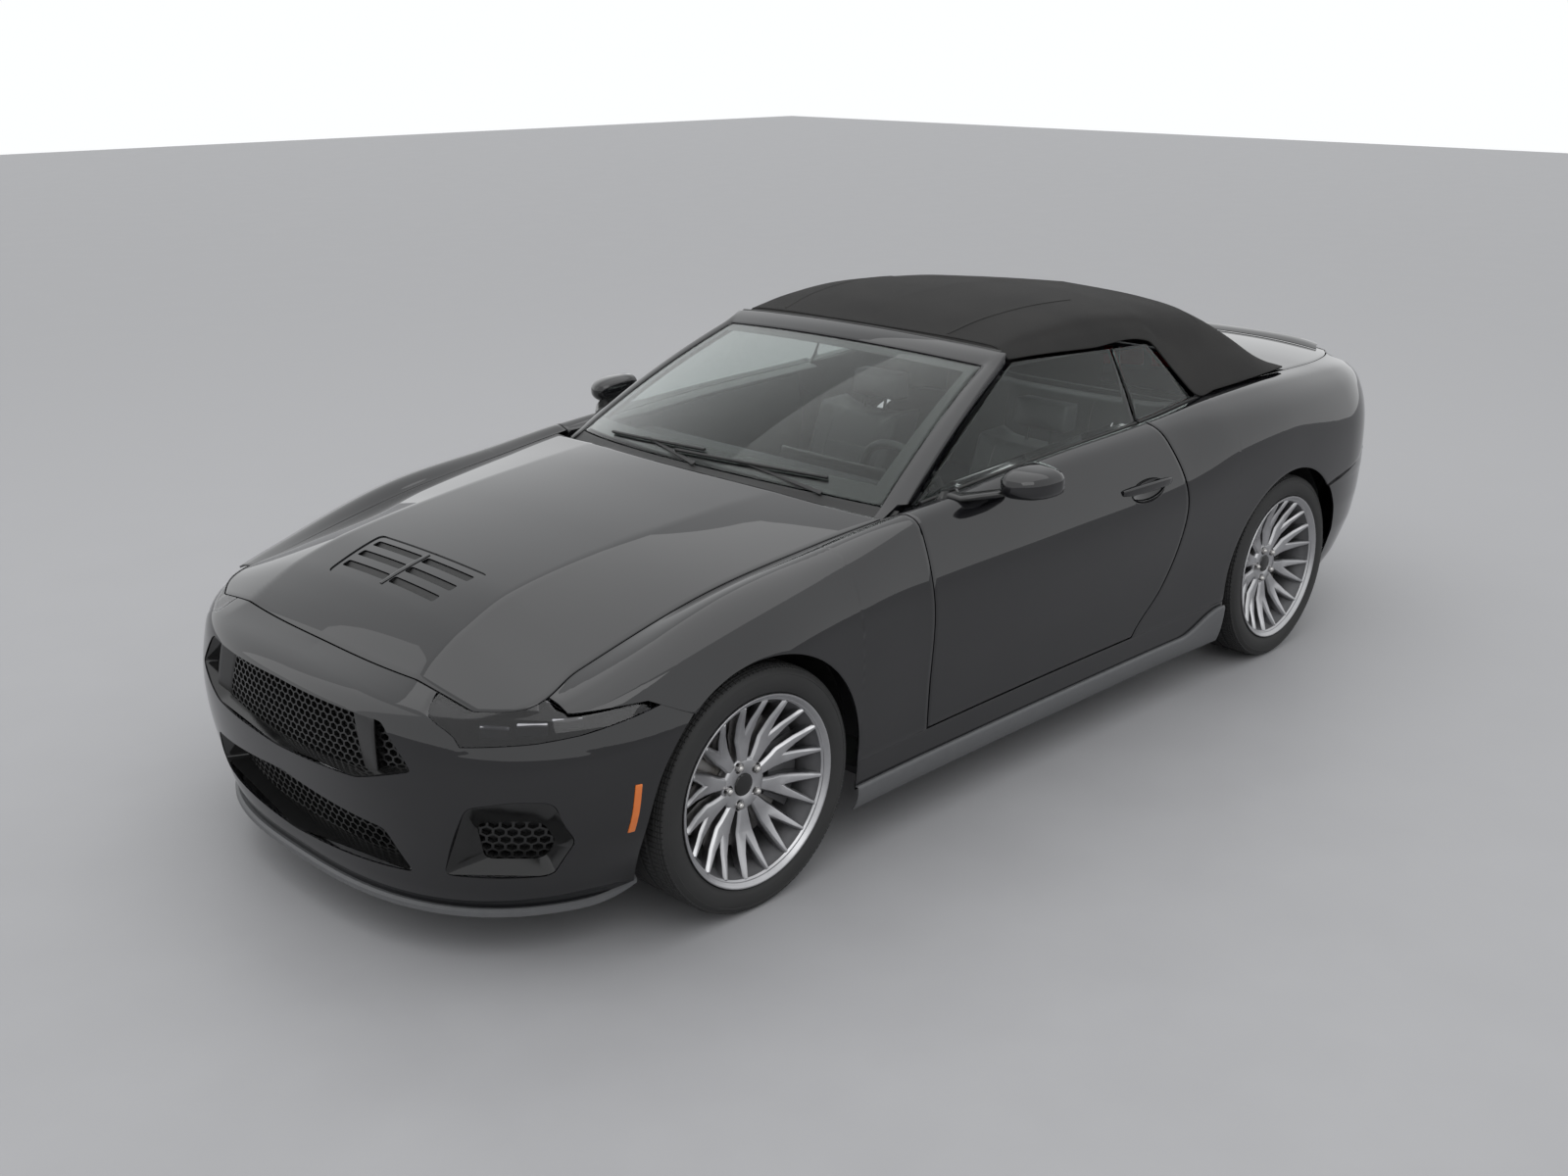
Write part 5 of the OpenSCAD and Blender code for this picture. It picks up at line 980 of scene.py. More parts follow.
ws_frame = slab("ws_frame", len(frame_path) - 1, 8, frame_outer, frame_inner, WS_OUT, roll=0.004)
edit(ws_frame)
bpy.ops.mesh.bisect(plane_co=(0, 0, 0.645 * H), plane_no=(0, 0, 1), clear_inner=True, use_fill=True)
leave()
trim_z = edge(0.148 * L).y + GAP
for s in (1, -1):
    y0, y1 = sorted((s * 0.760 * HALF_W, s * 1.2))
    cut(ws_frame, prism("frame_trim", box(y0, 0.5, y1, trim_z), 0, 1.5))
smooth(ws_frame)
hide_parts("windshield_frame")
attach(ws_frame, "body")
print("frame faces", faces(ws_frame))

# %% Windshield and its black band
PANE = dict(wall=0.005, roll=0.001)


def ws_glass(u, v):
    return ws_at(0.9985 * (2 * u - 1), lerp(0.002, 0.9985, v), 0.001)


windshield = sheet("windshield_glass", 48, 32, ws_glass, WS_OUT, **PANE)
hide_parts("windshield")
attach(windshield, "body")


def frit(name, u0, u1, v0, v1, nu, nv):
    """A strip of the black band, just inside the glass."""
    def place(u, v):
        return ws_at(lerp(u0, u1, u), lerp(v0, v1, v), 0.0068)
    return sheet(name, nu, nv, place, WS_OUT, wall=0.0008, roll=0)


frit_band = join("frit_band", frit("frit_a", -0.99, -0.93, 0.01, 0.99, 3, 32),
                 frit("frit_b", 0.93, 0.99, 0.01, 0.99, 3, 32),
                 frit("frit_c", -0.93, 0.93, 0.01, 0.115, 40, 4),
                 frit("frit_d", -0.93, 0.93, 0.935, 0.99, 40, 3))
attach(frit_band, "body")
print("windshield faces", faces(windshield))


# %% Side windows
def belt(x):
    rim = edge(x)
    return Vector((x, rim.x - 0.014, rim.y + 0.001))


def glass_at(x, v):
    row = row_at(GLASS_TOP, x / L)
    top = Vector((x, row[1] * HALF_W, row[2] * H))
    return belt(x).lerp(top, v) + Vector((0, 0.010 * v * (1 - v), 0))


GLASS_SPLIT = DOOR_REAR + door_shift(edge(DOOR_REAR).y)
Q_LOW, Q_HIGH = -0.1610 * L, -0.1275 * L
G_LOW, G_HIGH = 0.148 * L, 0.0170 * L


def door_glass_place(u, v):
    return glass_at(lerp(GLASS_SPLIT + GAP / 2, lerp(G_LOW, G_HIGH, v), u), v)


def quarter_glass_place(u, v):
    return glass_at(lerp(lerp(Q_LOW, Q_HIGH, v), GLASS_SPLIT - 1.2 * GAP, u), v)


door_windows = pair(sheet("door_window_l", 40, 20, door_glass_place, GLASS_OUT, **PANE))
quarter_windows = pair(sheet("quarter_window_l", 12, 20, quarter_glass_place, GLASS_OUT, **PANE))
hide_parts("door_glass_l")
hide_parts("door_glass_r")
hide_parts("quarter_windows")
ride_doors(*door_windows)
ride("body", *quarter_windows)
print("door window faces", faces(door_windows[0]))

# %% [markdown]
# ## Fabric top
# The top is a sheet of coated cloth stretched over hidden bows, with a glass rear window
# bonded into it. It runs from the header of the windshield to the deck lid and down to
# the side windows in one piece. A cloth simulation would let it sag between the bows, but
# a raised top is drum-tight, so it is laid over them as one stretched sheet.

# %% Surface of the top
top_cache = {}


def top_line(share):
    key = round(share, 6)
    if key not in top_cache:
        r = row_at(TOP, share)
        mid, sh = Vector((0, r[1] * H)), Vector((r[2] * HALF_W, r[3] * H))
        low = Vector((r[4] * HALF_W, r[5] * H + 0.0036))
        knee = Vector((0.6 * sh.x, lerp(mid.y, sh.y, 0.3)))
        top_cache[key] = spline([mid, knee, sh, sh.lerp(low, 0.5) + Vector((0.009, 0.005)), low])
    return top_cache[key]


TOP_FRONT = 0.0240 * L


def top_push(x, y):
    w = max(0, (x - TOP_FRONT) / (0.07 * L) + 1)
    reach = ws_at(0, FRAME_V1).x - 0.0045 - TOP_FRONT
    return w * (reach - (0.0125 * L + 0.009) * (y / (FRAME_U * WS_HIGH_Y * 0.96)) ** 2)


def top_at(share, c, inset=0.0):
    line = top_line(share)
    p = along(line, abs(c))
    q = along(line, min(1, abs(c) + 0.01))
    d = (q - along(line, max(0, abs(c) - 0.01))).normalized()
    p2 = p + Vector((d.y, -d.x)) * inset
    x = share * L
    return Vector((x + top_push(x, p.x), math.copysign(p2.x, c), p2.y))


print("top's crown", [round(k, 3) for k in top_at(-0.062, 0)])

# %% Cloth and rear window
top_xs = steps([-0.3035, -0.2827, -0.2183, -0.1625, -0.148, -0.129, -0.062, 0.0240], 0.0035)
TOP_N, ABOVE = 112, (0, 0, 1)


def top_place(u, v):
    return top_at(at(top_xs, u), 2 * v - 1)


cloth = sheet("top_cloth", len(top_xs) - 1, TOP_N, top_place, ABOVE, wall=0.006, roll=0.002)
RW_X0, RW_X1, RW_W = -0.288 * L, -0.226 * L, 0.86 * HALF_W


def rear_outline(gap):
    return rounded([(RW_X0 + gap, -RW_W / 2 + gap), (RW_X1 - gap, -RW_W * 0.45 + gap),
                    (RW_X1 - gap, RW_W * 0.45 - gap), (RW_X0 + gap, RW_W / 2 - gap)], 0.05, 8)


cut(cloth, prism("rear_hole", rear_outline(0), 0.9, 1.6, "z"))
smooth(cloth)
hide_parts("soft_top")
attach(cloth, "body")


def rear_glass_place(u, v):
    return top_at(lerp(-0.292, -0.222, u), 2 * lerp(0.18, 0.82, v) - 1, 0.003)


rear_glass = sheet("rear_glass", 24, 48, rear_glass_place, (-0.4, 0, 0.9), wall=0.005, roll=0)
cut(rear_glass, prism("rear_keep", rear_outline(0.0006), 0.9, 1.6, "z"), operation="INTERSECT")
smooth(rear_glass)
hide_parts("rear_window")
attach(rear_glass, "body")
print("cloth faces", faces(cloth))

# %% Flat size of the cloth
line = top_line(-0.20)
across = 2 * sum((q - p).length for p, q in zip(line, line[1:]))
crown = [top_at(share, 0) for share in top_xs]

# %% [markdown]
# ## Grilles
# Behind each opening of the bumper a moulded duct leads air to a hexagonal mesh. The
# mesh is one hexagon ring, repeated in two directions, welded, trimmed to the opening
# and laid parallel to the nose. A texture could fake it, but light has to fall through the
# cells. Two plain blades stand in the upper grille and leave a nostril at each end.


# %% Ducts behind the openings
def on_nose(y, z, inset):
    return nose_point(nose_t(y, z), z, inset)


def duct(name, outer, inner, depth):
    """A funnel from an outline on the nose to an outline behind it."""
    def place(u, v):
        k = round(u * len(outer)) % len(outer)
        a, b = on_nose(*outer[k], 0.004), on_nose(*inner[k], depth)
        return a.lerp(b, v)
    obj = bent_grid(name, len(outer), 4, place)
    edit(obj)
    bpy.ops.mesh.remove_doubles(threshold=0.0001)
    bpy.ops.mesh.normals_make_consistent(inside=True)
    leave()
    modify(obj, "SOLIDIFY", thickness=0.003, offset=-1)
    return smooth(obj, 30)


UPPER_IN = [(0, 0.466), (0.44, 0.461), (0.545, 0.392), (0.425, 0.367), (0.37, 0.356), (0, 0.345)]
LOWER_IN = [(0, 0.276), (0.43, 0.254), (0.49, 0.190), (0, 0.172)]
CORNER_IN = [(0.705, 0.292), (0.79, 0.300), (0.845, 0.298), (0.855, 0.255), (0.815, 0.212),
             (0.70, 0.212)]
UPPER_DEEP, LOWER_DEEP, CORNER_DEEP = 0.034, 0.060, 0.050
upper_in = rounded(both(opening(UPPER_IN)), 0.018)
lower_in = rounded(both(opening(LOWER_IN)), 0.022)
corner_in = rounded(opening(CORNER_IN), 0.022)
ducts = [duct("upper_duct", upper_line, upper_in, UPPER_DEEP),
         duct("lower_duct", lower_line, lower_in, LOWER_DEEP)]
ducts += pair(duct("corner_duct_l", corner_line, corner_in, CORNER_DEEP))
print("duct faces", [faces(obj) for obj in ducts])


# %% Hexagonal mesh
def honeycomb(name, low, high, pitch, squash, bar):
    """Hexagon rings over a flat field from low to high, each given as (across, up)."""
    r = pitch / math.sqrt(3)
    nx = math.ceil((high[0] - low[0]) / pitch) + 1
    ny = math.ceil((high[1] - low[1]) / (3 * r * squash)) + 1
    pick()
    bpy.ops.mesh.primitive_circle_add(vertices=6, radius=r, fill_type="NGON")
    ring = done(name)
    edit(ring)
    bpy.ops.mesh.inset(thickness=bar / 2)
    bpy.ops.mesh.delete(type="FACE")
    leave()
    for count, step in ((nx, (pitch, 0, 0)), (ny, (0, 3 * r, 0))):
        modify(ring, "ARRAY", count=count, use_relative_offset=False, use_constant_offset=True,
               constant_offset_displace=step)
    pick(ring)
    bpy.ops.object.duplicate()
    bpy.ops.transform.translate(value=(pitch / 2, 1.5 * r, 0))
    twin = bpy.context.object
    pick(twin, ring)
    bpy.ops.object.join()
    edit(ring)
    bpy.ops.mesh.remove_doubles(threshold=0.0002)
    bpy.ops.transform.resize(value=(1, squash, 1), center_override=(0, 0, 0))
    bpy.ops.transform.translate(value=(low[0], low[1], 0))
    return done(name)


print("duct outline points", len(upper_in), len(lower_in), len(corner_in))


# %% Trimming a mesh and laying it on the nose
def inside(point, outline):
    """Whether a point lies in an outline, by counting crossings."""
    x, y = point
    hit = False
    for (x0, y0), (x1, y1) in zip(outline, outline[1:] + outline[:1]):
        if (y0 > y) != (y1 > y) and x < (x1 - x0) * (y - y0) / (y1 - y0) + x0:
            hit = not hit
    return hit


def lay_mesh(obj, keep, place, depth, bar_depth):
    """Trims a flat mesh to what keep says, lays it where place says and thickens it."""
    edit(obj)
    bpy.ops.mesh.select_mode(type="FACE")
    leave()
    for p in obj.data.polygons:
        p.select = not keep(p.center.x, p.center.y)
    bpy.ops.object.mode_set(mode="EDIT")
    bpy.ops.mesh.delete(type="FACE")
    leave()
    for v in obj.data.vertices:
        v.co = place(v.co.x, v.co.y, depth)
    obj.data.update()
    face_out(obj, AHEAD)
    modify(obj, "SOLIDIFY", thickness=bar_depth, offset=-1)
    return smooth(obj, 30)


def grown(outline, by):
    cx = sum(p[0] for p in outline) / len(outline)
    cy = sum(p[1] for p in outline) / len(outline)
    return [(x + math.copysign(by, x - cx), y + math.copysign(by, y - cy)) for x, y in outline]


print("point inside:", inside((0, 0.6), upper_in))

# %% Meshes in the openings
upper_keep, lower_keep = grown(upper_in, 0.012), grown(lower_in, 0.012)
upper_mesh = honeycomb("upper_mesh", (-0.56, 0.46), (0.56, 0.68), 0.030, 0.66, 0.0062)
lay_mesh(upper_mesh, lambda a, z: inside((a, z), upper_keep), on_nose, UPPER_DEEP, 0.012)
lower_mesh = honeycomb("lower_mesh", (-0.52, 0.20), (0.52, 0.42), 0.034, 0.66, 0.0066)
lay_mesh(lower_mesh, lambda a, z: inside((a, z), lower_keep), on_nose, LOWER_DEEP, 0.012)
ROUND = 1.25


def on_corner(a, z, inset):
    return nose_point(a / ROUND, z, inset)


def corner_keep(a, z):
    p = nose_point(a / ROUND, z)
    return inside((p.y, p.z), grown(corner_in, 0.010))


corner_mesh = honeycomb("corner_mesh_l", (0.70, 0.27), (1.15, 0.44), 0.036, 0.72, 0.0075)
corner_meshes = pair(lay_mesh(corner_mesh, corner_keep, on_corner, CORNER_DEEP, 0.014))
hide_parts("upper_grille")
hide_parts("lower_grille")
print("mesh faces", faces(upper_mesh), faces(corner_mesh))

# %% Blades in the upper grille and a dark backing behind each mesh
BLADE = [(0.318, 0.468), (0.415, 0.466), (0.440, 0.362), (0.380, 0.352)]


def blade_place(u, v):
    a = lerp(lerp(BLADE[0][0], BLADE[1][0], u), lerp(BLADE[3][0], BLADE[2][0], u), v)
    b = lerp(lerp(BLADE[0][1], BLADE[1][1], u), lerp(BLADE[3][1], BLADE[2][1], u), v)
    return on_nose(a * HALF_W, b * H, 0.016 + 0.018 * (1 - u))


blades = pair(sheet("grille_blade_l", 6, 10, blade_place, AHEAD, wall=0.006, roll=0.002))


def backing(name, y, z0, z1, depth):
    def place(u, v):
        return on_nose(lerp(-y, y, u), lerp(z0, z1, v), depth)
    return sheet(name, 40, 6, place, AHEAD, wall=0.003, roll=0)


grille_back = join("grille_back", backing("back_a", 0.54, 0.458, 0.665, 0.075),
                   backing("back_b", 0.51, 0.215, 0.405, 0.085))


def corner_back_place(u, v):
    return nose_point(lerp(0.60, 0.84, u), lerp(0.25, 0.44, v), 0.075)


corner_back = sheet("corner_back_l", 10, 6, corner_back_place, (1, 0.5, 0), wall=0.003, roll=0)
backs = [grille_back] + pair(corner_back)
meshes = [upper_mesh, lower_mesh] + corner_meshes
ride("body", *ducts, *meshes, *blades, *backs)
print("pieces behind the nose", len(ducts + meshes + blades + backs))

# %% [markdown]
# ## Headlamps
# Each lamp is a smoked clear cover over a black housing with three square lighting
# elements. The cover follows the nose, meets the hood above and tapers to a point on the
# fender. Cut from a block it would leave gaps, so it is laid on the nose's own surface, and
# the housing is the same surface sunk behind it.

# %% Lamp surface
FENDER_S = (FENDER_NOSE + GAP - hood_point(0, 1).x) / (hood_point(1, 1).x - hood_point(0, 1).x)
CORNER_T, TUCK_T = 0.575, 0.812


def lamp_low(t):
    return nose_top(t) + 2 * SEAM


def lamp_high(t):
    rise = 0.0068 * min(1, max(0, (t - 0.62) / 0.2))
    return max((straight_at(LAMP_EDGE, t)[1] + rise) * H, lamp_low(t) + 0.0005)


def lamp_lip(t):
    """The cover's upper edge, along the hood's front and side and under the fender."""
    if t < CORNER_T:
        front = nose_point(LAMP_T0, nose_top(LAMP_T0)).y
        s = (t - LAMP_T0) / (CORNER_T - LAMP_T0)
        wide = edge(hood_point(1, 1).x).x - GAP
        c = lerp(max(0, min(1, front / wide)), 1, s)
        return hood_point(1, c) + Vector((GAP, GAP * s, -SEAM))
    if t < TUCK_T:
        s = (t - CORNER_T) / (TUCK_T - CORNER_T)
        dip = 0.030 * max(0, s - 0.95) / 0.05
        return hood_point(lerp(1, FENDER_S, s), 1) + Vector((0, 1.2 * GAP, -SEAM - dip))
    return nose_point(t, lamp_high(t), 0.028)


lamp_ts = steps([LAMP_T0, CORNER_T, TUCK_T, LAMP_T1], 0.012)


def lamp_surface(t, v, sink):
    """The cover from its upper edge (v 0) to its lower edge (v 1), moved inward by sink."""
    if v < 0.35:
        face = nose_point(t, lamp_high(t), 0.002 + sink)
        return (lamp_lip(t) - Vector((0.3 * sink, 0, sink))).lerp(face, v / 0.35)
    z = lerp(lamp_high(t), lamp_low(t), (v - 0.35) / 0.65)
    return nose_point(t, z, 0.002 + sink)


print("lamp columns", len(lamp_ts))


# %% Lamp covers and housings
def lens_place(u, v):
    return lamp_surface(at(lamp_ts, u), v, 0)


def housing_place(u, v):
    return lamp_surface(at(lamp_ts, u), v, 0.020)


def lamp_sheet(name, place):
    return sheet(name, len(lamp_ts) - 1, 20, place, (1, 1, 0.3), wall=0.003, roll=0)


lenses = pair(lamp_sheet("lamp_cover_l", lens_place))
housings = pair(lamp_sheet("lamp_housing_l", housing_place))
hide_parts("headlamps")
print("lamp cover faces", faces(lenses[0]))

# %% Lighting elements
blocks, ELEMENT_SINK = [], 0.017
for k, t in enumerate((0.625, 0.705, 0.785)):
    z = lerp(lamp_low(t), lamp_high(t), 0.46)
    mid = nose_point(t, z, ELEMENT_SINK)
    run = nose_point(t + 0.02, z, ELEMENT_SINK) - nose_point(t - 0.02, z, ELEMENT_SINK)
    tall = 0.62 * (lamp_high(t) - lamp_low(t))
    pick()
    bpy.ops.mesh.primitive_cube_add(size=1)
    bpy.ops.transform.resize(value=(0.076, 0.012, tall))
    bpy.ops.object.transform_apply(location=False, rotation=False, scale=True)
    block = bpy.context.object
    modify(block, "BEVEL", width=0.004, segments=3)
    block.rotation_euler = (0, 0, math.atan2(run.y, run.x))
    block.location = mid
    blocks.append(done("element_%d" % k))
elements = pair(smooth(join("lamp_elements_l", *blocks)))
ride("body", *lenses, *housings, *elements)
print("element faces", faces(elements[0]))

# %% [markdown]
# ## Side markers and splitter
# A marker is a small amber lens let into the bumper before the wheel, and the splitter is
# a thin blade under the nose. Both follow the bumper's formula, so they sit on it without
# a gap, and the splitter's profile is drawn once and carried round the nose.


# %% Side markers
def marker_place(u, v):
    z = lerp(0.376, 0.506, v)
    x = lerp(1.950, 1.934, v) + lerp(0.009, -0.009, u)
    return nose_point(halving(lambda t: nose_point(t, z).x > x), z, -0.003)


markers = pair(sheet("side_marker_l", 4, 14, marker_place, (0.5, 1, 0), wall=0.005, roll=0.0015))
print("marker faces", faces(markers[0]))

# %% Splitter
SPLIT_TOP = NOSE_LOW + 0.004
split_ts = steps([-1, 1], 0.016)
# inward and up, from the blade's root round its edge and back underneath
SPLIT_PROFILE = [(0.030, 0.000), (-0.010, 0.002), (-0.017, -0.004), (-0.018, -0.016),
                 (-0.012, -0.021), (0.088, -0.0205)]
SPLIT_N = len(SPLIT_PROFILE) - 1


def split_place(u, v):
    t = at(split_ts, u)
    inset, rise = at(SPLIT_PROFILE, v)
    inset = min(inset, lerp(0.088, 0.004, min(1, max(0, (abs(t) - 0.70) / 0.22))))
    turn_up = 0.030 * max(0, (abs(t) - 0.86) / 0.14) ** 2
    p = nose_point(t, NOSE_LOW, inset)
    return Vector((p.x, p.y, SPLIT_TOP + rise + turn_up))


splitter = sheet("splitter_lip", len(split_ts) - 1, SPLIT_N, split_place, AHEAD, wall=0.002, roll=0)
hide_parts("front_splitter")
ride("body", *markers, splitter)
print("splitter faces", faces(splitter))

# %% [markdown]
# ## Wheels and tyres
# A cast wheel is a turned barrel, a hub with five nuts in pockets and ten forked spokes
# with chamfered sides. A tyre is a turned ring whose tread is cut into blocks. Everything
# round is spun from a section, which is truer than bending a cylinder; one spoke is
# modelled and copied round the hub, and the finished wheel is copied to the other corners.


# %% Spinning a section round the wheel's axis
def turned(name, section, count=96):
    """A closed section of (radius, out) points spun round the Z axis."""
    pick()
    bpy.ops.mesh.primitive_circle_add(vertices=len(section), fill_type="NOTHING")
    obj = done(name)
    for v, (r, out) in zip(obj.data.vertices, section):
        v.co = (r, 0, out)
    edit(obj)
    bpy.ops.mesh.spin(steps=count, angle=2 * math.pi, center=(0, 0, 0), axis=(0, 0, 1))
    bpy.ops.mesh.select_all(action="SELECT")
    bpy.ops.mesh.remove_doubles(threshold=0.00005)
    return outward(obj)


def copied_round(obj, count, name):
    """Copies of a piece round the Z axis, joined."""
    ring = [obj]
    for k in range(1, count):
        pick(obj)
        bpy.ops.object.duplicate()
        bpy.ops.transform.rotate(value=math.tau * k / count, orient_axis="Z",
                                 center_override=(0, 0, 0))
        ring.append(done("%s_%d" % (name, k)))
    return join(name, *ring[1:], obj)


print("wheels at", FRONT_X, "and", REAR_X)

# %% Tyre
# radius and distance out from the wheel's middle plane
TYRE_SIDE = [
    (0.2552, 0.1180), (0.2722, 0.1212), (0.2752, 0.1260), (0.2790, 0.1268), (0.2815, 0.1285),
    (0.2920, 0.1310), (0.3032, 0.1324), (0.3150, 0.1318), (0.3230, 0.1299), (0.3240, 0.1308),
    (0.3262, 0.1300), (0.3320, 0.1262), (0.3362, 0.1226), (0.3396, 0.1160), (0.3420, 0.1075),
    (0.3433, 0.0986),
]
TREAD = [(0.3436, 0.072), (0.3385, 0.071), (0.3385, 0.063), (0.3436, 0.062), (0.3436, 0.030),
         (0.3385, 0.029), (0.3385, 0.021), (0.3470, 0.020)]
BLOCK_H = 0.0036
half_section = TYRE_SIDE + TREAD
tyre = turned("tyre", half_section + [(r, -out) for r, out in reversed(half_section)], 132)
pick(tyre)
for p in tyre.data.polygons:
    far, r = abs(p.center.z), math.hypot(p.center.x, p.center.y)
    p.select = r > 0.3365 and (0.0725 < far < 0.121 or 0.031 < far < 0.061)
bpy.ops.object.mode_set(mode="EDIT")
bpy.ops.mesh.select_mode(type="FACE")
bpy.ops.mesh.inset(thickness=0.0019, depth=BLOCK_H, use_individual=True)
leave()
smooth(tyre, 32)
print("tyre faces", faces(tyre))

# %% Barrel and hub of the rim
LIP = [(0.2713, 0.1285), (0.2700, 0.1303), (0.2672, 0.1305), (0.2650, 0.1290), (0.2610, 0.1238),
       (0.2560, 0.1195), (0.2500, 0.1122), (0.2545, 0.1122), (0.2545, 0.1195), (0.2713, 0.1225)]
BARREL = [(0.2495, 0.1120), (0.2450, 0.0945), (0.2325, 0.0765), (0.2325, -0.0765), (0.2455, -0.0985),
          (0.2455, -0.1145), (0.2655, -0.1285), (0.2713, -0.1285), (0.2713, -0.1225), (0.2545, -0.1195),
          (0.2545, -0.0945), (0.2415, -0.0765), (0.2415, 0.0765), (0.2545, 0.0945), (0.2545, 0.1120)]
HUB = [(0.0, 0.0645), (0.034, 0.0645), (0.037, 0.0668), (0.068, 0.0668), (0.0735, 0.0640),
       (0.0765, 0.0590), (0.080, 0.0400), (0.0, 0.0400)]
# The barrel stays apart from the rim so that it can take a darker finish: partly the barrel's own tone,
# partly painted shade for the inside of the wheel.
barrel = smooth(turned("barrel", BARREL), 40)
lip = smooth(turned("lip", LIP), 40)
hub = turned("hub", HUB, 80)
PCD_R, POCKET_R = 0.05715, 0.0160
for a, b in circle(0, 0, PCD_R, 5):
    pick()
    bpy.ops.mesh.primitive_cylinder_add(vertices=32, radius=POCKET_R, depth=0.03, location=(a, b, 0.067))
    cut(hub, done("pocket"))
smooth(rolled(hub, 0.0012, 40))
print("hub faces", faces(hub))

# %% [markdown]
# ## Forked spokes
# Each spoke leaves the hub as one bar and forks into two towards the rim, with its front
# standing proud and its flanks chamfered. A curve with a bevel would give a round section,
# so the fork's outline is extruded, inset for the chamfer, sliced across and then bent by
# raising each slice to the front's own curve.

# %% One forked spoke, and ten of them
# radius and half width along the outline, then radius and height of the front
SPOKE = [(0.046, 0.0140), (0.085, 0.0195), (0.112, 0.0240), (0.130, 0.0290), (0.2505, 0.0490),
         (0.2525, 0.0325), (0.160, 0.0)]
SPOKE_FRONT = [[0.046, 0.0640], [0.080, 0.0672], [0.136, 0.0700], [0.190, 0.0890], [0.247, 0.1180]]
CHAMFER = 0.0062
outline = SPOKE + [(r, -t) for r, t in reversed(SPOKE[:-1])]
spoke = prism("spoke", outline, -0.034, -0.0085, axis="z")
pick(spoke)
for p in spoke.data.polygons:
    p.select = p.normal.z > 0.9
bpy.ops.object.mode_set(mode="EDIT")
bpy.ops.mesh.select_mode(type="FACE")
bpy.ops.mesh.inset(thickness=CHAMFER, depth=0.0085)
for x in (0.085, 0.112, 0.136, 0.163, 0.190, 0.218):
    bpy.ops.mesh.select_all(action="SELECT")
    bpy.ops.mesh.bisect(plane_co=(x, 0, 0), plane_no=(1, 0, 0))
leave()
for v in spoke.data.vertices:
    v.co.z += straight_at(SPOKE_FRONT, v.co.x)[1]
pick(spoke)
bpy.ops.object.mode_set(mode="EDIT")
bpy.ops.mesh.select_all(action="SELECT")
bpy.ops.mesh.normals_make_consistent(inside=False)
bpy.ops.transform.rotate(value=math.pi / 10, orient_axis="Z", center_override=(0, 0, 0))
leave()
smooth(rolled(spoke, 0.0011, 24), 24)
rim = join("rim", copied_round(spoke, 10, "spokes"), hub, lip)
print("rim faces", faces(rim))

# %% Nuts and centre cap
pick()
bpy.ops.mesh.primitive_cylinder_add(vertices=6, radius=0.0120, depth=0.022,
                                    location=(PCD_R, 0, 0.062))
nut = done("nut")
modify(nut, "BEVEL", width=0.0010, segments=2)
pick()
bpy.ops.mesh.primitive_uv_sphere_add(segments=24, ring_count=12, radius=0.0100,
                                     location=(PCD_R, 0, 0.0708))
dome = done("dome")
nut = smooth(join("nut", dome, nut), 35)
nuts = copied_round(nut, 5, "nuts")
CAP = [(0.0, 0.0700), (0.012, 0.0698), (0.024, 0.0688), (0.0305, 0.0668), (0.0325, 0.0640),
       (0.0325, 0.0560), (0.0, 0.0560)]
cap = smooth(turned("cap", CAP, 64), 30)
print("nut faces", faces(nuts))


# %% Four wheels in their places
def at_corner(obj, name, x, y):
    """A copy of a wheel piece turned to face left, at a left wheel's centre."""
    pick(obj)
    bpy.ops.object.duplicate()
    twin = bpy.context.object
    twin.data.transform(Matrix(((1, 0, 0, x), (0, 0, 1, y), (0, -1, 0, AXLE_Z), (0, 0, 0, 1))))
    return done(name)


CORNERS = [("fl", "fr", FRONT_X, FRONT_Y, "wheel_front_left", "wheel_front_right"),
           ("rl", "rr", REAR_X, REAR_Y, "wheel_rear_left", "wheel_rear_right")]
tyres, rims, barrels, wheel_nuts, caps = [], [], [], [], []
for left, right, x, y, body_l, body_r in CORNERS:
    for source, kind, group in ((tyre, "tyre", tyres), (rim, "rim", rims),
                                (barrel, "barrel", barrels), (nuts, "nuts", wheel_nuts),
                                (cap, "cap", caps)):
        a = at_corner(source, "%s_visual_%s" % (kind, left), x, y)
        b = other_side(a, "%s_visual_%s" % (kind, right))
        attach(a, body_l)
        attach(b, body_r)
        if kind in ("tyre", "rim"):
            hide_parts("%s_%s" % (kind, left))
            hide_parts("%s_%s" % (kind, right))
        group += [a, b]
for obj in (tyre, rim, barrel, nuts, cap):
    bpy.data.objects.remove(obj)
print("wheel pieces", len(tyres + rims + barrels + wheel_nuts + caps))

# %% [markdown]
# ## Mirrors, handles, skirts and other trim
# These are small mouldings bolted to the finished body. A mirror is a rounded cap on a
# flat arm, a handle is a bar over a cup pressed into the door, and the skirt is a satin
# blade under the painted rocker. A primitive could be pushed into such shapes, but their
# sections change along the way, so most are lofted: rings of points joined into a skin.


# %% Lofting rings into a skin
def oval(centre, side, up, a, b, power=2.6, count=28):
    """A ring of points on a rounded rectangle, a along side and b along up."""
    ring = []
    for k in range(count):
        c, s = math.cos(math.tau * k / count), math.sin(math.tau * k / count)
        ring.append(centre + side * math.copysign(a * abs(c) ** (2 / power), c)
                    + up * math.copysign(b * abs(s) ** (2 / power), s))
    return ring


def loft(name, rings):
    """A closed skin over rings of points; each end is closed to its middle."""
    ends = [[sum(ring, Vector()) / len(ring)] * len(ring) for ring in (rings[0], rings[-1])]
    rings = [ends[0]] + rings + [ends[1]]
    m = len(rings[0])
    obj = bent_grid(name, len(rings) - 1, m, lambda u, v: at(rings, u)[round(v * m) % m])
    edit(obj)
    bpy.ops.mesh.remove_doubles(threshold=0.00002)
    return smooth(outward(obj))


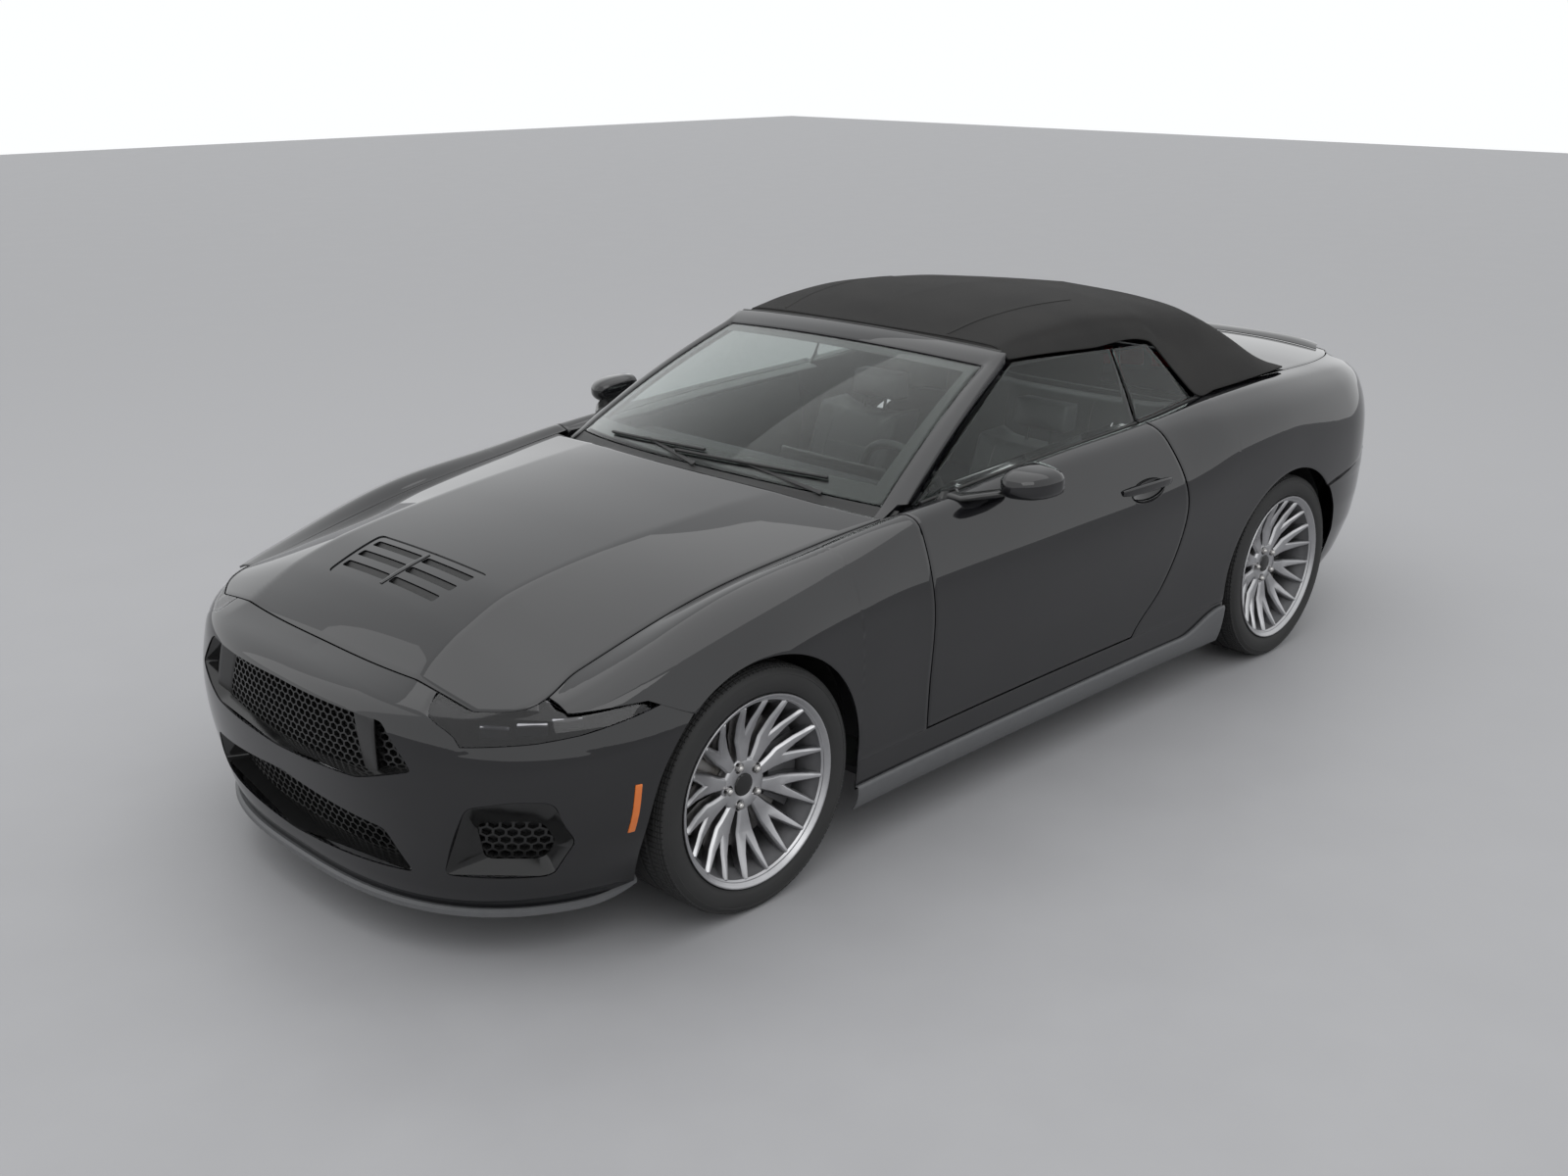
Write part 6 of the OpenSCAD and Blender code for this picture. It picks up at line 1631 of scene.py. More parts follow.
def bar(name, path, side, wide, tall, power=2.6, count=20):
    """A bar along a path; wide and tall are half sizes, or lists of them."""
    rings, n = [], len(path) - 1
    for i, p in enumerate(path):
        run = (path[min(n, i + 1)] - path[max(0, i - 1)]).normalized()
        a = Vector(side) - run * run.dot(Vector(side))
        a.normalize()
        w = wide[i] if isinstance(wide, list) else wide
        t = tall[i] if isinstance(tall, list) else tall
        rings.append(oval(p, a, run.cross(a), w, t, power, count))
    return loft(name, rings)


FORE, LEFT, UP = Vector((1, 0, 0)), Vector((0, 1, 0)), Vector((0, 0, 1))
print("ring points", len(oval(Vector(), LEFT, UP, 1, 1)))

# %% Mirror caps and glasses
MIRROR_X, MIRROR_Y, MIRROR_Z, MIRROR_HALF, TAPER = 0.3765, 0.967, 0.993, 0.072, 0.26
# distance forward, half width, half height
MIRROR = [(0.0150, 0.0600, 0.0440), (0.0035, 0.0650, 0.0490), (0.0000, 0.0685, 0.0530),
          (0.0035, 0.0712, 0.0553), (0.0300, 0.0720, 0.0560), (0.0800, 0.0712, 0.0545),
          (0.1200, 0.0660, 0.0490), (0.1500, 0.0550, 0.0390), (0.1680, 0.0390, 0.0265),
          (0.1760, 0.0200, 0.0130)]


def mirror_ring(x, a, b):
    return oval(Vector((x, MIRROR_Y, MIRROR_Z)), LEFT, UP, a, b, 3.0, 40)


def outer_share(y):
    return (y - MIRROR_Y + MIRROR_HALF) / (2 * MIRROR_HALF)


cap_l = loft("mirror_cap_l", [mirror_ring(MIRROR_X + dx, a, b) for dx, a, b in MIRROR])
for v in cap_l.data.vertices:
    out = outer_share(v.co.y)
    v.co.x -= 0.34 * out**2 * (v.co.x - MIRROR_X)
    v.co.z += (MIRROR_Z - v.co.z) * TAPER * out - 0.004 * out
mirror_caps = pair(cap_l)
face = [(p.y, p.z + (MIRROR_Z - p.z) * TAPER * outer_share(p.y)) for p in mirror_ring(0, 0.0585, 0.0425)]
mirror_faces = pair(smooth(prism("mirror_face_l", face, 0.3860, 0.3905)))
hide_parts("mirror_l")
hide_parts("mirror_r")
print("mirror faces", faces(cap_l))

# %% Mirror arms
foot = Vector((0.616, edge(0.616).x + 0.026, edge(0.616).y + 0.014))
path = [Vector((0.470, 0.925, 0.966)), Vector((0.520, 0.893, 0.962)), Vector((0.565, 0.860, 0.957)),
        Vector((0.600, 0.825, 0.952)), foot]
arm = bar("arm", path, FORE, [0.030, 0.034, 0.034, 0.032, 0.030], [0.010, 0.011, 0.011, 0.010, 0.010])
# height over the foot, half length, half width
SAIL = [(-0.024, 0.056, 0.021), (-0.012, 0.054, 0.020), (0, 0.044, 0.015), (0.012, 0.031, 0.010)]
sail = loft("sail", [oval(foot + UP * dz, FORE, LEFT, a, b) for dz, a, b in SAIL])
mirror_arms = pair(smooth(join("mirror_arm_l", sail, arm)))
for left, right in (mirror_caps, mirror_faces, mirror_arms):
    ride_doors(left, right)
print("arm faces", faces(mirror_arms[0]))

# %% Door handles over cups
HANDLE_X0, HANDLE_X1, HANDLE_Z, CUP_Z = -0.395, -0.129, 0.837, 0.828
path, thick, tall = [], [], []
for k in range(25):
    arch = math.sin(math.pi * k / 24)
    x = lerp(HANDLE_X0, HANDLE_X1, k / 24)
    path.append(Vector((x, side_y(x, HANDLE_Z) + 0.0015 + 0.0100 * arch**0.4, HANDLE_Z)))
    thick.append(0.0042 + 0.0024 * arch**0.4)
    tall.append(0.0085 + 0.0070 * arch**0.5)
handles = pair(bar("handle_bar_l", path, LEFT, thick, tall, 3.2))
mid = lerp(HANDLE_X0, HANDLE_X1, 0.5)
for skin, s in zip(door_skins, (1, -1)):
    pick()
    bpy.ops.mesh.primitive_uv_sphere_add(segments=48, ring_count=24, radius=1,
                                         location=(mid, s * (side_y(mid, CUP_Z) + 0.007), CUP_Z))
    bpy.ops.transform.resize(value=(0.098, 0.026, 0.043))
    smooth(cut(skin, done("cup")))
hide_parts("handle_l")
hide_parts("handle_r")
ride_doors(*handles)
print("handle faces", faces(handles[0]))

# %% Rockers and skirts
SKIRT_X0, SKIRT_X1 = REAR_X + ARCH_R + 0.002, FRONT_X - ARCH_R - 0.002
skirt_xs = steps([SKIRT_X0, SKIRT_X1], 0.016)
SKIRT_LOW, SILL_Z, BLADE_OUT = 0.108 * H, 0.16 * H, 0.0145


def sill_y(x, z):
    return side_y(x, max(z, SILL_Z))


def blade_top(x):
    """The skirt's upper edge, which kicks up in a wedge before the rear wheel."""
    s = min(1, max(0, (SKIRT_X0 + 0.26 - x) / 0.24))
    return 0.228 + 0.062 * s * s * (3 - 2 * s)


def rocker_place(u, v):
    x = at(skirt_xs, u)
    z = lerp(SKIRT_TOP - SEAM, blade_top(x) - 0.012, v)
    return Vector((x, sill_y(x, z) - 0.0005 + 0.002 * v, z))


# up from the blade's upper edge, and out from the body
BLADE_SECTION = [(0.000, -0.003), (0.0015, 0.010), (-0.003, 0.0135), (-0.009, BLADE_OUT)]
BLADE_N = 10


def skirt_place(u, v):
    x, j = at(skirt_xs, u), round(v * BLADE_N)
    top = blade_top(x)
    if j < len(BLADE_SECTION):
        rise, out = BLADE_SECTION[j]
        return Vector((x, sill_y(x, top) + out, top + rise))
    s = (j - len(BLADE_SECTION) + 1) / (BLADE_N - len(BLADE_SECTION) + 1)
    z = lerp(top - 0.009, SKIRT_LOW, s)
    return Vector((x, sill_y(x, z) + lerp(BLADE_OUT, -0.008, s**2.4), z))


skirt_n = len(skirt_xs) - 1
rockers = pair(sheet("rocker_panel_l", skirt_n, 6, rocker_place, LEFT, wall=0.003, roll=0.0008))
skirts = pair(sheet("skirt_blade_l", skirt_n, BLADE_N, skirt_place, LEFT, wall=0.004, roll=0.001))
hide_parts("side_skirts")
ride("body", *rockers, *skirts)
print("skirt faces", faces(skirts[0]))

# %% [markdown]
# ## Cowl, wipers and hood vent
# The cowl is the black tray between hood and glass, and the wipers park on it. The vent is
# a painted plate with louvres over a dark tray. The wipers are bars along paths on the
# glass itself, and the vent's slots are cut through a thin plate, so that its edges and
# the fins below catch the light as pressed metal does.


# %% Cowl and wipers
def cowl_place(u, v):
    c = 0.985 * (2 * u - 1)
    low = min(1, max(0, (abs(c) - 0.42) / 0.20))
    front = hood_point(0, c) - Vector((0.0065, 0, 0.011 + 0.027 * low))
    rear = ws_at(front.y / WS_LOW_Y, -0.004, 0.0025)
    return front.lerp(rear, v) - Vector((0, 0, 0.006 * math.sin(math.pi * v)))


cowl = sheet("cowl", 60, 10, cowl_place, ABOVE, wall=0.003, roll=0.001)
wiper_parts = []
for k, (u0, u1) in enumerate(((-0.62, 0.10), (-0.05, 0.74))):
    path = [ws_at(lerp(u0, u1, s / 16), lerp(0.045, 0.085, s / 16), -0.0052) for s in range(17)]
    wiper_parts.append(bar("blade_%d" % k, path, WS_OUT, 0.0048, 0.0050, 3.0, 12))
    base, tip = ws_at(u1 + 0.02, -0.002, -0.0030), ws_at(lerp(u0, u1, 0.45), 0.070, -0.0058)
    path = [base.lerp(tip, s / 8) for s in range(9)]
    tall = [0.0080 - 0.0005 * s for s in range(9)]
    wiper_parts.append(bar("arm_%d" % k, path, WS_OUT, 0.0032, tall, 3.0, 12))
wipers = smooth(join("wiper_set", *wiper_parts))
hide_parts("wipers")
ride("body", cowl, wipers)
print("cowl faces", faces(cowl))


# %% Hood vent with louvres
SLOT_PITCH, SLOT_L = 0.0529, 0.026


def vent_surface(x, y, sink):
    return Vector((x, y, hood_z(x, y) - sink))


def vent_place(u, v):
    return vent_surface(lerp(VENT_X0, VENT_X1, u), lerp(-VENT_W / 2, VENT_W / 2, v), 0.0035)


def tray_place(u, v):
    x, y = lerp(VENT_X0 + 0.004, VENT_X1 - 0.004, u), lerp(-0.46 * VENT_W, 0.46 * VENT_W, v)
    return vent_surface(x, y, 0.0255)


vent = sheet("vent_plate", 20, 48, vent_place, ABOVE, wall=0.004, roll=0)
cut(vent, prism("vent_keep", vent_outline(0.0006), 0.5, 1.2, "z"), operation="INTERSECT")
fins = []
for k in range(3):
    x0 = VENT_X0 + SLOT_PITCH * (0.45 + k)
    for s in (1, -1):
        y0, y1 = sorted((s * 0.012, s * (0.232 - 0.004 * k)))
        hole = rounded(box(x0, y0, x0 + SLOT_L, y1), 0.008)
        cut(vent, prism("slot", hole, 0.5, 1.2, "z"))

        def fin_place(u, v, x0=x0, y0=y0, y1=y1):
            x = lerp(x0 - 0.002, x0 + SLOT_L, u)
            return vent_surface(x, lerp(y0 - 0.004, y1 + 0.004, v), lerp(0.0076, 0.0215, u))

        fins.append(sheet("fin_%d" % len(fins), 5, 20, fin_place, ABOVE, wall=0.0015, roll=0))
smooth(vent)
tray = sheet("tray", 12, 30, tray_place, ABOVE, wall=0.002, roll=0)
louvres = join("vent_louvres", tray, *fins)
path = [vent_surface(lerp(VENT_X0 + 0.012, VENT_X1 - 0.022, k / 12), 0, 0.0022) for k in range(13)]
wide = [0.0050 + 0.0030 * math.sin(math.pi * k / 12) for k in range(13)]
vent_rib = bar("vent_rib", path, LEFT, wide, 0.0024, 2.4, 16)
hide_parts("hood_vent")
ride("hood", vent, louvres, vent_rib)
print("vent faces", faces(vent), "louvres", len(fins))


# %% [markdown]
# ## Seals, seams and the small pieces at the back
# Rubber seals close the gaps round the glass, felled seams hold the strips of the top
# together, and red lenses fill the holes in the rear cover. Lines like these could be drawn
# in a texture, but a thin bar casts the fine shadow that makes two panels read as two.


# %% Seals
def belt_seal(name, x0, x1):
    xs = steps([x0, x1], 0.03)
    path = [Vector((x, edge(x).x - 0.0065, edge(x).y + 0.0010)) for x in xs]
    return bar(name, path, LEFT, 0.0062, 0.0042, 3.0, 14)


belt_seals = pair(belt_seal("belt_seal_l", GLASS_SPLIT + 0.005, G_LOW - 0.010))
quarter_seals = pair(belt_seal("quarter_seal_l", Q_LOW - 0.02, GLASS_SPLIT - 0.007))
path = [ws_at(u, FRAME_V1, 0.0030) for u in steps([-1.05, 1.05], 0.04)]
header_seal = bar("header_seal", path, WS_OUT, 0.0060, 0.0075, 2.6, 14)
ride_doors(*belt_seals)
ride("body", *quarter_seals, header_seal)
print("seal faces", faces(header_seal))


# %% Front strip and seams of the top
def flap_place(u, v):
    """A strip that closes the step from the cloth's front edge to the header."""
    a = top_at(0.0236, 1.96 * (u - 0.5), 0.0035)
    b = ws_at(a.y / (0.5854 * HALF_W), FRAME_V1 - 0.004, 0.0045)
    return a.lerp(b, v)


flap = sheet("header_flap", 56, 4, flap_place, (0.6, 0, 0.8), wall=0.002, roll=0)
PROUD = -0.0006
paths = [[top_at(share, c, PROUD) for share in top_xs[60:-1]] for c in (-0.60, 0.60)]
paths.append([top_at(-0.2120, c / 30, PROUD) for c in range(-21, 22)])
seams = [bar("seam_%d" % k, path, UP, 0.0012, 0.0050, 2.4, 10) for k, path in enumerate(paths)]
top_seams = smooth(join("top_seams", *seams))
ride("body", flap, top_seams)
print("seam faces", faces(top_seams))


# %% Rear markers and tail lenses
def red_marker_place(u, v):
    x, z = lerp(-1.995, -1.905, u), lerp(0.604, 0.622, v)
    return Vector((x, side_y(x, z) + 0.0018, z))


rear_markers = pair(sheet("rear_marker_l", 10, 4, red_marker_place, LEFT, wall=0.004, roll=0.0012))


def tail_at(y, z, inset):
    share = halving(lambda t: tail_point(t, z).y < abs(y))
    return tail_point(math.copysign(share, y), z, inset)


def shrunk(outline, by):
    (y0, z0), (y1, z1) = outline[0], outline[2]
    return [(y + (by if y < (y0 + y1) / 2 else -by), z + (by if z < (z0 + z1) / 2 else -by))
            for y, z in rounded(outline, 0.012)]


lamp_bars = []
for k, outline in enumerate(bars):
    (y0, z0), (y1, z1) = outline[0], outline[2]

    def bar_place(u, v, y0=y0, y1=y1, z0=z0, z1=z1):
        y, z = lerp(y0, y1, u), lerp(z0, z1, v)
        bow = math.sin(math.pi * u) * math.sin(math.pi * v)
        return tail_at(y, z, 0.0045 - 0.003 * bow**0.5)

    lens = sheet("bar_%d" % k, 12, 16, bar_place, ASTERN, wall=0.006, roll=0)
    die = prism("keep", shrunk(outline, 0.0008), -0.60 * L, -0.42 * L)
    lamp_bars.append(cut(lens, die, operation="INTERSECT"))
tail_lenses = smooth(join("tail_lenses", *lamp_bars))
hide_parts("tail_lamps")
ride("body", *rear_markers, tail_lenses)
print("tail lens faces", faces(tail_lenses))


# %% Blank plate on its holder
def plate_sheet(name, y, z0, z1, inset, wall):
    def place(u, v):
        return tail_at(lerp(-y, y, u), lerp(z0, z1, v), inset)
    return sheet(name, 24, 10, place, ASTERN, wall, 0.001)


plate_holder = plate_sheet("plate_holder", 0.172, 0.402, 0.580, -0.0016, 0.004)
plate = plate_sheet("blank_plate", 0.1525, 0.415, 0.567, -0.0040, 0.002)
ride("body", plate_holder, plate)
print("plate faces", faces(plate))

# %% [markdown]
# ## Seats
# Seats are foam under sewn leather: each pad starts as a block with bolsters, is remeshed
# and swells a little under pressure in a cloth simulation, and gets its sewn seams last.
# Subdividing the block would round it as evenly as a bar of soap, while the pressure rounds
# broad faces more than narrow ones, as stuffing does.


# %% Blocks for the pads
def soft_block(name, low, high, lean=0.0, bolster=0.0, top=True):
    """A closed block with a lean and raised sides, ready to be swollen."""
    pick()
    bpy.ops.mesh.primitive_cube_add(size=1)
    obj = done(name)
    edit(obj)
    bpy.ops.mesh.subdivide(number_cuts=15)
    leave()
    for v in obj.data.vertices:
        a, b, c = v.co.x * 2, v.co.y * 2, v.co.z * 2
        pinch = 1 - 0.05 * (1 - b * b) * a * a if top else 1 - 0.05 * (1 - b * b) * c * c
        side = bolster * max(0, (abs(b) - 0.52) / 0.48) ** 1.3 * (1 if abs(b) < 0.97 else 0.85)
        x = lerp(low[0], high[0], (a * (pinch if top else 1) + 1) / 2)
        y = lerp(low[1], high[1], (b + 1) / 2)
        z = lerp(low[2], high[2], (c * (1 if top else pinch) + 1) / 2)
        if top and c > 0:
            z += side * c
        if not top and a > 0:
            x += side * a
        v.co = (x - lean * (z - low[2]) / (high[2] - low[2]), y, z)
    return obj


PRESSURE, SWELL_FRAMES, FILL = 4.0, 20, 0.7
print("pressure", PRESSURE, "over", SWELL_FRAMES, "frames")


# %% Swelling a pad and sewing it
def plump(obj, voxel=0.012, cap=0.018):
    """Remeshes a block, swells it with the cloth simulation and smooths it."""
    pick(obj)
    obj.data.remesh_voxel_size = voxel
    bpy.ops.object.voxel_remesh()
    scene = bpy.context.scene
    mod = obj.modifiers.new("swell", "CLOTH")
    mod.settings.use_pressure = True
    mod.settings.uniform_pressure_force = PRESSURE
    mod.settings.effector_weights.gravity = 0
    for f in range(1, SWELL_FRAMES + 1):
        scene.frame_set(f)
    swollen = obj.evaluated_get(bpy.context.evaluated_depsgraph_get()).to_mesh()
    moved = [v.co.copy() for v in swollen.vertices]
    obj.modifiers.remove(mod)
    scene.frame_set(1)
    for v, p in zip(obj.data.vertices, moved):
        step = p - v.co
        v.co += step * min(1, cap / max(step.length, 1e-6))
    modify(obj, "SMOOTH", factor=0.5, iterations=2)
    modify(obj, "SUBSURF", levels=1, render_levels=1)
    pick(obj)
    bpy.ops.object.shade_smooth()
    return obj


def seam_on(name, obj, points, toward):
    """A sewn seam laid on a pad where points, moved along toward, meet it."""
    path = []
    for p in points:
        hit, place, _, _ = obj.ray_cast(p, toward)
        if hit:
            path.append(place)
    return bar(name, path, LEFT, 0.0022, 0.0018, 2.0, 8)


print("simulated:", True)

# %% Front seat pads
SEAT_X, SEAT_Y, SEAT_W, SEAT_L = -0.1443, 0.3878, 0.450, 0.5052
CUSH_Z, CUSH_H, BACK_H = 0.3139, 0.1604, 0.5999
SIDE_R, SIDE_L, HEAD_Z = SEAT_Y - 0.212, SEAT_Y + 0.212, CUSH_Z + BACK_H
cushion_l = plump(soft_block("seat_cushion_l", (SEAT_X - 0.025, SIDE_R, CUSH_Z + 0.012),
                             (SEAT_X + SEAT_L + 0.024, SIDE_L, CUSH_Z + CUSH_H - 0.030), bolster=0.022))
back_l = plump(soft_block("seat_back_l", (SEAT_X - 0.068, SIDE_R, CUSH_Z + 0.100),
                          (SEAT_X + 0.048, SIDE_L, HEAD_Z - 0.012), lean=0.222, bolster=0.030,
                          top=False))
rest_l = plump(soft_block("head_rest_l", (SEAT_X - 0.298, SEAT_Y - 0.112, HEAD_Z + 0.008),
                          (SEAT_X - 0.222, SEAT_Y + 0.112, HEAD_Z + 0.104), lean=0.016, top=False),
               cap=0.012)
print("cushion faces", faces(cushion_l))

# %% Front seat seams, base and posts
DOWN, BACK = Vector((0, 0, -1)), Vector((-1, 0, 0))
seams = []
for k, y in enumerate((SEAT_Y - 0.115, SEAT_Y + 0.115)):
    over = [Vector((lerp(-0.11, 0.36, s / 24), y, 0.8)) for s in range(25)]
    before = [Vector((0.4, y, lerp(0.50, 0.86, s / 24))) for s in range(25)]
    seams.append(seam_on("seam_a%d" % k, cushion_l, over, DOWN))
    seams.append(seam_on("seam_b%d" % k, back_l, before, BACK))
seam_ys = [SEAT_Y + lerp(-0.112, 0.112, s / 12) for s in range(13)]
for k, z in enumerate((0.56, 0.66, 0.76)):
    seams.append(seam_on("seam_c%d" % k, back_l, [Vector((0.4, y, z)) for y in seam_ys], BACK))
for k, x in enumerate((0.0, 0.12, 0.24)):
    seams.append(seam_on("seam_d%d" % k, cushion_l, [Vector((x, y, 0.8)) for y in seam_ys], DOWN))
seat_seams = join("seat_seams_l", *seams)
posts = []
for k, y in enumerate((SEAT_Y - 0.05, SEAT_Y + 0.05)):
    ends = [Vector((-0.375, y, 0.86)), Vector((-0.392, y, 0.95))]
    posts.append(bar("post_%d" % k, ends, LEFT, 0.006, 0.006, 2.0, 12))
pick()
bpy.ops.mesh.primitive_cube_add(size=1, location=(SEAT_X + SEAT_L / 2, SEAT_Y, 0.262))
bpy.ops.transform.resize(value=(SEAT_L * 0.98, 0.72 * SEAT_W, 0.146))
base = done("base")
modify(base, "BEVEL", width=0.02, segments=3)
seat_base = smooth(join("seat_base_l", base, *posts))
print("seam faces", faces(seat_seams))

# %% Right seat and rear bench
seat_pads = [cushion_l, back_l, rest_l]
twins = [other_side(obj, obj.name[:-1] + "r") for obj in seat_pads]
seat_pads += twins
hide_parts("front_seats")
seat_seams, seat_bases = pair(seat_seams), pair(seat_base)
BENCH_R, BENCH_L, COARSE = -0.548, 0.548, 0.018
bench = plump(soft_block("rear_cushion", (-1.028, BENCH_R, 0.432), (-0.628, BENCH_L, 0.526),
                         bolster=0.014), COARSE)
bench_back = plump(soft_block("rear_back", (-1.020, BENCH_R, 0.520), (-0.934, BENCH_L, 0.938),
                              lean=0.070, bolster=0.018, top=False), COARSE)
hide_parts("rear_seat")
bench_seams = []
for k, y in enumerate((-0.20, 0.20)):
    before = [Vector((-0.4, y, lerp(0.58, 0.90, s / 16))) for s in range(17)]
    over = [Vector((lerp(-0.90, -0.65, s / 16), y, 0.9)) for s in range(17)]
    bench_seams.append(seam_on("seam_e%d" % k, bench_back, before, BACK))
    bench_seams.append(seam_on("seam_f%d" % k, bench, over, DOWN))
rear_seams = join("rear_seams", *bench_seams)
ride("body", *seat_pads, *seat_seams, *seat_bases, bench, bench_back, rear_seams)
print("bench faces", faces(bench))

# %% [markdown]
# ## Dash, console and steering wheel
# These are foam-backed mouldings with broad rolled edges, seen through the glass. Their
# side views hardly change across the car, so each is a side view extruded and bevelled,
# and the steering wheel is a ring, a pad, three arms and a column made flat and then tilted.

# %% Dash and screen
# along and up of the side view
DASH = [(0.2035 * L, 0.44 * H), (0.2035 * L, 0.575 * H), (0.901, 0.590 * H), (0.901, 0.638 * H),
        (0.165 * L, 0.648 * H), (0.108 * L, 0.655 * H), (0.096 * L, 0.63 * H), (0.094 * L, 0.56 * H),
        (0.112 * L, 0.49 * H), (0.14 * L, 0.44 * H)]
dash = smooth(rolled(prism("dash_moulding", DASH, -0.670, 0.670, "y"), 0.014, 12, 4))
SCREEN_AT = (0.447, 0.235, 0.868)
pick()
bpy.ops.mesh.primitive_cube_add(size=1, location=SCREEN_AT)
bpy.ops.transform.resize(value=(0.014, 0.62, 0.118))
bpy.ops.transform.rotate(value=0.14, orient_axis="Y", center_override=SCREEN_AT)
screen = done("dash_screen")
smooth(modify(screen, "BEVEL", width=0.006, segments=3))
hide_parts("dashboard")
print("dash faces", faces(dash))

# %% Console and shifter
CONSOLE = [(-0.4085, 0.366), (0.533, 0.366), (0.533, 0.532), (0.44, 0.546), (0.05, 0.540),
           (-0.02, 0.546), (-0.38, 0.546), (-0.4085, 0.52)]
console = smooth(rolled(prism("console_moulding", CONSOLE, -0.113, 0.113, "y"), 0.012, 12, 3))


def stacked(name, table, power, count, x=0):
    """A loft up the Z axis over rows of height, half length and half width."""
    return loft(name, [oval(Vector((x, 0, z)), FORE, LEFT, a, b, power, count) for z, a, b in table])


KNOB = [(0.536, 0.034), (0.556, 0.020), (0.60, 0.011), (0.615, 0.014), (0.632, 0.021),
        (0.645, 0.0215), (0.653, 0.012)]
shifter = stacked("shifter", [(z, r, r) for z, r in KNOB], 2.2, 24, 0.045 * L)
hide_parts("center_console")
print("console faces", faces(console))

# %% Steering wheel
pick()
bpy.ops.mesh.primitive_torus_add(major_segments=96, minor_segments=20, major_radius=0.1665,
                                 minor_radius=0.0148)
ring = done("wheel_ring")
HUB_PAD = [(-0.020, 0.030, 0.045), (-0.017, 0.048, 0.064), (-0.008, 0.054, 0.070),
           (0.010, 0.052, 0.066), (0.016, 0.035, 0.050)]
hub_pad = stacked("hub_pad", HUB_PAD, 2.8, 36)
column = stacked("column", [(z, 0.029, 0.029) for z in (0.010, 0.14, 0.176)], 2, 28)
arms = []
for k, turn in enumerate((math.pi / 2, -math.pi / 2, 0)):
    aim = Vector((math.cos(turn), math.sin(turn), 0))
    path = [Vector((0, 0, -0.002)), aim * 0.09 - UP * 0.003, aim * 0.165]
    arms.append(bar("arm_%d" % k, path, UP, 0.006, [0.020, 0.017, 0.014], 3.0, 16))
steer = smooth(join("steering_wheel_visual", ring, hub_pad, *arms, column), 40)
tilted = Matrix.Rotation(math.radians(112), 4, "Y")
tilted.translation = (0.067 * L, 0.385 * HALF_W, 0.602 * H)
steer.data.transform(tilted)
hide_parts("steering_wheel")
ride("body", dash, screen, console, shifter, steer)
print("steering wheel faces", faces(steer))


# %% Door cards
def card_place(u, v):
    s = lerp(0.12, 0.80, u)
    p = door_inner(round(s * DOOR_N) / DOOR_N, lerp(0.02, 0.97, v))
    return p - Vector((0, 0.0022, 0))


cards = pair(sheet("door_card_l", 40, 20, card_place, (0, -1, 0), wall=0.0018, roll=0))
ride_doors(*cards)
print("card faces", faces(cards[0]))

# %% [markdown]
# ## Finishes
# Nothing on a real car is one flat colour. Paint has a faint orange peel under its clear
# coat, cloth has a weave, leather has a grain, rubber is dusty and cast metal is cloudy.
# Photographs wrapped on the panels would repeat and stretch. Three shared node groups give
# a soft cloud, a grain and a weave instead, and each finish sets its own scale, colours and
# gloss with them.


# %% Node groups shared by the finishes
def new_group(name, inputs, output):
    group = bpy.data.node_groups.new(name, "ShaderNodeTree")
    for label, value in inputs:
        socket = group.interface.new_socket(label, in_out="INPUT", socket_type="NodeSocketFloat")
        socket.default_value = value
    group.interface.new_socket(output, in_out="OUTPUT", socket_type="NodeSocketFloat")
    return group, group.nodes.new("NodeGroupInput"), group.nodes.new("NodeGroupOutput")


cloud_group, g_in, g_out = new_group("cloud", [("Scale", 20.0), ("Detail", 4.0)], "Value")
coords = cloud_group.nodes.new("ShaderNodeTexCoord")
noise = cloud_group.nodes.new("ShaderNodeTexNoise")
cloud_group.links.new(coords.outputs["Object"], noise.inputs["Vector"])
cloud_group.links.new(g_in.outputs["Scale"], noise.inputs["Scale"])
cloud_group.links.new(g_in.outputs["Detail"], noise.inputs["Detail"])
cloud_group.links.new(noise.outputs["Fac"], g_out.inputs["Value"])

grain_group, g_in, g_out = new_group("grain", [("Scale", 300.0)], "Height")
coords = grain_group.nodes.new("ShaderNodeTexCoord")
cells = grain_group.nodes.new("ShaderNodeTexVoronoi")
grain_group.links.new(coords.outputs["Object"], cells.inputs["Vector"])
grain_group.links.new(g_in.outputs["Scale"], cells.inputs["Scale"])
grain_group.links.new(cells.outputs["Distance"], g_out.inputs["Height"])

weave_group, g_in, g_out = new_group("weave", [("Scale", 400.0)], "Height")
coords = weave_group.nodes.new("ShaderNodeTexCoord")
waves = []
for direction in ("X", "Y"):
    wave = weave_group.nodes.new("ShaderNodeTexWave")
    wave.wave_type, wave.bands_direction = "BANDS", direction
    wave.inputs["Distortion"].default_value = 0.6
    weave_group.links.new(coords.outputs["Object"], wave.inputs["Vector"])
    weave_group.links.new(g_in.outputs["Scale"], wave.inputs["Scale"])
    waves.append(wave)
product = weave_group.nodes.new("ShaderNodeMath")
product.operation = "MULTIPLY"
weave_group.links.new(waves[0].outputs["Fac"], product.inputs[0])
weave_group.links.new(waves[1].outputs["Fac"], product.inputs[1])
weave_group.links.new(product.outputs["Value"], g_out.inputs["Height"])
print("groups", cloud_group.name, grain_group.name, weave_group.name)


# %% A finish from a few numbers
def rgba(colour):
    """A node's colour from three numbers, or a grey from one."""
    return (*colour, 1) if isinstance(colour, tuple) else (colour, colour, colour, 1)


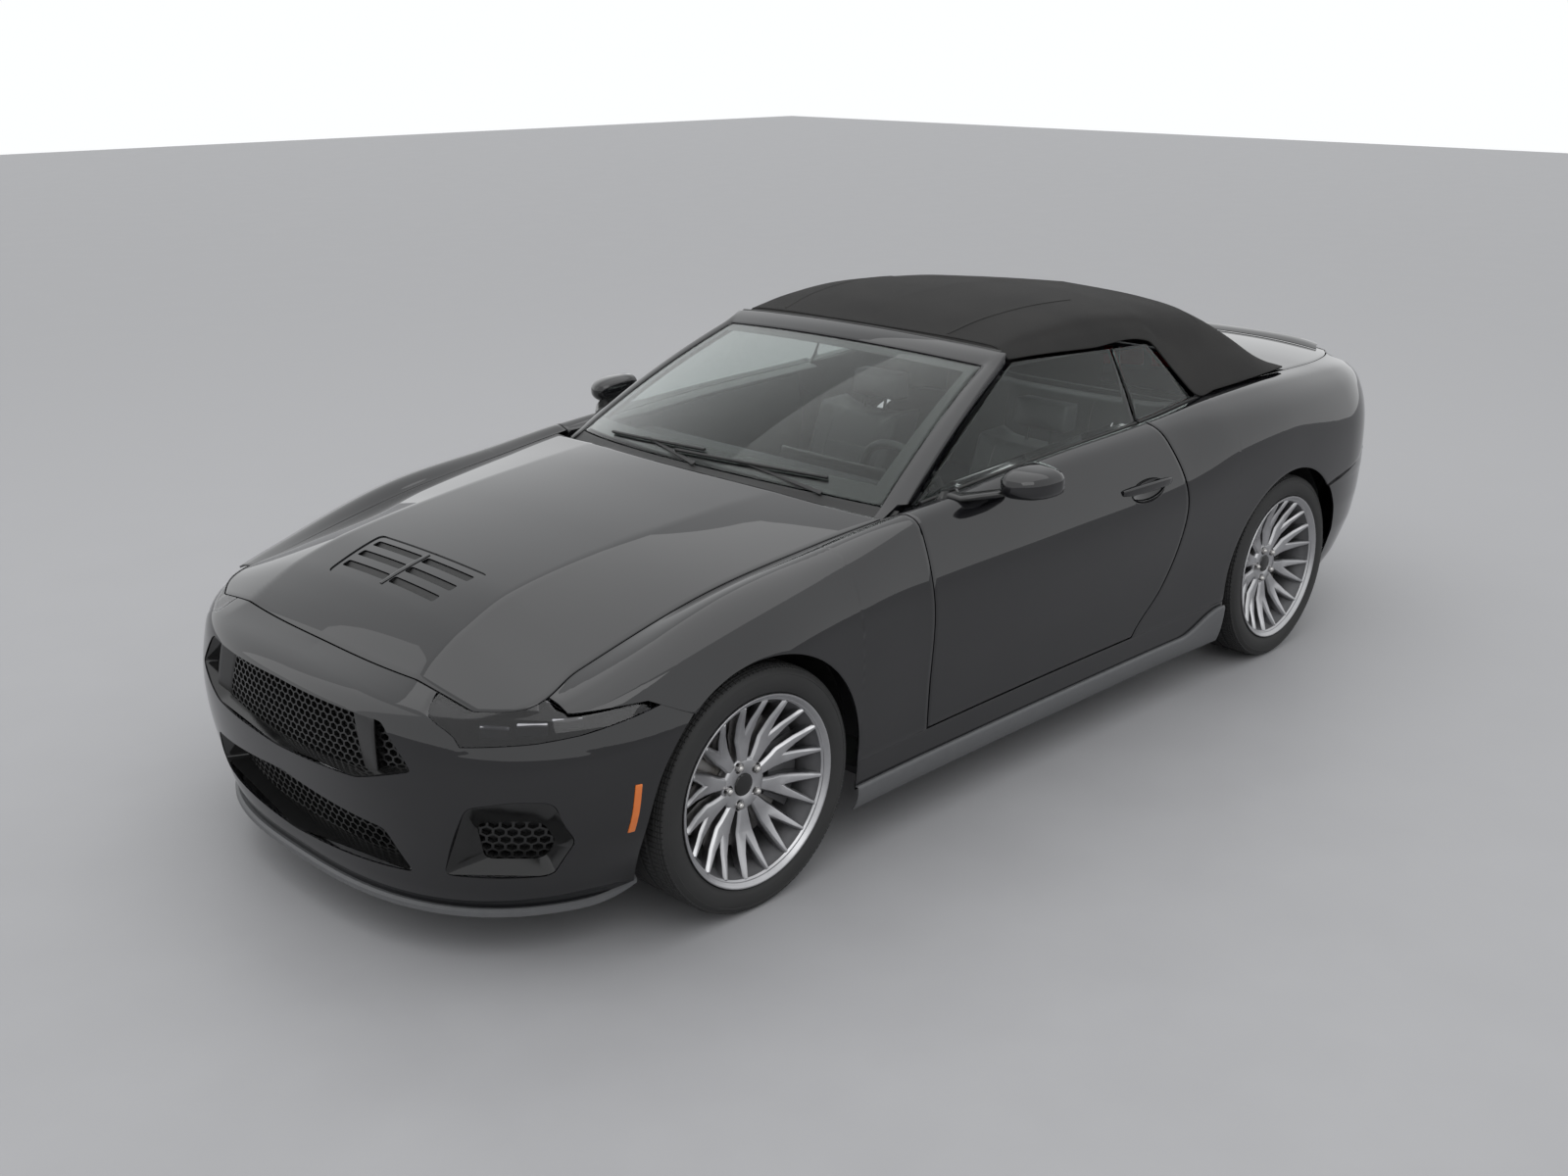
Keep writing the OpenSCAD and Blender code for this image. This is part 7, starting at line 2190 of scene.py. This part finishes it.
def finish(name, dark, light, rough, metal=0.0, cloud=12.0, bump=None, bump_scale=300.0,
           bump_depth=0.0005, bump_strength=0.3, coat=0.0, coat_rough=0.03, spec=0.5):
    """A Principled finish: colour and gloss from a cloud, relief from a bump group."""
    mat = bpy.data.materials.new(name)
    mat.use_nodes = True
    tree = mat.node_tree
    shader = tree.nodes["Principled BSDF"]
    shader.inputs["Metallic"].default_value = metal
    shader.inputs["Coat Weight"].default_value = coat
    shader.inputs["Coat Roughness"].default_value = coat_rough
    shader.inputs["Specular IOR Level"].default_value = spec
    soft = tree.nodes.new("ShaderNodeGroup")
    soft.node_tree = cloud_group
    soft.inputs["Scale"].default_value = cloud
    colours = tree.nodes.new("ShaderNodeMix")
    colours.data_type = "RGBA"
    colours.inputs["A"].default_value = rgba(dark)
    colours.inputs["B"].default_value = rgba(light)
    tree.links.new(soft.outputs["Value"], colours.inputs["Factor"])
    tree.links.new(colours.outputs["Result"], shader.inputs["Base Color"])
    gloss = tree.nodes.new("ShaderNodeMapRange")
    gloss.inputs["To Min"].default_value, gloss.inputs["To Max"].default_value = rough
    tree.links.new(soft.outputs["Value"], gloss.inputs["Value"])
    tree.links.new(gloss.outputs["Result"], shader.inputs["Roughness"])
    if bump:
        relief = tree.nodes.new("ShaderNodeGroup")
        relief.node_tree = bump
        relief.inputs["Scale"].default_value = bump_scale
        node = tree.nodes.new("ShaderNodeBump")
        node.inputs["Strength"].default_value = bump_strength
        node.inputs["Distance"].default_value = bump_depth
        tree.links.new(relief.outputs[0], node.inputs["Height"])
        tree.links.new(node.outputs["Normal"], shader.inputs["Normal"])
    return mat


def glass_finish(name, tint, ior=1.47):
    """Clear or tinted glass with a trace of dust in its gloss."""
    mat = finish(name, tint, tuple(min(1, 1.03 * k) for k in tint), (0.0, 0.012), cloud=9.0)
    shader = mat.node_tree.nodes["Principled BSDF"]
    shader.inputs["Transmission Weight"].default_value = 1.0
    shader.inputs["IOR"].default_value = ior
    return mat


print("finish helpers ready, groups:", len(bpy.data.node_groups))

# %% Paint, trim, cloth and glass
paint = finish("paint", (0.004, 0.004, 0.005), (0.007, 0.007, 0.008), (0.20, 0.26), cloud=6.0,
               bump=cloud_group, bump_scale=260.0, bump_depth=0.0002, bump_strength=0.03,
               coat=1.0, coat_rough=0.015, spec=0.0)
paint.node_tree.nodes["Principled BSDF"].inputs["Coat IOR"].default_value = 1.62
gloss_trim = finish("gloss_trim", 0.006, 0.012, (0.08, 0.16), cloud=30.0)
satin_trim = finish("satin_trim", (0.075, 0.077, 0.080), (0.100, 0.102, 0.106), (0.42, 0.52),
                    cloud=40.0, bump=grain_group, bump_scale=900.0, bump_depth=0.0002)
dark_trim = finish("dark_trim", 0.008, 0.016, (0.45, 0.6), cloud=40.0,
                   bump=grain_group, bump_scale=700.0, bump_depth=0.0002)
mesh_black = finish("mesh_black", 0.006, 0.014, (0.28, 0.4), cloud=30.0)
fabric = finish("fabric", 0.013, (0.032, 0.031, 0.030), (0.85, 0.95), cloud=5.0,
                bump=weave_group, bump_scale=220.0, bump_depth=0.001, bump_strength=0.5, spec=0.25)
clear_glass = glass_finish("clear_glass", (0.72, 0.77, 0.75), ior=1.30)
frit_black = finish("frit_black", 0.004, 0.008, (0.3, 0.4), cloud=50.0)
smoke_lens = glass_finish("smoke_lens", (0.13, 0.13, 0.14))
element_grey = finish("element_grey", (0.30, 0.30, 0.32), (0.42, 0.42, 0.44), (0.1, 0.2), cloud=40.0,
                      coat=1.0)
red_lens = finish("red_lens", (0.16, 0.002, 0.004), (0.24, 0.004, 0.006), (0.06, 0.12), cloud=20.0,
                  coat=1.0)
amber_lens = finish("amber_lens", (0.55, 0.12, 0.01), (0.68, 0.17, 0.015), (0.06, 0.14), cloud=40.0,
                    coat=1.0)
mirror_glass = finish("mirror_glass", (0.75, 0.77, 0.78), (0.80, 0.82, 0.83), (0.01, 0.03), metal=1.0)
plate_white = finish("plate_white", (0.55, 0.55, 0.54), (0.62, 0.62, 0.61), (0.35, 0.5), cloud=25.0)
print("outer finishes", len(bpy.data.materials))

# %% Rubber, metal, leather and cabin
rubber = finish("rubber", 0.010, 0.022, (0.62, 0.8), cloud=14.0,
                bump=cloud_group, bump_scale=420.0, bump_depth=0.0006)
alloy = finish("alloy", (0.40, 0.40, 0.41), (0.47, 0.47, 0.48), (0.26, 0.36), metal=1.0, cloud=60.0,
               bump=cloud_group, bump_scale=900.0, bump_depth=0.0001, bump_strength=0.15)
iron = finish("iron", (0.26, 0.25, 0.24), (0.38, 0.37, 0.36), (0.28, 0.46), metal=1.0, cloud=35.0,
              bump=cloud_group, bump_scale=700.0, bump_depth=0.0002)
# cast: the dark finish of cast metal parts; on the wheel barrels it is also painted shade, darker than the
# alloy spokes to stand in for the shade inside the wheel.
cast = finish("cast", (0.10, 0.10, 0.105), (0.16, 0.16, 0.165), (0.5, 0.7), metal=0.7, cloud=30.0,
              bump=cloud_group, bump_scale=350.0, bump_depth=0.0008)
structure = finish("structure", (0.03, 0.03, 0.032), (0.05, 0.05, 0.052), (0.5, 0.7), cloud=8.0,
                   bump=cloud_group, bump_scale=300.0, bump_depth=0.0005)
# leather and cabin: partly their own black, and set darker still as painted shade for the cabin under the
# raised top.
leather = finish("leather", (0.055, 0.055, 0.058), (0.080, 0.080, 0.083), (0.45, 0.6), cloud=9.0,
                 bump=grain_group, bump_scale=420.0, bump_depth=0.0006)
cabin = finish("cabin", (0.022, 0.022, 0.024), (0.036, 0.036, 0.038), (0.5, 0.65), cloud=10.0,
               bump=grain_group, bump_scale=600.0, bump_depth=0.0004)
steel = finish("steel", (0.42, 0.41, 0.40), (0.55, 0.54, 0.53), (0.2, 0.35), metal=1.0, cloud=25.0)
thread = finish("thread", 0.10, 0.16, (0.6, 0.8), cloud=400.0)
wheel_leather = finish("wheel_leather", (0.014, 0.014, 0.015), (0.022, 0.022, 0.023), (0.4, 0.55),
                       cloud=20.0, bump=grain_group, bump_scale=700.0, bump_depth=0.0004)
print("all finishes", len(bpy.data.materials))


# %% Finishes for every piece
def dress(mat, *objs):
    for obj in objs:
        obj.data.materials.clear()
        obj.data.materials.append(mat)


SLOT_FINISH = {
    "paint": paint, "structure": structure, "dark_trim": dark_trim, "grille": mesh_black,
    "satin_trim": satin_trim, "lamp_smoke": smoke_lens, "lamp_red": red_lens, "top_fabric": fabric,
    "window": clear_glass, "cabin_trim": cabin, "seat_leather": leather, "cast_metal": cast,
    "radiator": dark_trim, "exhaust_steel": steel, "tyre": rubber, "wheel_alloy": alloy,
    "brake_iron": iron,
}
for entry in frame["record"]["subparts"]:
    dress(SLOT_FINISH[entry["material_slot"]], nodes[entry["node"]])
# pieces, their finish and the name of their slot
PIECES = [
    (fenders + quarters + door_skins + [hood, deck, spoiler, bumper, rear_cover, ws_frame], paint, "paint"),
    ([windshield, rear_glass] + door_windows + quarter_windows, clear_glass, "window"),
    ([cloth, top_seams, flap], fabric, "top_fabric"),
    ([frit_band], frit_black, "dark_trim"),
    (ducts, gloss_trim, "dark_trim"),
    (meshes + blades, mesh_black, "grille"),
    (backs, dark_trim, "dark_trim"),
    (lenses, smoke_lens, "lamp_smoke"),
    (housings, gloss_trim, "lamp_smoke"),
    (elements, element_grey, "lamp_smoke"),
    (markers, amber_lens, "lamp_red"),
    (mirror_caps + handles + rockers + [vent, vent_rib], paint, "paint"),
    (mirror_faces, mirror_glass, "dark_trim"),
    (mirror_arms, gloss_trim, "dark_trim"),
    ([splitter] + skirts, satin_trim, "satin_trim"),
    ([cowl, wipers, louvres, header_seal, plate_holder], dark_trim, "dark_trim"),
    (belt_seals + quarter_seals, dark_trim, "dark_trim"),
    (rear_markers + [tail_lenses], red_lens, "lamp_red"),
    ([plate], plate_white, "satin_trim"),
    (seat_pads + [bench, bench_back], leather, "seat_leather"),
    (seat_seams + [rear_seams], thread, "seat_leather"),
    (seat_bases + cards + [dash, console], cabin, "cabin_trim"),
    ([screen, shifter], gloss_trim, "cabin_trim"),
    ([steer], wheel_leather, "cabin_trim"),
    (tyres, rubber, "tyre"),
    (rims, alloy, "wheel_alloy"),
    # the barrels are of the wheel's alloy; their darker cast finish is partly their own tone and partly
    # painted shade inside the wheel
    (barrels, cast, "wheel_alloy"),
    (wheel_nuts, steel, "wheel_alloy"),
    (caps, gloss_trim, "dark_trim"),
]
for objs, mat, slot_name in PIECES:
    dress(mat, *objs)
    for obj in objs:
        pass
print("dressed", len(nodes), "nodes")

# %% [markdown]
# ## Studio
# Black paint shows only what it reflects, so the light is what makes the panels read: a
# pale floor, a pale surround and three broad soft lamps. Small bright lamps would give hard
# spots and leave the rest black. The floor is a stage piece, not part of the car.

# %% Floor and light
pick()
bpy.ops.mesh.primitive_plane_add(size=60, location=(0, 0, 0))
floor = done("studio_floor")
floor_mat = finish("floor_pale", (0.31, 0.31, 0.32), (0.35, 0.35, 0.36), (0.45, 0.6), cloud=3.0)
dress(floor_mat, floor)
world = bpy.data.worlds.new("studio")
bpy.context.scene.world = world
world.use_nodes = True
back = world.node_tree.nodes["Background"]
back.inputs["Color"].default_value = (0.86, 0.87, 0.88, 1)
back.inputs["Strength"].default_value = 1.15
# name, place, what it lights, its size and its watts
LAMPS = [("key", (3.0, 5.0, 5.5), (0, 0, 0.5), 4.0, 60), ("top", (0.0, 0.0, 6.5), (0, 0, 0), 8.0, 130),
         ("fill", (5.0, -4.0, 4.0), (0, 0, 0.5), 4.0, 20)]
for name, place, aim, size, watts in LAMPS:
    lamp = bpy.data.lights.new(name, "AREA")
    lamp.shape, lamp.size, lamp.energy = "SQUARE", size, watts
    holder = bpy.data.objects.new(name, lamp)
    bpy.context.scene.collection.objects.link(holder)
    holder.location = place
    holder.rotation_euler = (Vector(aim) - Vector(place)).to_track_quat("-Z", "Y").to_euler()
bpy.context.scene.view_settings.view_transform = "Standard"
print("lamps", [row[0] for row in LAMPS])

# %% Camera
turn, tilt = math.radians(44.80), math.radians(18.78)
behind = Vector((math.cos(turn) * math.cos(tilt), math.sin(turn) * math.cos(tilt), math.sin(tilt)))
right = Vector((0, 0, 1)).cross(behind).normalized()
pose = Matrix((right, behind.cross(right), behind)).transposed().to_4x4()
pose.translation = (4.265, 3.732, 2.251)
optics = bpy.data.cameras.new("camera")
optics.sensor_width, optics.lens = 36, 37.56
camera = bpy.data.objects.new("camera", optics)
bpy.context.scene.collection.objects.link(camera)
camera.matrix_world = pose
bpy.context.scene.camera = camera
print("camera", [round(k, 3) for k in pose.translation])
